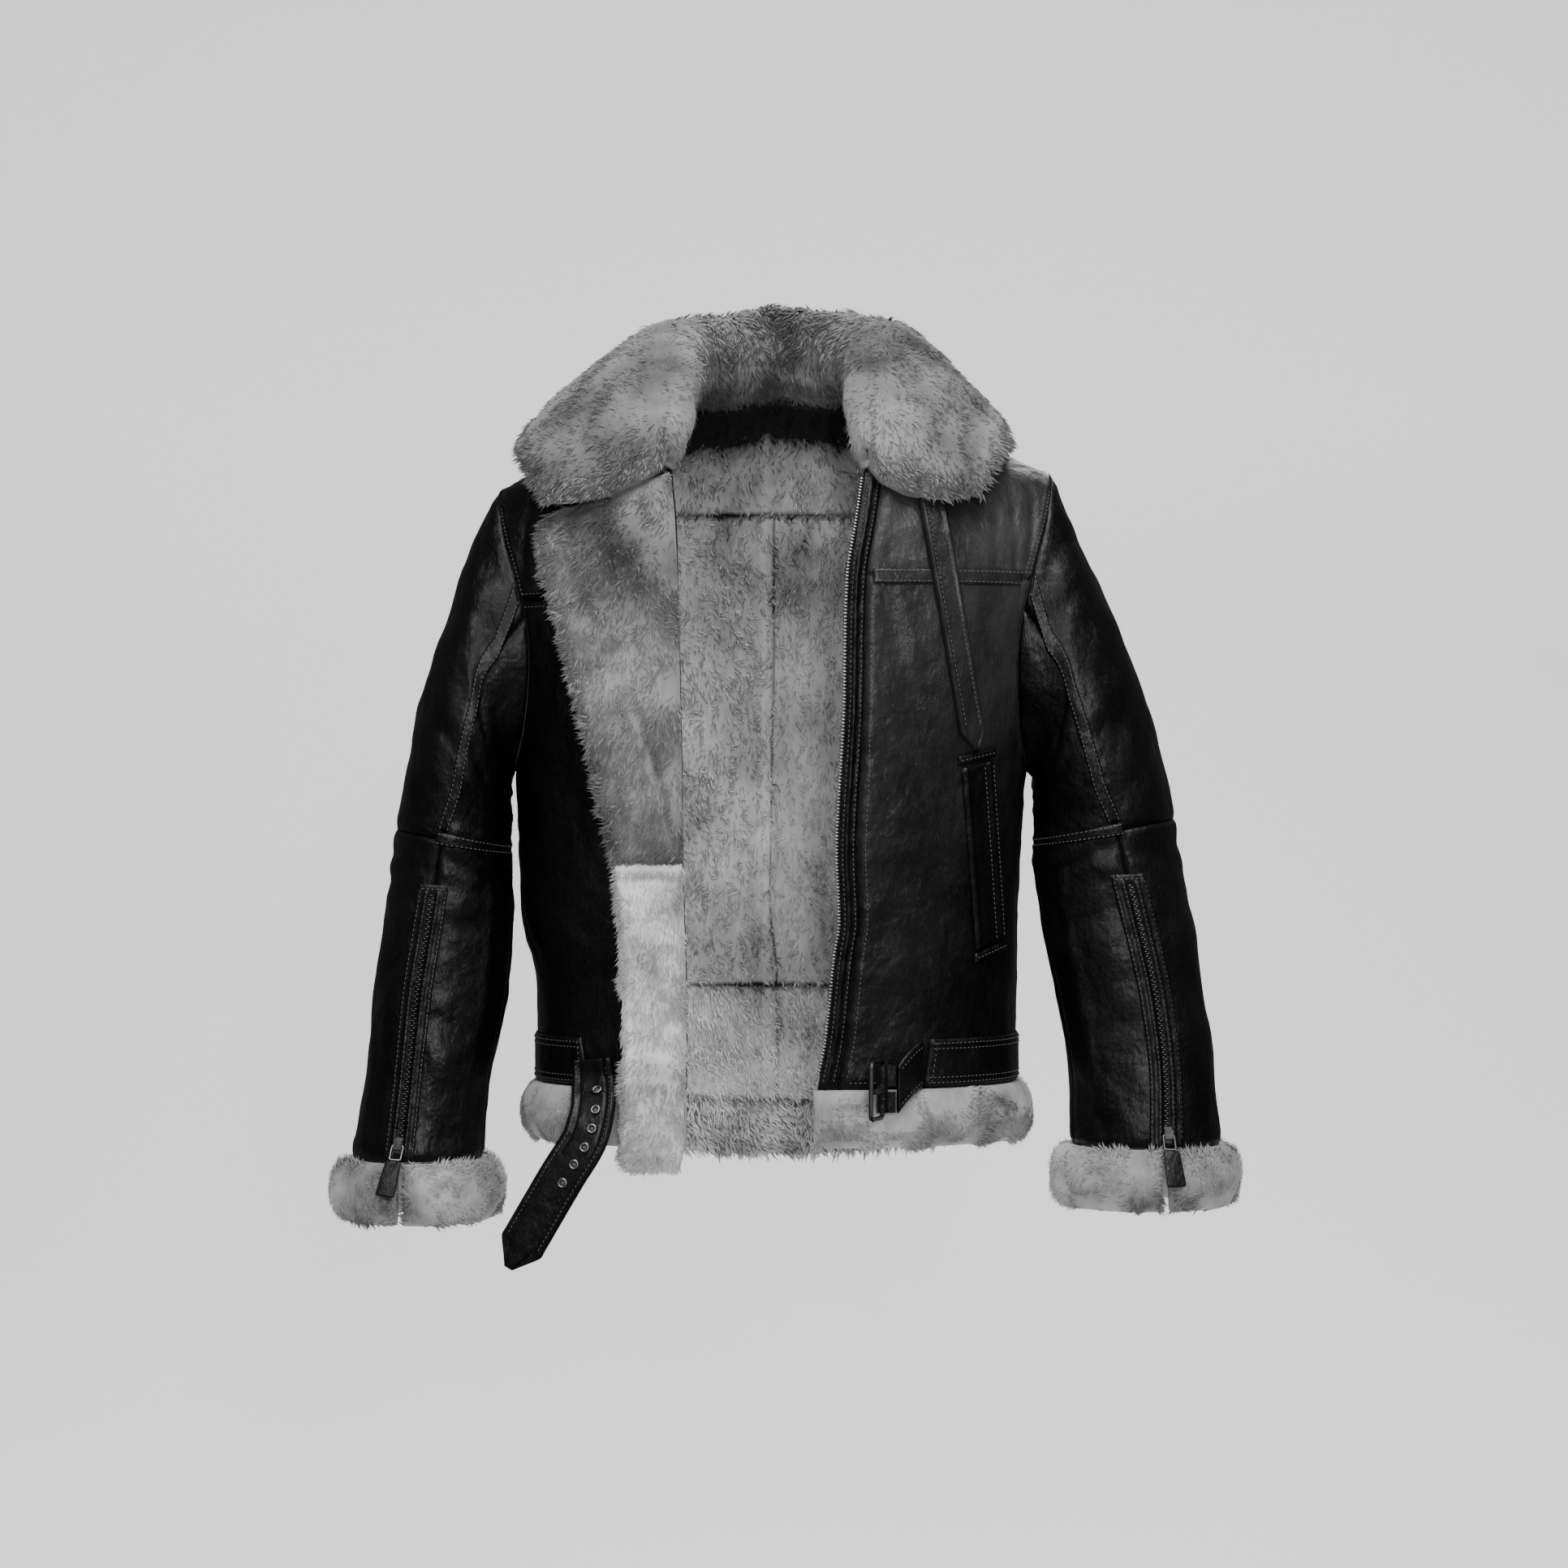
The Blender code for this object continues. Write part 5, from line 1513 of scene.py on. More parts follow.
        locks = Locks(16000, 65, length=6.8, width=1.9, lift=20.0, clump=22.0, swirl=75.0)
        dense = 1.0 + 2.2 * (skin.across < 0.12) + 1.0 * (skin.along < 0.03)
        locks.grow("lapel_upper_locks", skin, outer, comb, wardrobe.lapel, dense)
        free = np.exp(-((skin.across / 0.1) ** 2)) + 0.08
        waves = Locks(1500, 67, 8.8, 2.6, 20.0, clump=13.0, swirl=60.0, curl=1.6, bent=True)
        waves.grow("lapel_upper_tufts", skin, outer, comb, wardrobe.lapel, free)
        self.dress_lower_lapel(wardrobe)

    def dress_lower_lapel(self, wardrobe: Wardrobe) -> None:
        """The lower strip of the turned-back front, its wool the palest."""
        whole = self.lapel_patch(self.lapel_bottom, constant(self.lapel_break))

        def patch(across: float, along: float) -> Vector:
            """Point of the strip, its lower corners rounded."""
            corner = max(0.0, 1 - along / 0.055)
            inset = 0.46 * (1 - math.sqrt(1 - corner * corner))
            return whole(0.5 + (across - 0.5) * (1 - inset), along)

        skin = Skin(patch, 30, 110, 1, (10, 110))
        rim = fur_edge(skin, self.lapel_rim)
        height = mix(self.lapel_bottom, self.lapel_break, skin.along)
        over = np.clip((self.rise_start - height) / self.rise_height, 0.0, 1.0)
        lift = self.laid_gap + (self.under_lapel + TORSO.seam_gap) * over
        outer = lift + 1.0 + self.lapel_skin + self.lapel_wool * rim
        outer += fluff(skin, 73, 17.0, 1.4) * rim
        press(outer, skin, self.lower_dents)
        finishes = (wardrobe.strip, wardrobe.leather)
        shell("lapel_lower_wool", "lapel_lower", Slot.FLEECE, skin, outer, lift, finishes, 0.5)
        locks = Locks(9000, 75, length=6.5, width=1.9, lift=22.0, clump=15.0, swirl=50.0, curl=1.0)

        def comb(across: np.ndarray, along: np.ndarray) -> tuple[np.ndarray, np.ndarray]:
            """Down, and out over both long edges."""
            return -0.5 + across * 0.7, -0.9 * smooth_step(along, 0.0, 0.08)

        dense = 1.0 + 1.2 * (skin.across < 0.1) + 1.2 * (skin.across > 0.92) + 0.6 * (skin.along < 0.05)
        locks.grow("lapel_lower_locks", skin, outer, comb, wardrobe.strip, dense)

    def dress(self, wardrobe: Wardrobe) -> dict[str, Skin]:
        """Build the fronts.

        Args:
            wardrobe: The finishes.

        Returns:
            The skins of the leather pieces by name.
        """
        skins = {panel.name: panel.dress(wardrobe) for panel in self.panels()}
        self.dress_lapel(wardrobe)
        return skins


def fur_edge(skin: Skin, rim: float) -> np.ndarray:
    """Thickness share of fur that rounds off towards its edges."""
    nearest = np.minimum.reduce([skin.across, 1 - skin.across, skin.along, 1 - skin.along])
    return np.sqrt(np.clip(nearest / rim, 0.0, 1.0))


@dataclass(frozen=True)
class Back:
    """The back: yoke, two long panels and two low ones, with the wool lining inside."""

    yoke_seam: float = -14.0
    low_seam: float = -449.0
    wall: float = 10.0
    lining_locks: tuple[tuple[str, int], ...] = (
        ("back_yoke", 2200), ("back_upper_left", 6600), ("back_upper_right", 6600),
        ("back_lower_left", 2200), ("back_lower_right", 2200)
    )

    def panels(self) -> list[Panel]:
        """The leather pieces of the back."""
        made = [
            Panel(
                "back_yoke",
                TORSO.yoke_panel(
                    1, self.yoke_seam - TORSO.seam_gap, TORSO.trimmed_armhole(-1),
                    TORSO.trimmed_armhole(1), TORSO.neck_turn
                ),
                (66, 26), (44, 10), -1, 83,
                crease_rows((0.14, 0.2, 0.3, 0.7, 7.0, 1.6), (0.86, 0.2, 0.72, 0.7, 7.0, 1.5))
            )
        ]
        for name, hand in (("right", -1), ("left", 1)):

            def spread(across: float, height: float, hand: int = hand) -> float:
                """Angle of a column of this half."""
                side = TORSO.side_angle(hand, height)
                share = across if hand > 0 else 1 - across
                trim = -hand * TORSO.edge_trim * (1 - share)
                return TORSO.back_angle(hand, share, side) + trim

            outer = 0.8 if hand > 0 else 0.2
            creases = crease_rows(
                (outer, 0.92, 0.5, 0.62, 11.0, 2.0), (outer, 0.7, 0.45, 0.42, 12.0, 1.7),
                (0.5, 0.3, outer, 0.1, 12.0, 1.8)
            )
            low = constant(self.low_seam - TORSO.seam_gap)
            knots = ((0.5, TORSO.underarm), (1.0, self.yoke_seam))
            upper = TORSO.level_panel(1, low, knots, spread)
            lower = TORSO.level_panel(1, TORSO.back_hem, ((1.0, self.low_seam),), spread)
            seed = 90 + hand
            made.append(Panel(f"back_upper_{name}", upper, (44, 80), (22, 28), -1, seed, creases))
            made.append(Panel(f"back_lower_{name}", lower, (44, 22), (22, 6), -1, seed + 4))
        return made

    def dress(self, wardrobe: Wardrobe) -> dict[str, Skin]:
        """Build the back and grow its lining.

        Args:
            wardrobe: The finishes.

        Returns:
            The skins of the leather pieces by name.
        """
        skins = {}
        counts = dict(self.lining_locks)
        for number, panel in enumerate(self.panels()):
            skins[panel.name] = panel.dress(wardrobe)
            self.grow_lining(panel, counts[panel.name], 300 + number * 5, wardrobe)
        return skins

    def grow_lining(self, panel: Panel, count: int, seed: int, wardrobe: Wardrobe) -> None:
        """Short crimped locks on a panel's wool side.

        Args:
            panel: The panel.
            count: Number of locks.
            seed: Seed of their places.
            wardrobe: The finishes.
        """
        skin = Skin(panel.patch, *panel.grid, -panel.turn, panel.coarse)
        base = np.full_like(skin.across, self.wall) + fluff(skin, seed, 14.0, 0.8)
        shown = np.abs(skin.points[:, :, 0])
        dense = 0.25 + 1.6 * smooth_step(-shown, -125.0, -95.0)
        low = panel.name.startswith("back_lower")
        seam = side_gap(skin) * skin.width
        dense *= 0.35 + 0.65 * smooth_step(seam, 1.0, 5.0)
        comb = even_comb(0.35, -0.9) if low else even_comb(0.1, -1.0)
        locks = Locks(
            count, seed + 2, length=8.5 if low else 6.6, width=2.5, lift=24.0 if low else 19.0,
            clump=14.0, swirl=40.0 if low else 80.0, curl=1.5, bent=True
        )
        finish = wardrobe.inside_hem if low else wardrobe.lining
        # The lining locks carry the painted shade under the collar and in the seams.
        locks.grow(f"{panel.name}_lining", skin, base, comb, finish, dense, painted_neck_shade(skin))


@dataclass(frozen=True)
class Hem:
    """Fur bands below the leather: left front, right front and back."""

    band: float = 49.0
    bulge: float = 11.0
    skin: float = 4.0
    under_lapel: tuple[float, float] = (0.5, 0.16)
    under_height: float = 5.0
    buckle_place: float = 93.0
    buckle_half: float = 19.0
    gap: float = 0.6
    wall: float = 8.0

    def dress(self, front: Front, wardrobe: Wardrobe) -> None:
        """Build the three bands.

        Args:
            front: The fronts, for their edges.
            wardrobe: The finishes.
        """
        end = math.pi / 2 - TORSO.edge_trim
        zip_side = front.edge_angle(front.zip_edge)
        fold_side = front.edge_angle(front.fold_edge)
        for name, side, left, right, grid, turn, count in (
            ("hem_fur_left", -1, zip_side, constant(end), (64, 20), 1, 5200),
            ("hem_fur_right", -1, constant(-end), fold_side, (54, 20), 1, 3800),
            ("hem_fur_back", 1, constant(-end), constant(end), (110, 18), -1, 3500)
        ):
            self.dress_band(name, side, left, right, grid, turn, count, wardrobe)

    def dress_band(
        self, name: str, side: int, left: Edge, right: Edge, grid: tuple[int, int], turn: int, count: int,
        wardrobe: Wardrobe
    ) -> None:
        """One band with its locks.

        Args:
            name: The node's name.
            side: -1 for the front, 1 for the back.
            left: Angle of the end on the wearer's right.
            right: Angle of the end on the wearer's left.
            grid: Fine columns and rows.
            turn: Outer side of the patch.
            count: Number of locks.
            wardrobe: The finishes.
        """

        def patch(across: float, along: float) -> Vector:
            """Point of the band."""
            middle = TORSO.hem - self.band * 0.5
            angle = mix(left(middle), right(middle), across)
            top = (TORSO.hem if side < 0 else TORSO.back_hem(angle)) - self.gap
            return TORSO.point(side, angle, TORSO.turn_at(angle, top - self.band * (1 - along)))

        skin = Skin(patch, *grid, turn, (grid[0] // 3, 6))
        round_off = rounded(skin)
        outer = self.skin + self.bulge * round_off + fluff(skin, count, 19.0, 1.5) * round_off
        if name == "hem_fur_right":
            under = np.clip((skin.across - self.under_lapel[0]) / self.under_lapel[1], 0, 1)
            outer = mix(outer, self.under_height, under)
        inner = -(self.wall + self.skin * round_off)
        shell(f"{name}_wool", name, Slot.FLEECE, skin, outer, inner, (wardrobe.hem,))
        locks = Locks(2 * count, count + 1, length=6.6, width=2.0, lift=16.0, clump=17.0, swirl=80.0)

        def comb(across: np.ndarray, along: np.ndarray) -> tuple[np.ndarray, np.ndarray]:
            """Down, out over the lower edge and the open ends."""
            ends = toward_ends(across, 0.05)
            return 0.7 - 1.4 * ends, -0.75 * smooth_step(along, 0.1, 0.4)

        dense = 1.0 + 0.5 * (skin.along < 0.12)
        if name == "hem_fur_right":
            dense = dense * (skin.across < self.under_lapel[0] + self.under_lapel[1] * 0.4) + 0.001
        if name == "hem_fur_left":
            beside = np.abs(skin.points[:, :, 0] - self.buckle_place)
            pressed = (beside < self.buckle_half) & (skin.along > 0.35)
            dense = dense * np.where(pressed, 0.0, 1.0) + 0.001
        locks.grow(f"{name}_locks", skin, outer, comb, wardrobe.hem, dense)
        if side > 0:
            inside = Skin(patch, *grid, -turn, (grid[0] // 3, 6))
            shown = 0.02 + smooth_step(-np.abs(inside.points[:, :, 0]), -170.0, -140.0)
            depth = np.broadcast_to(-inner, outer.shape)
            down = even_comb(0.35, -0.95)
            wool = Locks(3200, 411, 10.0, 2.7, 30.0, clump=13.0, swirl=45.0, curl=1.3, bent=True)
            wool.grow(f"{name}_inside", inside, depth, down, wardrobe.inside_hem, shown)


@dataclass(frozen=True)
class Collar:
    """The wide wool collar, standing at the neck and rolled over."""

    form: CollarForm = field(default_factory=CollarForm)
    skin_depth: float = 6.0
    wool_depth: float = 16.0
    rim: float = 0.1
    closed_end: float = 0.03
    closed_depth: float = 8.0
    count: int = 30000

    def dress(self, wardrobe: Wardrobe) -> None:
        """Build the collar and its locks.

        Args:
            wardrobe: The finishes.
        """
        skin = Skin(self.form.point, 132, 62, 1, (96, 30))
        rim = fur_edge(skin, self.rim)
        depth = self.skin_depth + (self.wool_depth - self.skin_depth) * rim
        outer = depth + (fluff(skin, 101, 30.0, 2.0) + fluff(skin, 104, 12.0, 0.8)) * rim
        ends = np.clip(1 - side_gap(skin) / self.closed_end, 0, 1)
        inner = -self.closed_depth * ends * smooth_step(-skin.along, -0.7, -0.5)
        aside = np.abs(skin.across - 0.5)
        # Painted shade on the leaves, deepest in their middle and heavier on the wearer's left side; then
        # painted light on the top of the roll.
        painted_leaf_shade = smooth_step(aside, 0.17, 0.3) * smooth_step(skin.along, 0.42, 0.56)
        painted_leaf_shade *= smooth_step(-skin.along, -0.94, -0.84) * (0.17 + 0.14 * (skin.across > 0.5))
        top = 0.24 * smooth_step(-aside, -0.27, -0.14) * smooth_step(skin.along, 0.12, 0.24)
        tone = 0.4 - painted_leaf_shade + top
        finishes = (wardrobe.collar, wardrobe.leather)
        shell("collar_wool", "collar", Slot.FLEECE, skin, outer, inner, finishes, tone)

        def comb(across: np.ndarray, along: np.ndarray) -> tuple[np.ndarray, np.ndarray]:
            """Into the neck above its seam, down the fall and out over the front edges."""
            fall = smooth_step(along, 0.34, 0.46) * 2 - 1
            ends = toward_ends(across, 0.08)
            return 0.15 - 1.8 * ends, fall

        locks = Locks(self.count, 107, length=7.2, width=2.0, lift=17.0, clump=26.0, swirl=62.0)
        edge = (skin.along > 0.94) | (skin.across < 0.03) | (skin.across > 0.97)
        dense = 0.75 + 1.6 * edge + 0.35 * (skin.along < 0.36)
        # Painted shade inside the stand under the roll, the leaves' painted shade and the roll's painted
        # light; the free edge is paler.
        shade = 0.4 * smooth_step(-skin.along, -0.24, -0.1) + painted_leaf_shade - top - 0.14 * (skin.along > 0.94)
        locks.grow("collar_locks", skin, outer, comb, wardrobe.collar, dense, shade)
        roll = np.exp(-(((skin.across - 0.5) / 0.16) ** 2)) * np.exp(-(((skin.along - 0.27) / 0.06) ** 2))
        waves = Locks(1500, 119, 13.0, 3.2, 13.0, clump=20.0, swirl=70.0, curl=2.4, bent=True)
        waves.grow("collar_waves", skin, outer, comb, wardrobe.collar, roll + 0.001)
        fringe = Locks(2200, 127, 9.0, 2.6, 15.0, clump=11.0, swirl=55.0, curl=1.5, bent=True)
        outside = 0.02 + edge * (skin.along > 0.36)
        fringe.grow("collar_fringe", skin, outer, comb, wardrobe.collar, outside)


# Small repeated things: stitches, zip teeth and cords laid on the leather


def small_shape(kind: str) -> tuple[np.ndarray, np.ndarray, np.ndarray]:
    """A small closed shape of size one, its long side along X and its height along Z.

    Args:
        kind: "stitch" for a rounded bar or "tooth" for a bevelled block.

    Returns:
        Its vertices, the vertices of its faces in a row, and each face's start in that row.
    """
    tool = bmesh.new()
    if kind == "stitch":
        bmesh.ops.create_icosphere(tool, subdivisions=1, radius=0.5)
    else:
        bmesh.ops.create_cube(tool, size=1.0)
        bmesh.ops.bevel(
            tool, geom=tool.edges[:] + tool.verts[:], offset=0.16, segments=1, profile=0.5,
            affect="EDGES", material=-1
        )
    bmesh.ops.recalc_face_normals(tool, faces=tool.faces[:])
    tool.verts.index_update()
    spots = np.array([tuple(vertex.co) for vertex in tool.verts])
    corners = [vertex.index for face in tool.faces for vertex in face.verts]
    starts = np.cumsum([0] + [len(face.verts) for face in tool.faces])[:-1]
    tool.free()
    return spots, np.array(corners), starts


class Run:
    """An evenly spaced row of places along a line on the form."""

    def __init__(self, line: Callable[[float], tuple[Vector, Vector]], pitch: float) -> None:
        """Space places along a line.

        Args:
            line: Point and outward normal in millimetres at a share of the line.
            pitch: Distance between places in millimetres.
        """
        samples = 120
        spots = [line(step / samples) for step in range(samples + 1)]
        points = np.array([tuple(point) for point, _ in spots])
        normals = np.array([tuple(normal) for _, normal in spots])
        steps = np.linalg.norm(np.diff(points, axis=0), axis=1)
        reach = np.concatenate([[0.0], np.cumsum(steps)])
        count = max(2, int(reach[-1] / pitch))
        places = (np.arange(count) + 0.5) / count * reach[-1]
        self.points = np.stack([np.interp(places, reach, points[:, k]) for k in range(3)], 1)
        self.normals = unit(np.stack([np.interp(places, reach, normals[:, k]) for k in range(3)], 1))
        self.along = unit(np.gradient(self.points, axis=0))
        self.beside = unit(np.cross(self.normals, self.along))

    def copies(
        self, spots: np.ndarray, size: tuple[float, float, float], lift: float = 0.0, turn: float = 0.0
    ) -> np.ndarray:
        """Copies of a small shape, one at each place.

        Args:
            spots: The shape's vertices.
            size: Its length, width and height in millimetres.
            lift: Height of its middle over the line.
            turn: Turn in the surface, in radians.

        Returns:
            Vertices in millimetres, copies first.
        """
        forward = self.along * math.cos(turn) + self.beside * math.sin(turn)
        aside = self.beside * math.cos(turn) - self.along * math.sin(turn)
        scaled = spots * np.array(size)
        middle = self.points + self.normals * lift
        return (
            middle[:, None, :]
            + scaled[None, :, 0, None] * forward[:, None, :]
            + scaled[None, :, 1, None] * aside[:, None, :]
            + scaled[None, :, 2, None] * self.normals[:, None, :]
        )


def beaded(
    name: str, kind: str, run: Run, size: tuple[float, float, float], finish: bpy.types.Material,
    slot: Slot, stagger: float = 0.0
) -> None:
    """A row of small shapes joined into a piece.

    Args:
        name: The piece's name.
        kind: The small shape's kind.
        run: Their places.
        size: Length, width and height of each in millimetres.
        finish: The material.
        slot: The record's slot.
        stagger: How far each stands aside of the line, by turns to one side and the other.
    """
    spots, corners, starts = small_shape(kind)
    points = run.copies(spots, size)
    odd = np.arange(len(points)) % 2 * 2 - 1
    points += (odd[:, None] * stagger * run.beside)[:, None, :]
    dressed(joined(name, points * MM, np.zeros(points.shape[:2]), corners, starts, finish), slot)


def on_skin(skin: Skin, start: Spot, end: Spot, lift: float = 0.0) -> Callable:
    """A straight line across a sampled skin.

    Args:
        skin: The skin.
        start: Share across and along where the line starts.
        end: Where it ends.
        lift: Height over the skin.

    Returns:
        Point and normal by share of the line.
    """

    def line(part: float) -> tuple[Vector, Vector]:
        """Point and normal of the line."""
        column = mix(start[0], end[0], part) * skin.columns
        row = mix(start[1], end[1], part) * skin.rows
        left = min(int(column), skin.columns - 1)
        low = min(int(row), skin.rows - 1)
        place = (low, left, row - low, column - left)
        normal = between(skin.normals, *place)
        return Vector(between(skin.points, *place) + normal * lift), Vector(normal)

    return line


class Stitching:
    """Collects the lines of stitches and joins them at the end."""

    pitch = 4.2
    size = (3.1, 0.95, 0.85)
    proud = 0.25
    slant = 0.09

    def __init__(self) -> None:
        """Start with no stitches."""
        self.shape = small_shape("stitch")
        self.groups: dict[str, list[np.ndarray]] = {}

    def sew(self, group: str, skin: Skin, start: Spot, end: Spot, height: float) -> None:
        """Add a line of stitches to a group.

        Args:
            group: The group that it belongs to.
            skin: The leather's skin.
            start: Share across and along where the line starts.
            end: Where it ends.
            height: Height over the skin in millimetres.
        """
        run = Run(on_skin(skin, start, end, height), self.pitch)
        stitches = run.copies(self.shape[0], self.size, self.proud, self.slant)
        self.groups.setdefault(group, []).append(stitches)

    def finish(self, wardrobe: Wardrobe) -> None:
        """Join each group into a piece."""
        _, corners, starts = self.shape
        for group, parts in self.groups.items():
            points = np.concatenate(parts) * MM
            tone = np.full(points.shape[:2], 0.5)
            piece = joined(f"stitching_{group}", points, tone, corners, starts, wardrobe.thread)
            dressed(piece, Slot.LEATHER)


# Laid trims


@dataclass(frozen=True)
class Strip:
    """A strip of leather laid on the form, with raised borders along its long edges."""

    name: str
    patch: Patch
    grid: tuple[int, int]
    coarse: tuple[int, int]
    turn: int
    lift: float
    thick: float
    ridges: tuple[float, ...] = ()
    ridge_width: float = 0.08
    ridge_height: float = 0.8
    seed: int = 7

    def dress(self, wardrobe: Wardrobe) -> Skin:
        """Build the strip.

        Args:
            wardrobe: The finishes.

        Returns:
            Its skin.
        """
        skin = Skin(self.patch, *self.grid, self.turn, self.coarse)
        gap = skin.edge_gap()
        outer = self.lift + self.thick * (0.45 + 0.55 * smooth_step(gap, 0.0, 1.6))
        for ridge in self.ridges:
            outer += self.ridge_height * np.exp(-(((skin.across - ridge) / self.ridge_width) ** 2))
        outer += fluff(skin, self.seed, 14.0, 0.16)
        inner = np.full_like(outer, self.lift)
        # The collar strap and the yoke tape take the lighter leather with its painted highlight.
        finish = wardrobe.strap if self.name in PAINTED_HIGHLIGHT_TRIMS else wardrobe.trim
        shell(f"{self.name}_hide", self.name, Slot.LEATHER, skin, outer, inner, (finish,))
        return skin


@dataclass(frozen=True)
class Trims:
    """Yoke tape, pocket, collar strap and belt."""

    laid_gap: float = 0.8
    tape_thick: float = 1.6
    strap_thick: float = 3.6
    yoke_tape: Table = (((85, -93), (213, -92)), ((85, -80), (216, -79)))
    pocket_welt: Table = (((174, -408), (200, -398)), ((161, -250), (189, -243)))
    pocket_top: Table = (((158, -248), (191, -240)), ((158, -240), (191, -232)))
    pocket_low: Table = (((173, -418), (202, -407)), ((173, -410), (202, -399)))
    collar_strap: Table = (((161, -236), (182, -232)), ((115, 30), (137, 34)))
    strap_point: float = 0.055
    tunnel_low: float = -523.0
    tunnel_high: float = -482.0
    tunnel_thick: float = 2.4
    tunnel_back: float = 122.0
    tunnel_mouths: Table = (("left", 1, 128.0), ("right", -1, 158.0))
    mouth_slope: float = 0.15
    belt_width: float = 40.0
    # Share along the hanging strap, then its middle
    strap_path: Table = (
        (0.0, -155, -99.4, -500), (0.1, -154, -101.4, -517), (0.2, -153, -118, -534),
        (0.3, -155, -127, -549), (0.42, -161, -131, -568), (0.6, -179, -131, -597),
        (0.86, -210, -127, -650), (1.0, -225, -124, -676)
    )
    strap_facing: tuple[float, float] = (33.0, 12.0)
    strap_turn: float = 3.0
    strap_tip: tuple[float, float] = (0.1, 0.2)
    eyelets: tuple[float, ...] = (0.17, 0.26, 0.35, 0.44, 0.53, 0.62)
    eyelet_across: float = 0.6
    eyelet_radius: float = 3.4
    eyelet_wire: float = 1.1
    hole_depth: float = 0.4
    hole_drop: float = 0.9
    stitch_proud: float = 0.3
    tape_stitch: float = 2.4
    welt_stitch: float = 2.5
    tab_stitch: float = 3.1
    tunnel_stitch: float = 3.3
    belt_mouth: tuple[float, float] = (127.2, -503.0)
    belt_proud: float = 3.1
    belt_bend: tuple[float, float, float] = (118.0, -132.0, -507.0)
    buckle_bar: tuple[float, float, float] = (93.0, -143.0, -522.0)
    belt_end: float = 13.2

    def dress(self, wardrobe: Wardrobe, stitching: Stitching) -> None:
        """Build the trims of the front and the belt.

        Args:
            wardrobe: The finishes.
            stitching: Collects their stitches.
        """
        low = self.laid_gap
        thick = self.tape_thick
        tape = Strip("yoke_tape_left", TORSO.laid(*self.yoke_tape), (60, 12), (16, 3), 1, low, thick)
        tape_skin = tape.dress(wardrobe)
        patch = TORSO.laid(*self.pocket_welt)
        welt = Strip("pocket_welt", patch, (26, 60), (6, 16), 1, low, thick, (0.12, 0.86), 0.07, 1.3)
        welt_skin = welt.dress(wardrobe)
        for name, corners in (("pocket_tab_top", self.pocket_top), ("pocket_tab_low", self.pocket_low)):
            tab = Strip(name, TORSO.laid(*corners), (24, 10), (6, 3), 1, low, thick + 0.5)
            stitching.sew("pocket", tab.dress(wardrobe), (0.04, 0.5), (0.96, 0.5), self.tab_stitch)
        for level in (0.16, 0.84):
            stitching.sew("yokes", tape_skin, (0.0, level), (1.0, level), self.tape_stitch)
        for across in (0.7, 0.97):
            stitching.sew("pocket", welt_skin, (across, 0.02), (across, 0.98), self.welt_stitch)
        self.dress_collar_strap(wardrobe, stitching)
        self.dress_belt(wardrobe, stitching)

    def dress_collar_strap(self, wardrobe: Wardrobe, stitching: Stitching) -> None:
        """The strap that hangs from under the collar, with folded edges.

        Args:
            wardrobe: The finishes.
            stitching: Collects the stitches.
        """
        whole = TORSO.laid(*self.collar_strap)

        def pointed(across: float, along: float) -> Vector:
            """Point of the strap, its lower end pointed."""
            narrow = min(1.0, max(0.14, along / self.strap_point))
            return whole(0.5 + (across - 0.5) * narrow, along)

        on_tape = self.laid_gap + self.tape_thick + self.laid_gap
        thick = self.strap_thick
        ridges = (0.13, 0.87)
        strap = Strip("collar_strap", pointed, (24, 110), (4, 72), 1, on_tape, thick, ridges, 0.07, 1.1)
        skin = strap.dress(wardrobe)
        for across in (0.22, 0.78):
            stitching.sew("collar_strap", skin, (across, 0.08), (across, 0.99), on_tape + thick)

    def strap_patch(self, across: float, along: float) -> Vector:
        """The hanging belt strap, turned to the body at its top and pointed at its end."""
        centre = Vector(read(self.strap_path, along))
        above = Vector(read(self.strap_path, along - 0.01))
        down = (Vector(read(self.strap_path, along + 0.01)) - above).normalized()
        facing = -math.radians(mix(*self.strap_facing, min(1.0, along * self.strap_turn)))
        level = Vector((math.cos(facing), math.sin(facing), 0.0))
        sideways = (level - down * level.dot(down)).normalized()
        tip_length, tip_width = self.strap_tip
        width = self.belt_width * min(1.0, mix(tip_width, 1.0, (1 - along) / tip_length))
        return centre + sideways * ((across - 0.5) * width)

    def dress_belt(self, wardrobe: Wardrobe, stitching: Stitching) -> None:
        """Belt tunnels, hanging strap, eyelets and the buckle's strap end.

        Args:
            wardrobe: The finishes.
            stitching: Collects the stitches.
        """
        for name, hand, mouth in self.tunnel_mouths:

            def patch(across: float, along: float, hand: int = hand, mouth: float = mouth) -> Vector:
                """Point of the tunnel."""
                height = mix(self.tunnel_low, self.tunnel_high, along)
                edge = hand * (mouth + (height - self.tunnel_low) * self.mouth_slope)
                front = TORSO.angle_at(edge, height)
                return TORSO.girth(mix(front, hand * math.radians(self.tunnel_back), across), height)

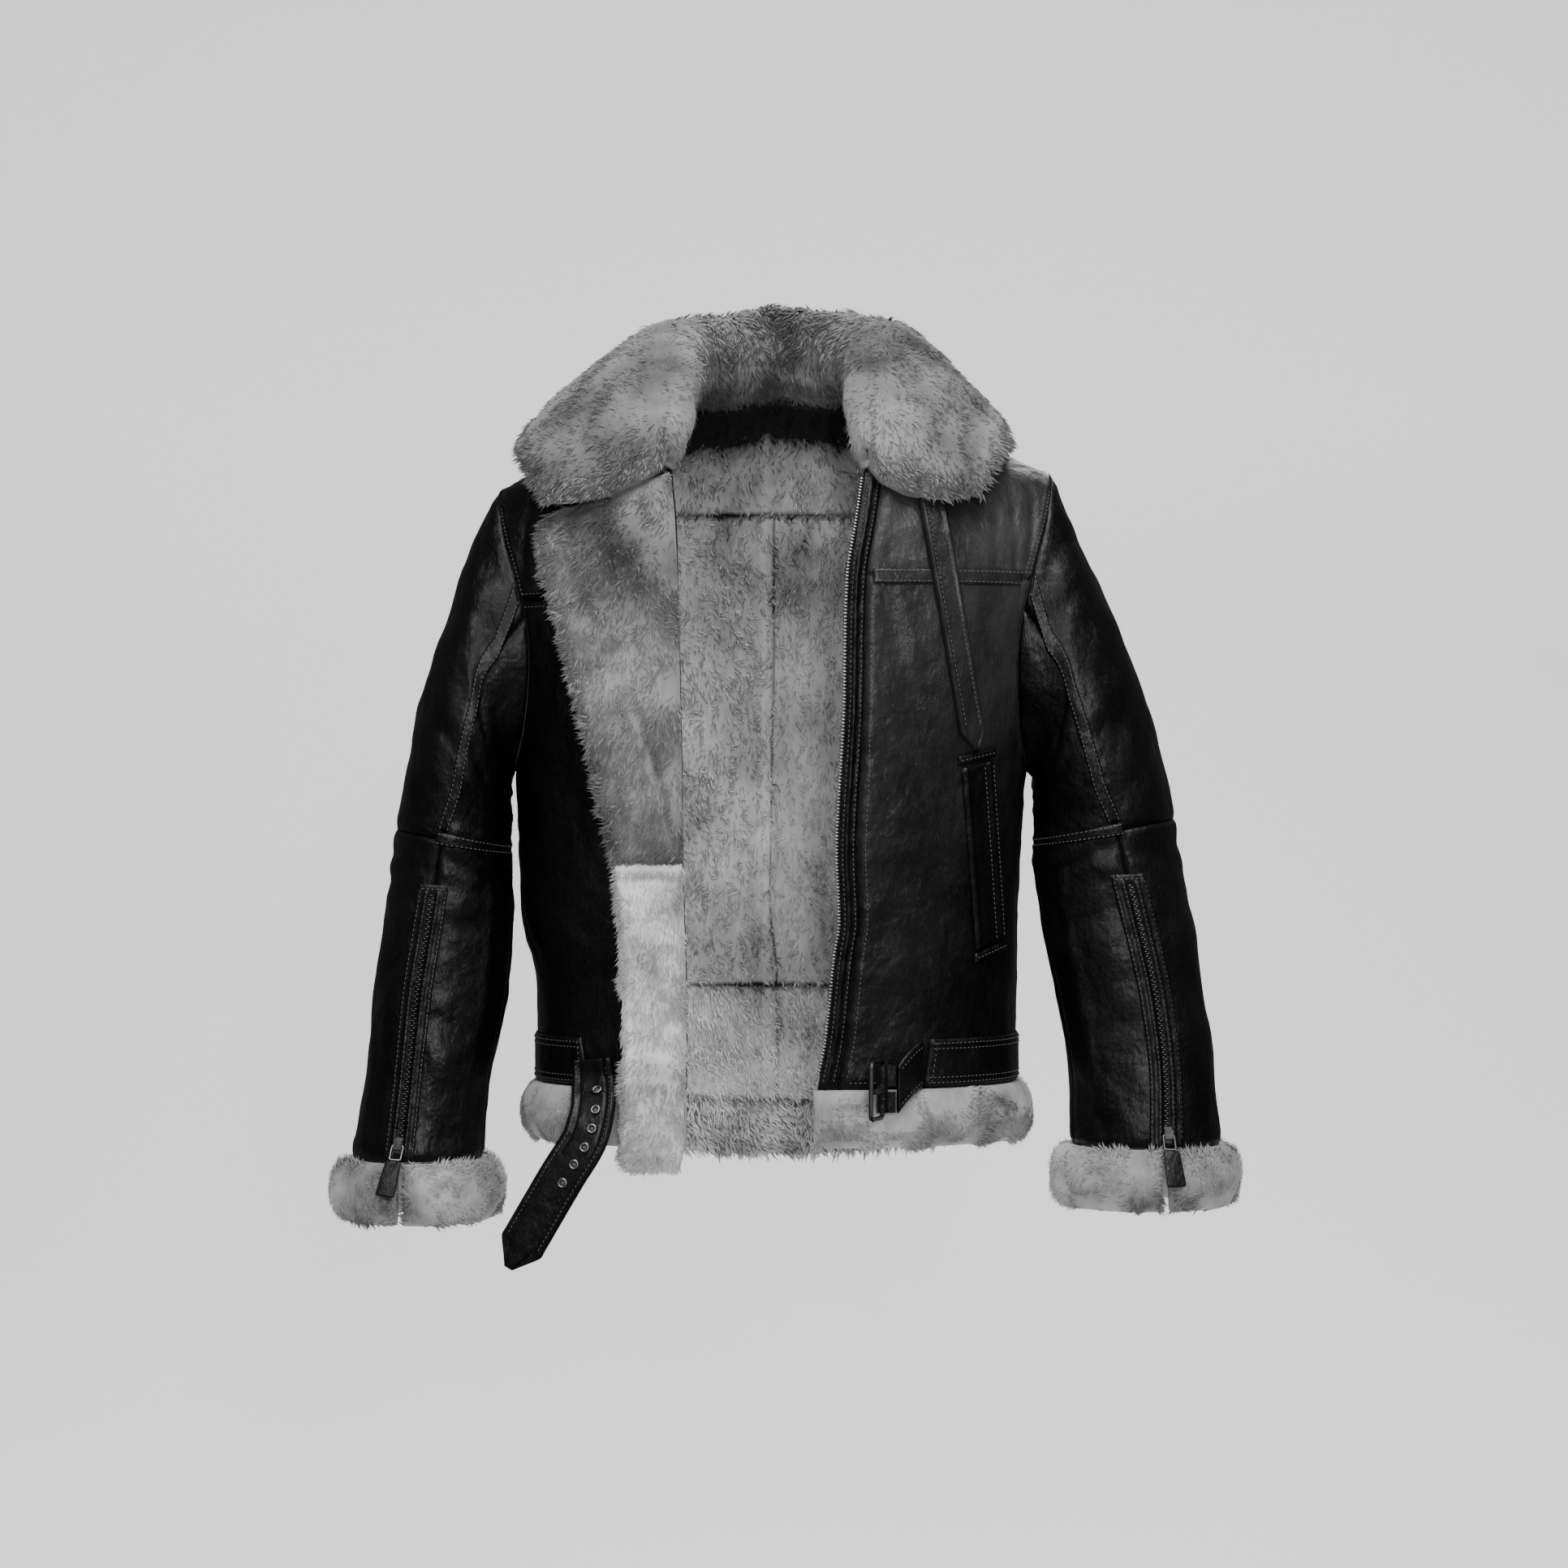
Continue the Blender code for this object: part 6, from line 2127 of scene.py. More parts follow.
            node = f"belt_tunnel_{name}"
            tunnel = Strip(node, patch, (72, 16), (24, 3), hand, self.laid_gap, self.tunnel_thick)
            skin = tunnel.dress(wardrobe)
            for level in (0.09, 0.2, 0.8, 0.91):
                stitching.sew("belt", skin, (0.01, level), (0.99, level), self.tunnel_stitch)
            stitching.sew("belt", skin, (0.025, 0.05), (0.025, 0.95), self.tunnel_stitch)
        skin = Skin(self.strap_patch, 40, 96, -1, (4, 48))
        gap = side_gap(skin) * self.belt_width
        outer = self.strap_thick * strap_swell(gap)
        outer += 1.1 * np.exp(-(((gap - 3.6) / 1.7) ** 2)) - 0.9 * np.exp(-(((gap - 8.4) / 1.2) ** 2))
        outer += fluff(skin, 131, 20.0, 0.2)
        inner = np.zeros_like(outer)
        shell("belt_strap_leather", "belt_strap", Slot.LEATHER, skin, outer, inner, (wardrobe.trim,))
        for across in (0.12, 0.88):
            height = self.strap_thick + self.stitch_proud
            stitching.sew("belt", skin, (across, 0.03), (across, 0.88), height)
        self.dress_eyelets(skin, wardrobe)
        self.dress_buckle_end(wardrobe, stitching)

    def dress_eyelets(self, skin: Skin, wardrobe: Wardrobe) -> None:
        """Six metal eyelets, each a turned ring over a thin dark disc that paints the shade inside its
        opening.

        Args:
            skin: The strap's skin.
            wardrobe: The finishes.
        """
        for number, along in enumerate(self.eyelets):
            point, normal = on_skin(skin, (self.eyelet_across, along), (1.0, 1.0))(0.0)
            lift = self.strap_thick + self.stitch_proud + self.eyelet_wire
            up = Vector((0, 0, 1))
            place = framed(point + normal * lift, up, normal)
            ring = ring_piece(f"eyelet_ring_{number + 1}", self.eyelet_radius, self.eyelet_wire, place)
            ring.data.materials.append(wardrobe.metal)
            dressed(ring, Slot.METAL, f"eyelet_{number + 1}")
            # Painted shade: a thin near-black disc inside the ring stands in for the shade within the
            # eyelet's opening.
            tool = bmesh.new()
            radius = self.eyelet_radius * MM
            bmesh.ops.create_cone(
                tool, cap_ends=True, segments=20, radius1=radius, radius2=radius, depth=self.hole_depth * MM
            )
            place = framed(point + normal * (lift - self.hole_drop), up, normal)
            bmesh.ops.transform(tool, matrix=place, verts=tool.verts[:])
            hole_shade = placed(f"eyelet_hole_shade_{number + 1}", tool, (wardrobe.thread,))
            dressed(hole_shade, Slot.LEATHER)

    def dress_buckle_end(self, wardrobe: Wardrobe, stitching: Stitching) -> None:
        """The belt's short end from its tunnel to the buckle's bar.

        Args:
            wardrobe: The finishes.
            stitching: Collects the stitches.
        """
        start = TORSO.at(-1, *self.belt_mouth) - Vector((0.0, self.belt_proud, 0.0))
        bend = Vector(self.belt_bend)
        end = Vector(self.buckle_bar) + Vector((self.belt_end, 0.0, 0.0))

        def patch(across: float, along: float) -> Vector:
            """Point of the belt's short end."""
            middle = start.lerp(bend, along).lerp(bend.lerp(end, along), along)
            return middle + Vector((0.0, 0.0, (across - 0.5) * self.belt_width))

        skin = Skin(patch, 22, 24, 1, (4, 12))
        gap = side_gap(skin) * self.belt_width
        half = self.strap_thick / 2
        outer = half * strap_swell(gap) + 0.5 * np.exp(-(((gap - 3.0) / 0.9) ** 2))
        inner = np.full_like(outer, -half)
        shell("belt_end_leather", "belt_end_left", Slot.LEATHER, skin, outer, inner, (wardrobe.trim,))
        for across in (0.13, 0.87):
            stitching.sew("belt", skin, (across, 0.05), (across, 0.95), half + 0.2)


def framed(point: Vector, first: Vector, third: Vector) -> Matrix:
    """A place in metres: third axis as given, first axis as near as it can be."""
    third = third.normalized()
    second = third.cross(first).normalized()
    place = Matrix((second.cross(third), second, third)).transposed().to_4x4()
    place.translation = point * MM
    return place


def ring_piece(name: str, radius: float, wire: float, place: Matrix) -> bpy.types.Object:
    """A turned ring.

    Args:
        name: The piece's name.
        radius: Radius of its middle circle in millimetres.
        wire: Radius of its section.
        place: Its place, its axis along Z.

    Returns:
        The ring, without a material.
    """
    tool = bmesh.new()
    circle = bmesh.ops.create_circle(tool, segments=10, radius=wire * MM)
    turned = Matrix.Translation((radius * MM, 0, 0)) @ Matrix.Rotation(math.pi / 2, 4, "X")
    bmesh.ops.transform(tool, matrix=turned, verts=circle["verts"])
    bmesh.ops.spin(
        tool, geom=tool.verts[:] + tool.edges[:], axis=(0, 0, 1), cent=(0, 0, 0), angle=math.tau,
        steps=28, use_merge=True
    )
    bmesh.ops.remove_doubles(tool, verts=tool.verts[:], dist=1e-7)
    bmesh.ops.recalc_face_normals(tool, faces=tool.faces[:])
    bmesh.ops.transform(tool, matrix=place, verts=tool.verts[:])
    return placed(name, tool, ())


# Sleeves


SLEEVE_CREASES: dict[tuple[str, str], tuple[Crease, ...]] = {
    ("upper", "outer"): crease_rows(
        (0.99, 0.1, 0.8, 0.3, 6.0, 2.4), (0.92, 0.05, 0.7, 0.22, 6.0, 1.9),
        (0.98, 0.62, 0.72, 0.7, 9.0, 1.8), (0.96, 0.86, 0.66, 0.8, 8.0, 2.0),
        (0.5, 0.95, 0.3, 0.7, 12.0, 1.7), (0.2, 0.8, 0.4, 0.5, 12.0, 1.6),
        (0.62, 0.5, 0.86, 0.42, 12.0, -1.4)
    ),
    ("upper", "inner"): crease_rows(
        (0.1, 0.3, 0.7, 0.5, 8.0, 2.2), (0.1, 0.55, 0.8, 0.66, 7.0, 2.4),
        (0.05, 0.78, 0.6, 0.84, 6.0, 2.0), (0.15, 0.42, 0.6, 0.34, 7.0, -1.5)
    ),
    ("fore", "outer"): crease_rows(
        (0.97, 0.1, 0.72, 0.22, 9.0, 2.4), (0.5, 0.04, 0.8, 0.12, 9.0, 2.2),
        (0.96, 0.42, 0.78, 0.62, 10.0, 1.8), (0.86, 0.98, 0.8, 0.7, 8.0, -1.4),
        (0.3, 0.2, 0.5, 0.5, 13.0, 1.7)
    ),
    ("fore", "inner"): crease_rows(
        (0.1, 0.08, 0.8, 0.2, 8.0, 2.6), (0.15, 0.34, 0.85, 0.42, 8.0, 2.2),
        (0.1, 0.62, 0.7, 0.7, 8.0, 1.9), (0.62, 0.1, 0.66, 0.95, 6.0, -1.8)
    )
}


@dataclass(frozen=True)
class Sleeve:
    """One sleeve: four panels, tapes, zip with its placket, fur cuff and armhole welt."""

    form: SleeveForm
    name: str
    seed: int
    wall: float = 9.0
    armhole_wall: float = 2.0
    upper_rows: int = 8
    fore_rows: int = 5
    seam_trim: float = 0.0004
    armhole_trim: float = 0.0002
    elbow_trim: float = 0.007
    tape_half: float = 0.014
    tape_end: float = 0.2
    tape_start: float = 0.06
    tape_bend: float = 0.035
    tape_stitch: float = 2.35
    placket_stitch: float = 2.4
    lip_stitch: float = 3.3
    teeth_lift: float = 2.5
    teeth_pitch: float = 2.1
    teeth_size: tuple[float, float, float] = (1.2, 3.0, 1.5)
    teeth_stagger: float = 0.8
    elbow_above: float = 0.15
    elbow_below: float = 0.12
    placket_half: float = 0.036
    laid_gap: float = 0.8
    tape_thick: float = 1.6
    cuff_bulge: float = 14.0
    cuff_skin: float = 5.0
    welt_radius: float = 3.6
    welt_depth: float = 5.0

    def moved(self, edge: Edge, side: int) -> Edge:
        """A seam's edge moved aside by its gap, which is wider near the armhole."""
        return lambda ring: edge(ring) + side * self.trim(ring)

    def trim(self, ring: float) -> float:
        """Gap at a seam, wider near the armhole."""
        return self.seam_trim + self.armhole_trim * max(0.0, 1 - ring / 2)

    def dress(self, wardrobe: Wardrobe, stitching: Stitching) -> None:
        """Build the sleeve.

        Args:
            wardrobe: The finishes.
            stitching: Collects its stitches.
        """
        form = self.form
        hand = form.hand
        under = constant(form.under_seam)
        for level, first, last in (
            ("upper", 0.0, form.elbow - self.elbow_trim),
            ("fore", form.elbow + self.elbow_trim, form.wrist)
        ):
            for part, start, end, grid in (
                ("outer", under, lambda ring: form.front_seam(ring) + 1, (62, 58)),
                ("inner", form.front_seam, under, (28, 58))
            ):
                patch = form.panel(self.moved(start, 1), self.moved(end, -1), first, last)
                self.dress_panel(patch, level, part, grid, wardrobe)
        self.dress_tapes(wardrobe, stitching)
        self.dress_zip(wardrobe, stitching)
        self.dress_cuff(wardrobe)
        self.dress_welt(wardrobe)
        LOG.info("sleeve %s done", hand)

    def dress_panel(
        self, patch: Patch, level: str, part: str, grid: tuple[int, int], wardrobe: Wardrobe
    ) -> None:
        """One panel of the sleeve.

        Args:
            patch: Its patch of the form.
            level: "upper" or "fore".
            part: "outer" or "inner".
            grid: Fine columns and rows.
            wardrobe: The finishes.
        """
        node = f"sleeve_{level}_{part}_{self.name}"
        skin = Skin(patch, *grid, self.form.hand, (grid[0] // 3, 24))
        seed = self.seed + len(node)
        near = smooth_step(skin.edge_gap(), 0.0, 14.0)
        outer = (fluff(skin, seed, 40.0, 1.5) + fluff(skin, seed + 3, 15.0, 0.4)) * near
        press(outer, skin, SLEEVE_CREASES[level, part], near)
        outer += seam_roll(skin, 1.1, 0.6)
        full = np.clip(skin.along * self.upper_rows, 0, 1) if level == "upper" else 1.0
        outer = np.where(skin.along < 0.02, np.minimum(outer, 0.0), outer) if level == "upper" else outer
        inner = -mix(self.armhole_wall, self.wall, full) * np.ones_like(outer)
        finishes = (wardrobe.leather, wardrobe.lining)
        shell(f"{node}_hide", node, Slot.LEATHER, skin, outer, inner, finishes, 0.2)

    def dress_tapes(self, wardrobe: Wardrobe, stitching: Stitching) -> None:
        """The taped front seam and the elbow tape, stitched along both edges.

        Args:
            wardrobe: The finishes.
            stitching: Collects the stitches.
        """
        form = self.form
        start = (form.elbow - self.elbow_trim) / self.upper_rows
        first = self.tape_start
        last = form.elbow - self.tape_end

        def seam(across: float, along: float) -> Vector:
            """Point of the seam tape."""
            ring = mix(first, last, along)
            straight = self.tape_bend * max(0.0, 1 - ring / start)
            middle = form.front_seam(ring) - straight
            return form.point(middle + mix(-self.tape_half, self.tape_half, across), ring)

        laid = (form.hand, self.laid_gap, self.tape_thick)
        tape = Strip(f"seam_tape_{self.name}", seam, (12, 104), (4, 34), *laid).dress(wardrobe)
        across = form.panel(
            lambda ring: form.front_seam(ring) - self.tape_half, constant(form.under_seam),
            form.elbow - self.elbow_above, form.elbow + self.elbow_below
        )
        elbow = Strip(f"elbow_tape_{self.name}", across, (60, 10), (18, 3), *laid).dress(wardrobe)
        for share in (0.14, 0.86):
            stitching.sew("sleeves", tape, (share, 0.0), (share, 1.0), self.tape_stitch)
            stitching.sew("sleeves", elbow, (0.0, share), (1.0, share), self.tape_stitch)

    def zip_line(self, first: float, last: float, lift: float) -> Callable:
        """The cuff zip's line down the placket."""

        def line(part: float) -> tuple[Vector, Vector]:
            """Point and normal of the zip's line."""
            ring = mix(first, last, part)
            share = self.form.front_seam(ring)
            side = self.form.point(share + 0.002, ring) - self.form.point(share - 0.002, ring)
            rise = self.form.point(share, ring + 0.02) - self.form.point(share, ring - 0.02)
            normal = side.cross(rise).normalized() * self.form.hand
            return self.form.point(share, ring) + normal * lift, normal

        return line

    def dress_zip(self, wardrobe: Wardrobe, stitching: Stitching) -> None:
        """The placket with its two lips and the closed zip between them.

        Args:
            wardrobe: The finishes.
            stitching: Collects the stitches.
        """
        form = self.form
        top = form.elbow + self.elbow_trim + (form.wrist - form.elbow - self.elbow_trim) / self.fore_rows
        end = form.wrist - self.seam_trim

        def patch(across: float, along: float) -> Vector:
            """Point of the placket."""
            ring = mix(top, end, along)
            half = self.placket_half
            return form.point(form.front_seam(ring) + mix(-half, half, across), ring)

        skin = Skin(patch, 40, 70, form.hand, (6, 24))
        middle = np.abs(skin.across - 0.5) * skin.width
        outer = self.laid_gap + self.tape_thick * (0.5 + 0.5 * smooth_step(skin.edge_gap(), 0.0, 1.6))
        closed = smooth_step(skin.along, 0.02, 0.06)
        outer += closed * (1.5 * np.exp(-(((middle - 5.6) / 1.9) ** 2)) - 1.0 * (middle < 3.4))
        outer += 0.6 * np.exp(-(((middle - 12.5) / 1.6) ** 2))
        inner = np.full_like(outer, self.laid_gap)
        name = f"zip_placket_leather_{self.name}"
        node = f"zip_placket_{self.name}"
        shell(name, node, Slot.LEATHER, skin, outer, inner, (wardrobe.trim,))
        for share in (0.06, 0.3, 0.7, 0.94):
            height = self.lip_stitch if 0.2 < share < 0.8 else self.placket_stitch
            stitching.sew("sleeves", skin, (share, 0.03), (share, 0.97), height)
        stitching.sew("sleeves", skin, (0.06, 0.025), (0.94, 0.025), self.placket_stitch)
        run = Run(self.zip_line(top + 0.2, form.wrist - 0.15, self.teeth_lift), self.teeth_pitch)
        name = f"cuff_zip_teeth_{self.name}"
        finish = wardrobe.dark_metal
        beaded(name, "tooth", run, self.teeth_size, finish, Slot.METAL, self.teeth_stagger)

    def dress_welt(self, wardrobe: Wardrobe) -> None:
        """Covered cord down in the armhole seam, which keeps the light out."""
        steps = 96
        curve = bpy.data.curves.new(f"armhole_cord_{self.name}", "CURVE")
        curve.dimensions = "3D"
        curve.bevel_depth = self.welt_radius * MM
        curve.bevel_resolution = 2
        line = curve.splines.new("POLY")
        line.points.add(steps - 1)
        line.use_cyclic_u = True
        for step in range(steps):
            point = self.form.armhole_point(step / steps)
            inward = Vector((-point.x, -point.y, -20.0)).normalized()
            line.points[step].co = ((point + inward * self.welt_depth) * MM).to_4d()
        cord = bpy.data.objects.new(curve.name, curve)
        mesh = bpy.data.meshes.new_from_object(cord)
        tool = bmesh.new()
        tool.from_mesh(mesh)
        bpy.data.objects.remove(cord)
        bpy.data.meshes.remove(mesh)
        bpy.data.curves.remove(curve)
        dressed(placed(f"armhole_welt_{self.name}", tool, (wardrobe.leather,)), Slot.LEATHER)

    def dress_cuff(self, wardrobe: Wardrobe) -> None:
        """The fur cuff, split at the zip."""
        skin = Skin(self.form.cuff(), 132, 22, self.form.hand, (66, 6))
        near_split = 0.2 + 0.8 * np.sqrt(np.clip(side_gap(skin) / 0.045, 0.0, 1.0))
        round_off = rounded(skin)
        outer = (self.cuff_skin + self.cuff_bulge * round_off) * near_split
        outer += fluff(skin, self.seed + 40, 18.0, 1.8) * round_off * near_split
        inner = -(self.wall - 1 + 3 * round_off)
        name = f"cuff_wool_{self.name}"
        shell(name, f"cuff_{self.name}", Slot.FLEECE, skin, outer, inner, (wardrobe.hem,))

        def comb(across: np.ndarray, along: np.ndarray) -> tuple[np.ndarray, np.ndarray]:
            """Away from the split, and out over both edges of the band."""
            ends = toward_ends(across, 0.05)
            middle = smooth_step(np.minimum(along, 1 - along), 0.08, 0.3)
            return 0.8 - 1.7 * ends, (along - 0.5) * 1.6 * middle - 0.1

        locks = Locks(8000, self.seed + 41, length=6.6, width=2.0, lift=16.0, clump=15.0, swirl=80.0)
        dense = 1.0 + 1.0 * (skin.along > 0.9) + 0.8 * (skin.along < 0.1)
        locks.grow(f"cuff_locks_{self.name}", skin, outer, comb, wardrobe.hem, dense)


@dataclass(frozen=True)
class Pull:
    """One cuff zip's pull: its leather tab with a rivet, beside the slider and the link."""

    form: SleeveForm
    name: str
    place: float = 0.972
    proud: float = 2.7
    hinge_down: float = 7.4
    hinge_out: float = 3.95
    tilt: float = 20.0
    tab_start: float = 14.05
    tab_length: float = 33.0
    half_width: float = 8.5
    thick: float = 3.0
    corner_round: float = 2.4
    rim_round: float = 0.8
    rivet_place: float = 6.0
    rivet_radius: float = 3.0
    rivet_flat: float = 0.55

    def dress(self, wardrobe: Wardrobe) -> None:
        """Build the tab and its rivet.

        Args:
            wardrobe: The finishes.
        """
        form = self.form
        ring = self.place * form.wrist
        share = form.front_seam(ring)
        point = form.point(share, ring)
        rise = form.point(share, ring + 0.1) - form.point(share, ring - 0.1)
        side = form.point(share + 0.002, ring) - form.point(share - 0.002, ring)
        outward = side.cross(rise).normalized() * form.hand
        down = rise.normalized()
        sideways = down.cross(outward).normalized()
        outward = sideways.cross(down)
        hinge = point + outward * (self.proud + self.hinge_out) + down * self.hinge_down
        hang = Matrix.Rotation(math.radians(self.tilt), 3, sideways) @ down
        place = framed(hinge, hang, sideways.cross(hang) * -1)
        tool = bmesh.new()
        bmesh.ops.create_cube(tool, size=1.0)
        for vertex in tool.verts:
            narrow = 0.8 if vertex.co.x < 0 else 1.0
            along = self.tab_start + (vertex.co.x + 0.5) * self.tab_length
            across = vertex.co.y * 2 * self.half_width * narrow
            vertex.co = Vector((along, across, vertex.co.z * self.thick)) * MM
        corners = [edge for edge in tool.edges if abs(edge.verts[0].co.z - edge.verts[1].co.z) > 2 * MM]
        self.round_edges(tool, corners, self.corner_round, 4)
        rims = [edge for edge in tool.edges if edge.calc_face_angle(0.0) > 0.9]
        self.round_edges(tool, rims, self.rim_round, 3)
        bmesh.ops.transform(tool, matrix=place, verts=tool.verts[:])
        tab = placed(f"pull_tab_leather_{self.name}", tool, (wardrobe.trim,))
        body = f"pull_{self.name}"
        dressed(tab, Slot.LEATHER, f"pull_tab_{self.name}", body=body)
        rivet = bmesh.new()
        bmesh.ops.create_uvsphere(rivet, u_segments=18, v_segments=10, radius=self.rivet_radius * MM)
        squash = Matrix.Diagonal((1.0, 1.0, self.rivet_flat, 1.0))
        spot = Vector((self.tab_start + self.rivet_place, 0.0, self.thick / 2))
        lift = Matrix.Translation(spot * MM)
        bmesh.ops.transform(rivet, matrix=place @ lift @ squash, verts=rivet.verts[:])
        dressed(placed(f"pull_rivet_{self.name}", rivet, (wardrobe.bright,)), Slot.METAL, body=body)

    @staticmethod
    def round_edges(tool: bmesh.types.BMesh, edges: list, offset: float, segments: int) -> None:
        """Round some edges of a small piece."""
        bmesh.ops.bevel(
            tool, geom=edges, offset=offset * MM, segments=segments, profile=0.5, affect="EDGES",
            material=-1
        )


@dataclass(frozen=True)
class MainZip:
    """The open front's zip teeth along the free edge of the wearer's left front."""

    front: Front
    low: float = -512.0
    high: float = 0.0
    pitch: float = 2.9
    out: float = 1.8
    teeth_lift: float = -1.4
    teeth_size: tuple[float, float, float] = (1.7, 3.8, 2.8)
    cord_out: float = 0.8
    cord_lift: float = -3.2
    cord_pitch: float = 3.2
    cord_size: tuple[float, float, float] = (4.6, 2.2, 2.2)

    def line(self, beside: float, lift: float) -> Callable:
        """A line along the zip's edge.

        Args:
            beside: Distance from the facing's edge, towards the opening.
            lift: Height over the form.

        Returns:
            Point and normal by share of the line.
        """

        def reading(part: float) -> tuple[Vector, Vector]:
            """Point and normal of the line."""
            height = mix(self.low, self.high, part)
            across = read(self.front.zip_edge, height)[0]
            point = TORSO.at(-1, across - beside, height)
            side = TORSO.at(-1, across + 2.0, height) - TORSO.at(-1, across, height)
            rise = TORSO.at(-1, across, height + 2.0) - TORSO.at(-1, across, height)
            normal = side.cross(rise).normalized()
            return point + normal * lift, normal

        return reading

    def dress(self, wardrobe: Wardrobe) -> None:
        """Build the tape's edge cord and the teeth."""
        teeth = Run(self.line(self.out, self.teeth_lift), self.pitch)
        beaded("main_zip_teeth", "tooth", teeth, self.teeth_size, wardrobe.metal, Slot.METAL)
        cord = Run(self.line(self.cord_out, self.cord_lift), self.cord_pitch)
        beaded("main_zip_cord", "stitch", cord, self.cord_size, wardrobe.thread, Slot.LEATHER)


SEAM_STITCH = 0.9


def stitch_seams(skins: dict[str, Skin], stitching: Stitching) -> None:
    """Lines of stitches beside the body's seams.

    Args:
        skins: Skins of the leather pieces by name.
        stitching: Collects the stitches.
    """
    lines = (
        ("front_yoke_right", (0.02, 0.03), (0.98, 0.03)),
        ("front_panel_right", (0.02, 0.985), (0.98, 0.985)),
        ("front_panel_left", (0.03, 0.012), (0.97, 0.012)),
        ("front_panel_right", (0.03, 0.012), (0.97, 0.012)),
        ("front_panel_left", (0.025, 0.02), (0.025, 0.99)), ("zip_facing_left", (0.8, 0.01), (0.8, 0.99)),
        ("zip_facing_left", (0.2, 0.01), (0.2, 0.99)), ("front_yoke_left", (0.97, 0.02), (0.97, 0.6)),
        ("front_yoke_left", (0.93, 0.02), (0.93, 0.6)), ("front_yoke_right", (0.03, 0.02), (0.03, 0.6)),
        ("back_yoke", (0.02, 0.03), (0.98, 0.03)), ("back_upper_left", (0.02, 0.985), (0.98, 0.985)),
        ("back_upper_right", (0.02, 0.985), (0.98, 0.985)),
        ("back_upper_left", (0.02, 0.015), (0.98, 0.015)),
        ("back_upper_right", (0.02, 0.015), (0.98, 0.015))
    )
    for name, start, end in lines:
        stitching.sew("seams", skins[name], start, end, SEAM_STITCH)


def coat_solids(frame: dict, wardrobe: Wardrobe) -> None:
    """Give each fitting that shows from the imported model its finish.

    Args:
        wardrobe: The finishes.
    """
    for name, node in frame["nodes"].items():
        if name.startswith(("zip_slider", "pull_link", "buckle", "belt_loop")):
            leather = name.startswith("belt_loop")
            node.data.materials.clear()
            plain_metal = wardrobe.dark_metal if name.startswith("buckle") else wardrobe.metal
            node.data.materials.append(wardrobe.trim if leather else plain_metal)


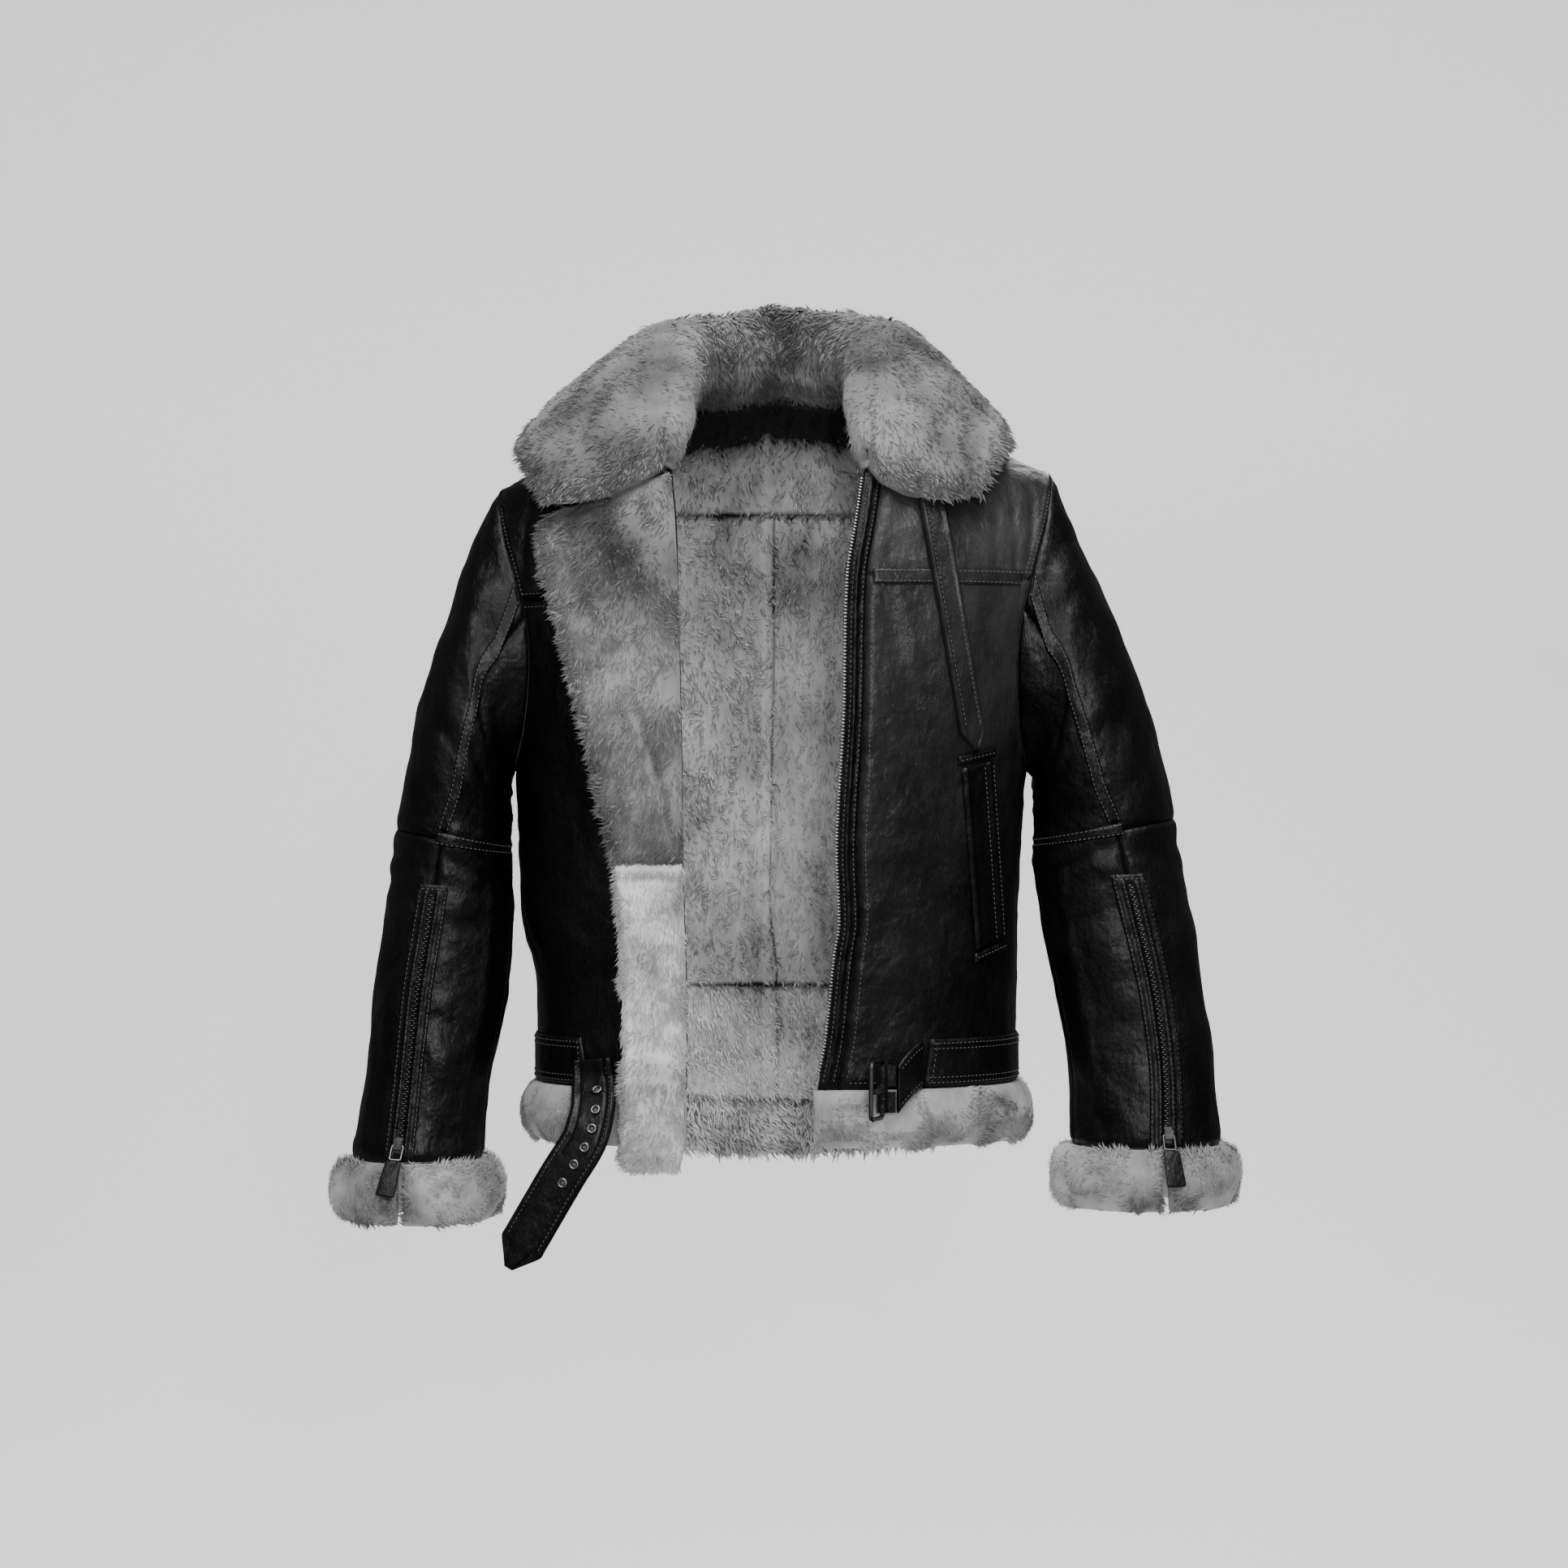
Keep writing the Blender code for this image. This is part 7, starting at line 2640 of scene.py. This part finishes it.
@dataclass(frozen=True)
class Studio:
    """Pale swept floor, soft lights and the camera."""

    floor: float = -1.45
    half_width: float = 8.0
    front: float = -8.0
    bend_start: float = 2.7
    bend: float = 2.0
    wall_top: float = 6.5
    camera_place: tuple[float, float, float] = (0.0094, -3.2, -0.2635)
    view_width: float = 1.391
    aim: float = -0.3
    turns: int = 12
    paper: float = 0.8
    paper_glow: float = 0.62
    room_light: float = 0.085
    backdrop: float = 0.72
    sensor: float = 36.0
    lamps: tuple = (
        ("key_light", (-1.3, -2.7, 2.2), 0.7, 44.0), ("chest_light", (0.9, -2.3, 2.5), 0.7, 52.0),
        ("front_light", (0.4, -4.4, 0.55), 0.45, 80.0), ("top_light", (0.3, -0.9, 2.4), 0.9, 68.0),
        ("back_light", (0.6, 3.0, 2.2), 1.4, 60.0)
    )

    def sweep(self) -> bpy.types.Object:
        """The floor that curves up behind the jacket."""
        profile = [(self.front, self.floor), (self.bend_start, self.floor)]
        for step in range(1, self.turns):
            angle = math.pi / 2 * step / self.turns
            rise = self.bend * (1 - math.cos(angle))
            profile.append((self.bend_start + self.bend * math.sin(angle), self.floor + rise))
        wall = self.bend_start + self.bend
        profile += [(wall, self.floor + self.bend), (wall, self.wall_top)]
        tool = bmesh.new()
        rows = []
        for y, z in profile:
            rows.append([tool.verts.new((x, y, z)) for x in (-self.half_width, self.half_width)])
        for low, high in zip(rows, rows[1:]):
            tool.faces.new((low[0], low[1], high[1], high[0]))
        tree = Tree("studio_paper")
        paper = tree.finish(
            {
                "Base Color": grey(self.paper), "Roughness": 1.0, "Specular IOR Level": 0.0,
                "Emission Color": grey(1.0), "Emission Strength": self.paper_glow
            }
        )
        sweep = placed("studio_sweep", tool, (paper,))
        sweep.visible_glossy = False
        return sweep

    def light(
        self, name: str, place: tuple[float, float, float], size: float, power: float
    ) -> bpy.types.Object:
        """One soft area light aimed at the jacket."""
        data = bpy.data.lights.new(name, "AREA")
        data.shape = "DISK"
        data.size = size
        data.energy = power
        lamp = bpy.data.objects.new(name, data)
        lamp.location = place
        look = Vector((0.0, 0.0, self.aim)) - Vector(place)
        lamp.rotation_euler = look.to_track_quat("-Z", "Y").to_euler()
        bpy.context.scene.collection.objects.link(lamp)
        return lamp

    def build(self) -> None:
        """Build the stage, the lights, the world and the camera."""
        lamps = [self.light(*lamp) for lamp in self.lamps]
        self.sweep()
        world = bpy.data.worlds.new("studio_world")
        world.use_nodes = True
        nodes = world.node_tree.nodes
        room = nodes["Background"]
        room.inputs["Color"].default_value = grey(1.0)
        room.inputs["Strength"].default_value = self.room_light
        paper_colour = nodes.new("ShaderNodeBackground")
        paper_colour.inputs["Color"].default_value = grey(1.0)
        paper_colour.inputs["Strength"].default_value = self.backdrop
        rays = nodes.new("ShaderNodeLightPath")
        chosen = nodes.new("ShaderNodeMixShader")
        links = world.node_tree.links
        links.new(rays.outputs["Is Camera Ray"], chosen.inputs[0])
        links.new(room.outputs[0], chosen.inputs[1])
        links.new(paper_colour.outputs[0], chosen.inputs[2])
        links.new(chosen.outputs[0], nodes["World Output"].inputs["Surface"])
        bpy.context.scene.world = world
        data = bpy.data.cameras.new("camera")
        data.sensor_width = self.sensor
        data.lens = data.sensor_width * -self.camera_place[1] / self.view_width
        camera = bpy.data.objects.new("camera", data)
        camera.location = self.camera_place
        camera.rotation_euler = (math.pi / 2, 0.0, 0.0)
        bpy.context.scene.collection.objects.link(camera)
        bpy.context.scene.camera = camera


LEFT_SLEEVE = SleeveForm(
    1,
    (
        (268, -42, 230, -259, 0, 80), (293, -98, 230, -269, 0, 84), (316, -152, 230, -280, -1, 84),
        (338, -216, 230, -294, -2, 82), (353, -283, 230, -311, -4, 77), (361, -331, 230, -339, -8, 72),
        (370, -382, 236, -382, -13, 67), (379, -452, 250, -452, -22, 62), (387, -513, 260, -513, -30, 59),
        (392, -577, 261, -577, -36, 60)
    )
)
RIGHT_SLEEVE = SleeveForm(
    -1,
    (
        (270, -58, 232, -259, 0, 80), (290, -118, 232, -270, 0, 84), (308, -172, 232, -282, -1, 84),
        (320, -222, 232, -297, -2, 82), (332, -292, 232, -317, -4, 77), (338, -340, 231, -348, -8, 72),
        (345, -388, 230, -390, -13, 67), (352, -450, 234, -452, -22, 62), (357, -515, 247, -515, -30, 59),
        (369, -589, 254, -589, -37, 60)
    )
)


def count_triangles(piece: bpy.types.Object) -> int:
    """Triangles of a piece's mesh."""
    return sum(len(face.vertices) - 2 for face in piece.data.polygons)


def main() -> None:
    """Build the jacket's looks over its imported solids."""
    logging.basicConfig(level=logging.INFO, format="%(message)s")
    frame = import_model()
    wardrobe = Wardrobe()
    stitching = Stitching()
    front = Front()
    skins = front.dress(wardrobe)
    skins.update(Back().dress(wardrobe))
    Hem().dress(front, wardrobe)
    Collar().dress(wardrobe)
    for form, name, seed in ((LEFT_SLEEVE, "left", 500), (RIGHT_SLEEVE, "right", 600)):
        Sleeve(form, name, seed).dress(wardrobe, stitching)
        Pull(form, name).dress(wardrobe)
    Trims().dress(wardrobe, stitching)
    MainZip(front).dress(wardrobe)
    stitch_seams(skins, stitching)
    stitching.finish(wardrobe)
    coat_solids(frame, wardrobe)
    Studio().build()
    added = [piece for piece in bpy.context.scene.objects if piece.type == "MESH"]
    own = [piece for piece in added if "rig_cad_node" not in piece]
    LOG.info("triangles added %d", sum(count_triangles(piece) for piece in own))


if __name__ == "__main__":
    main()
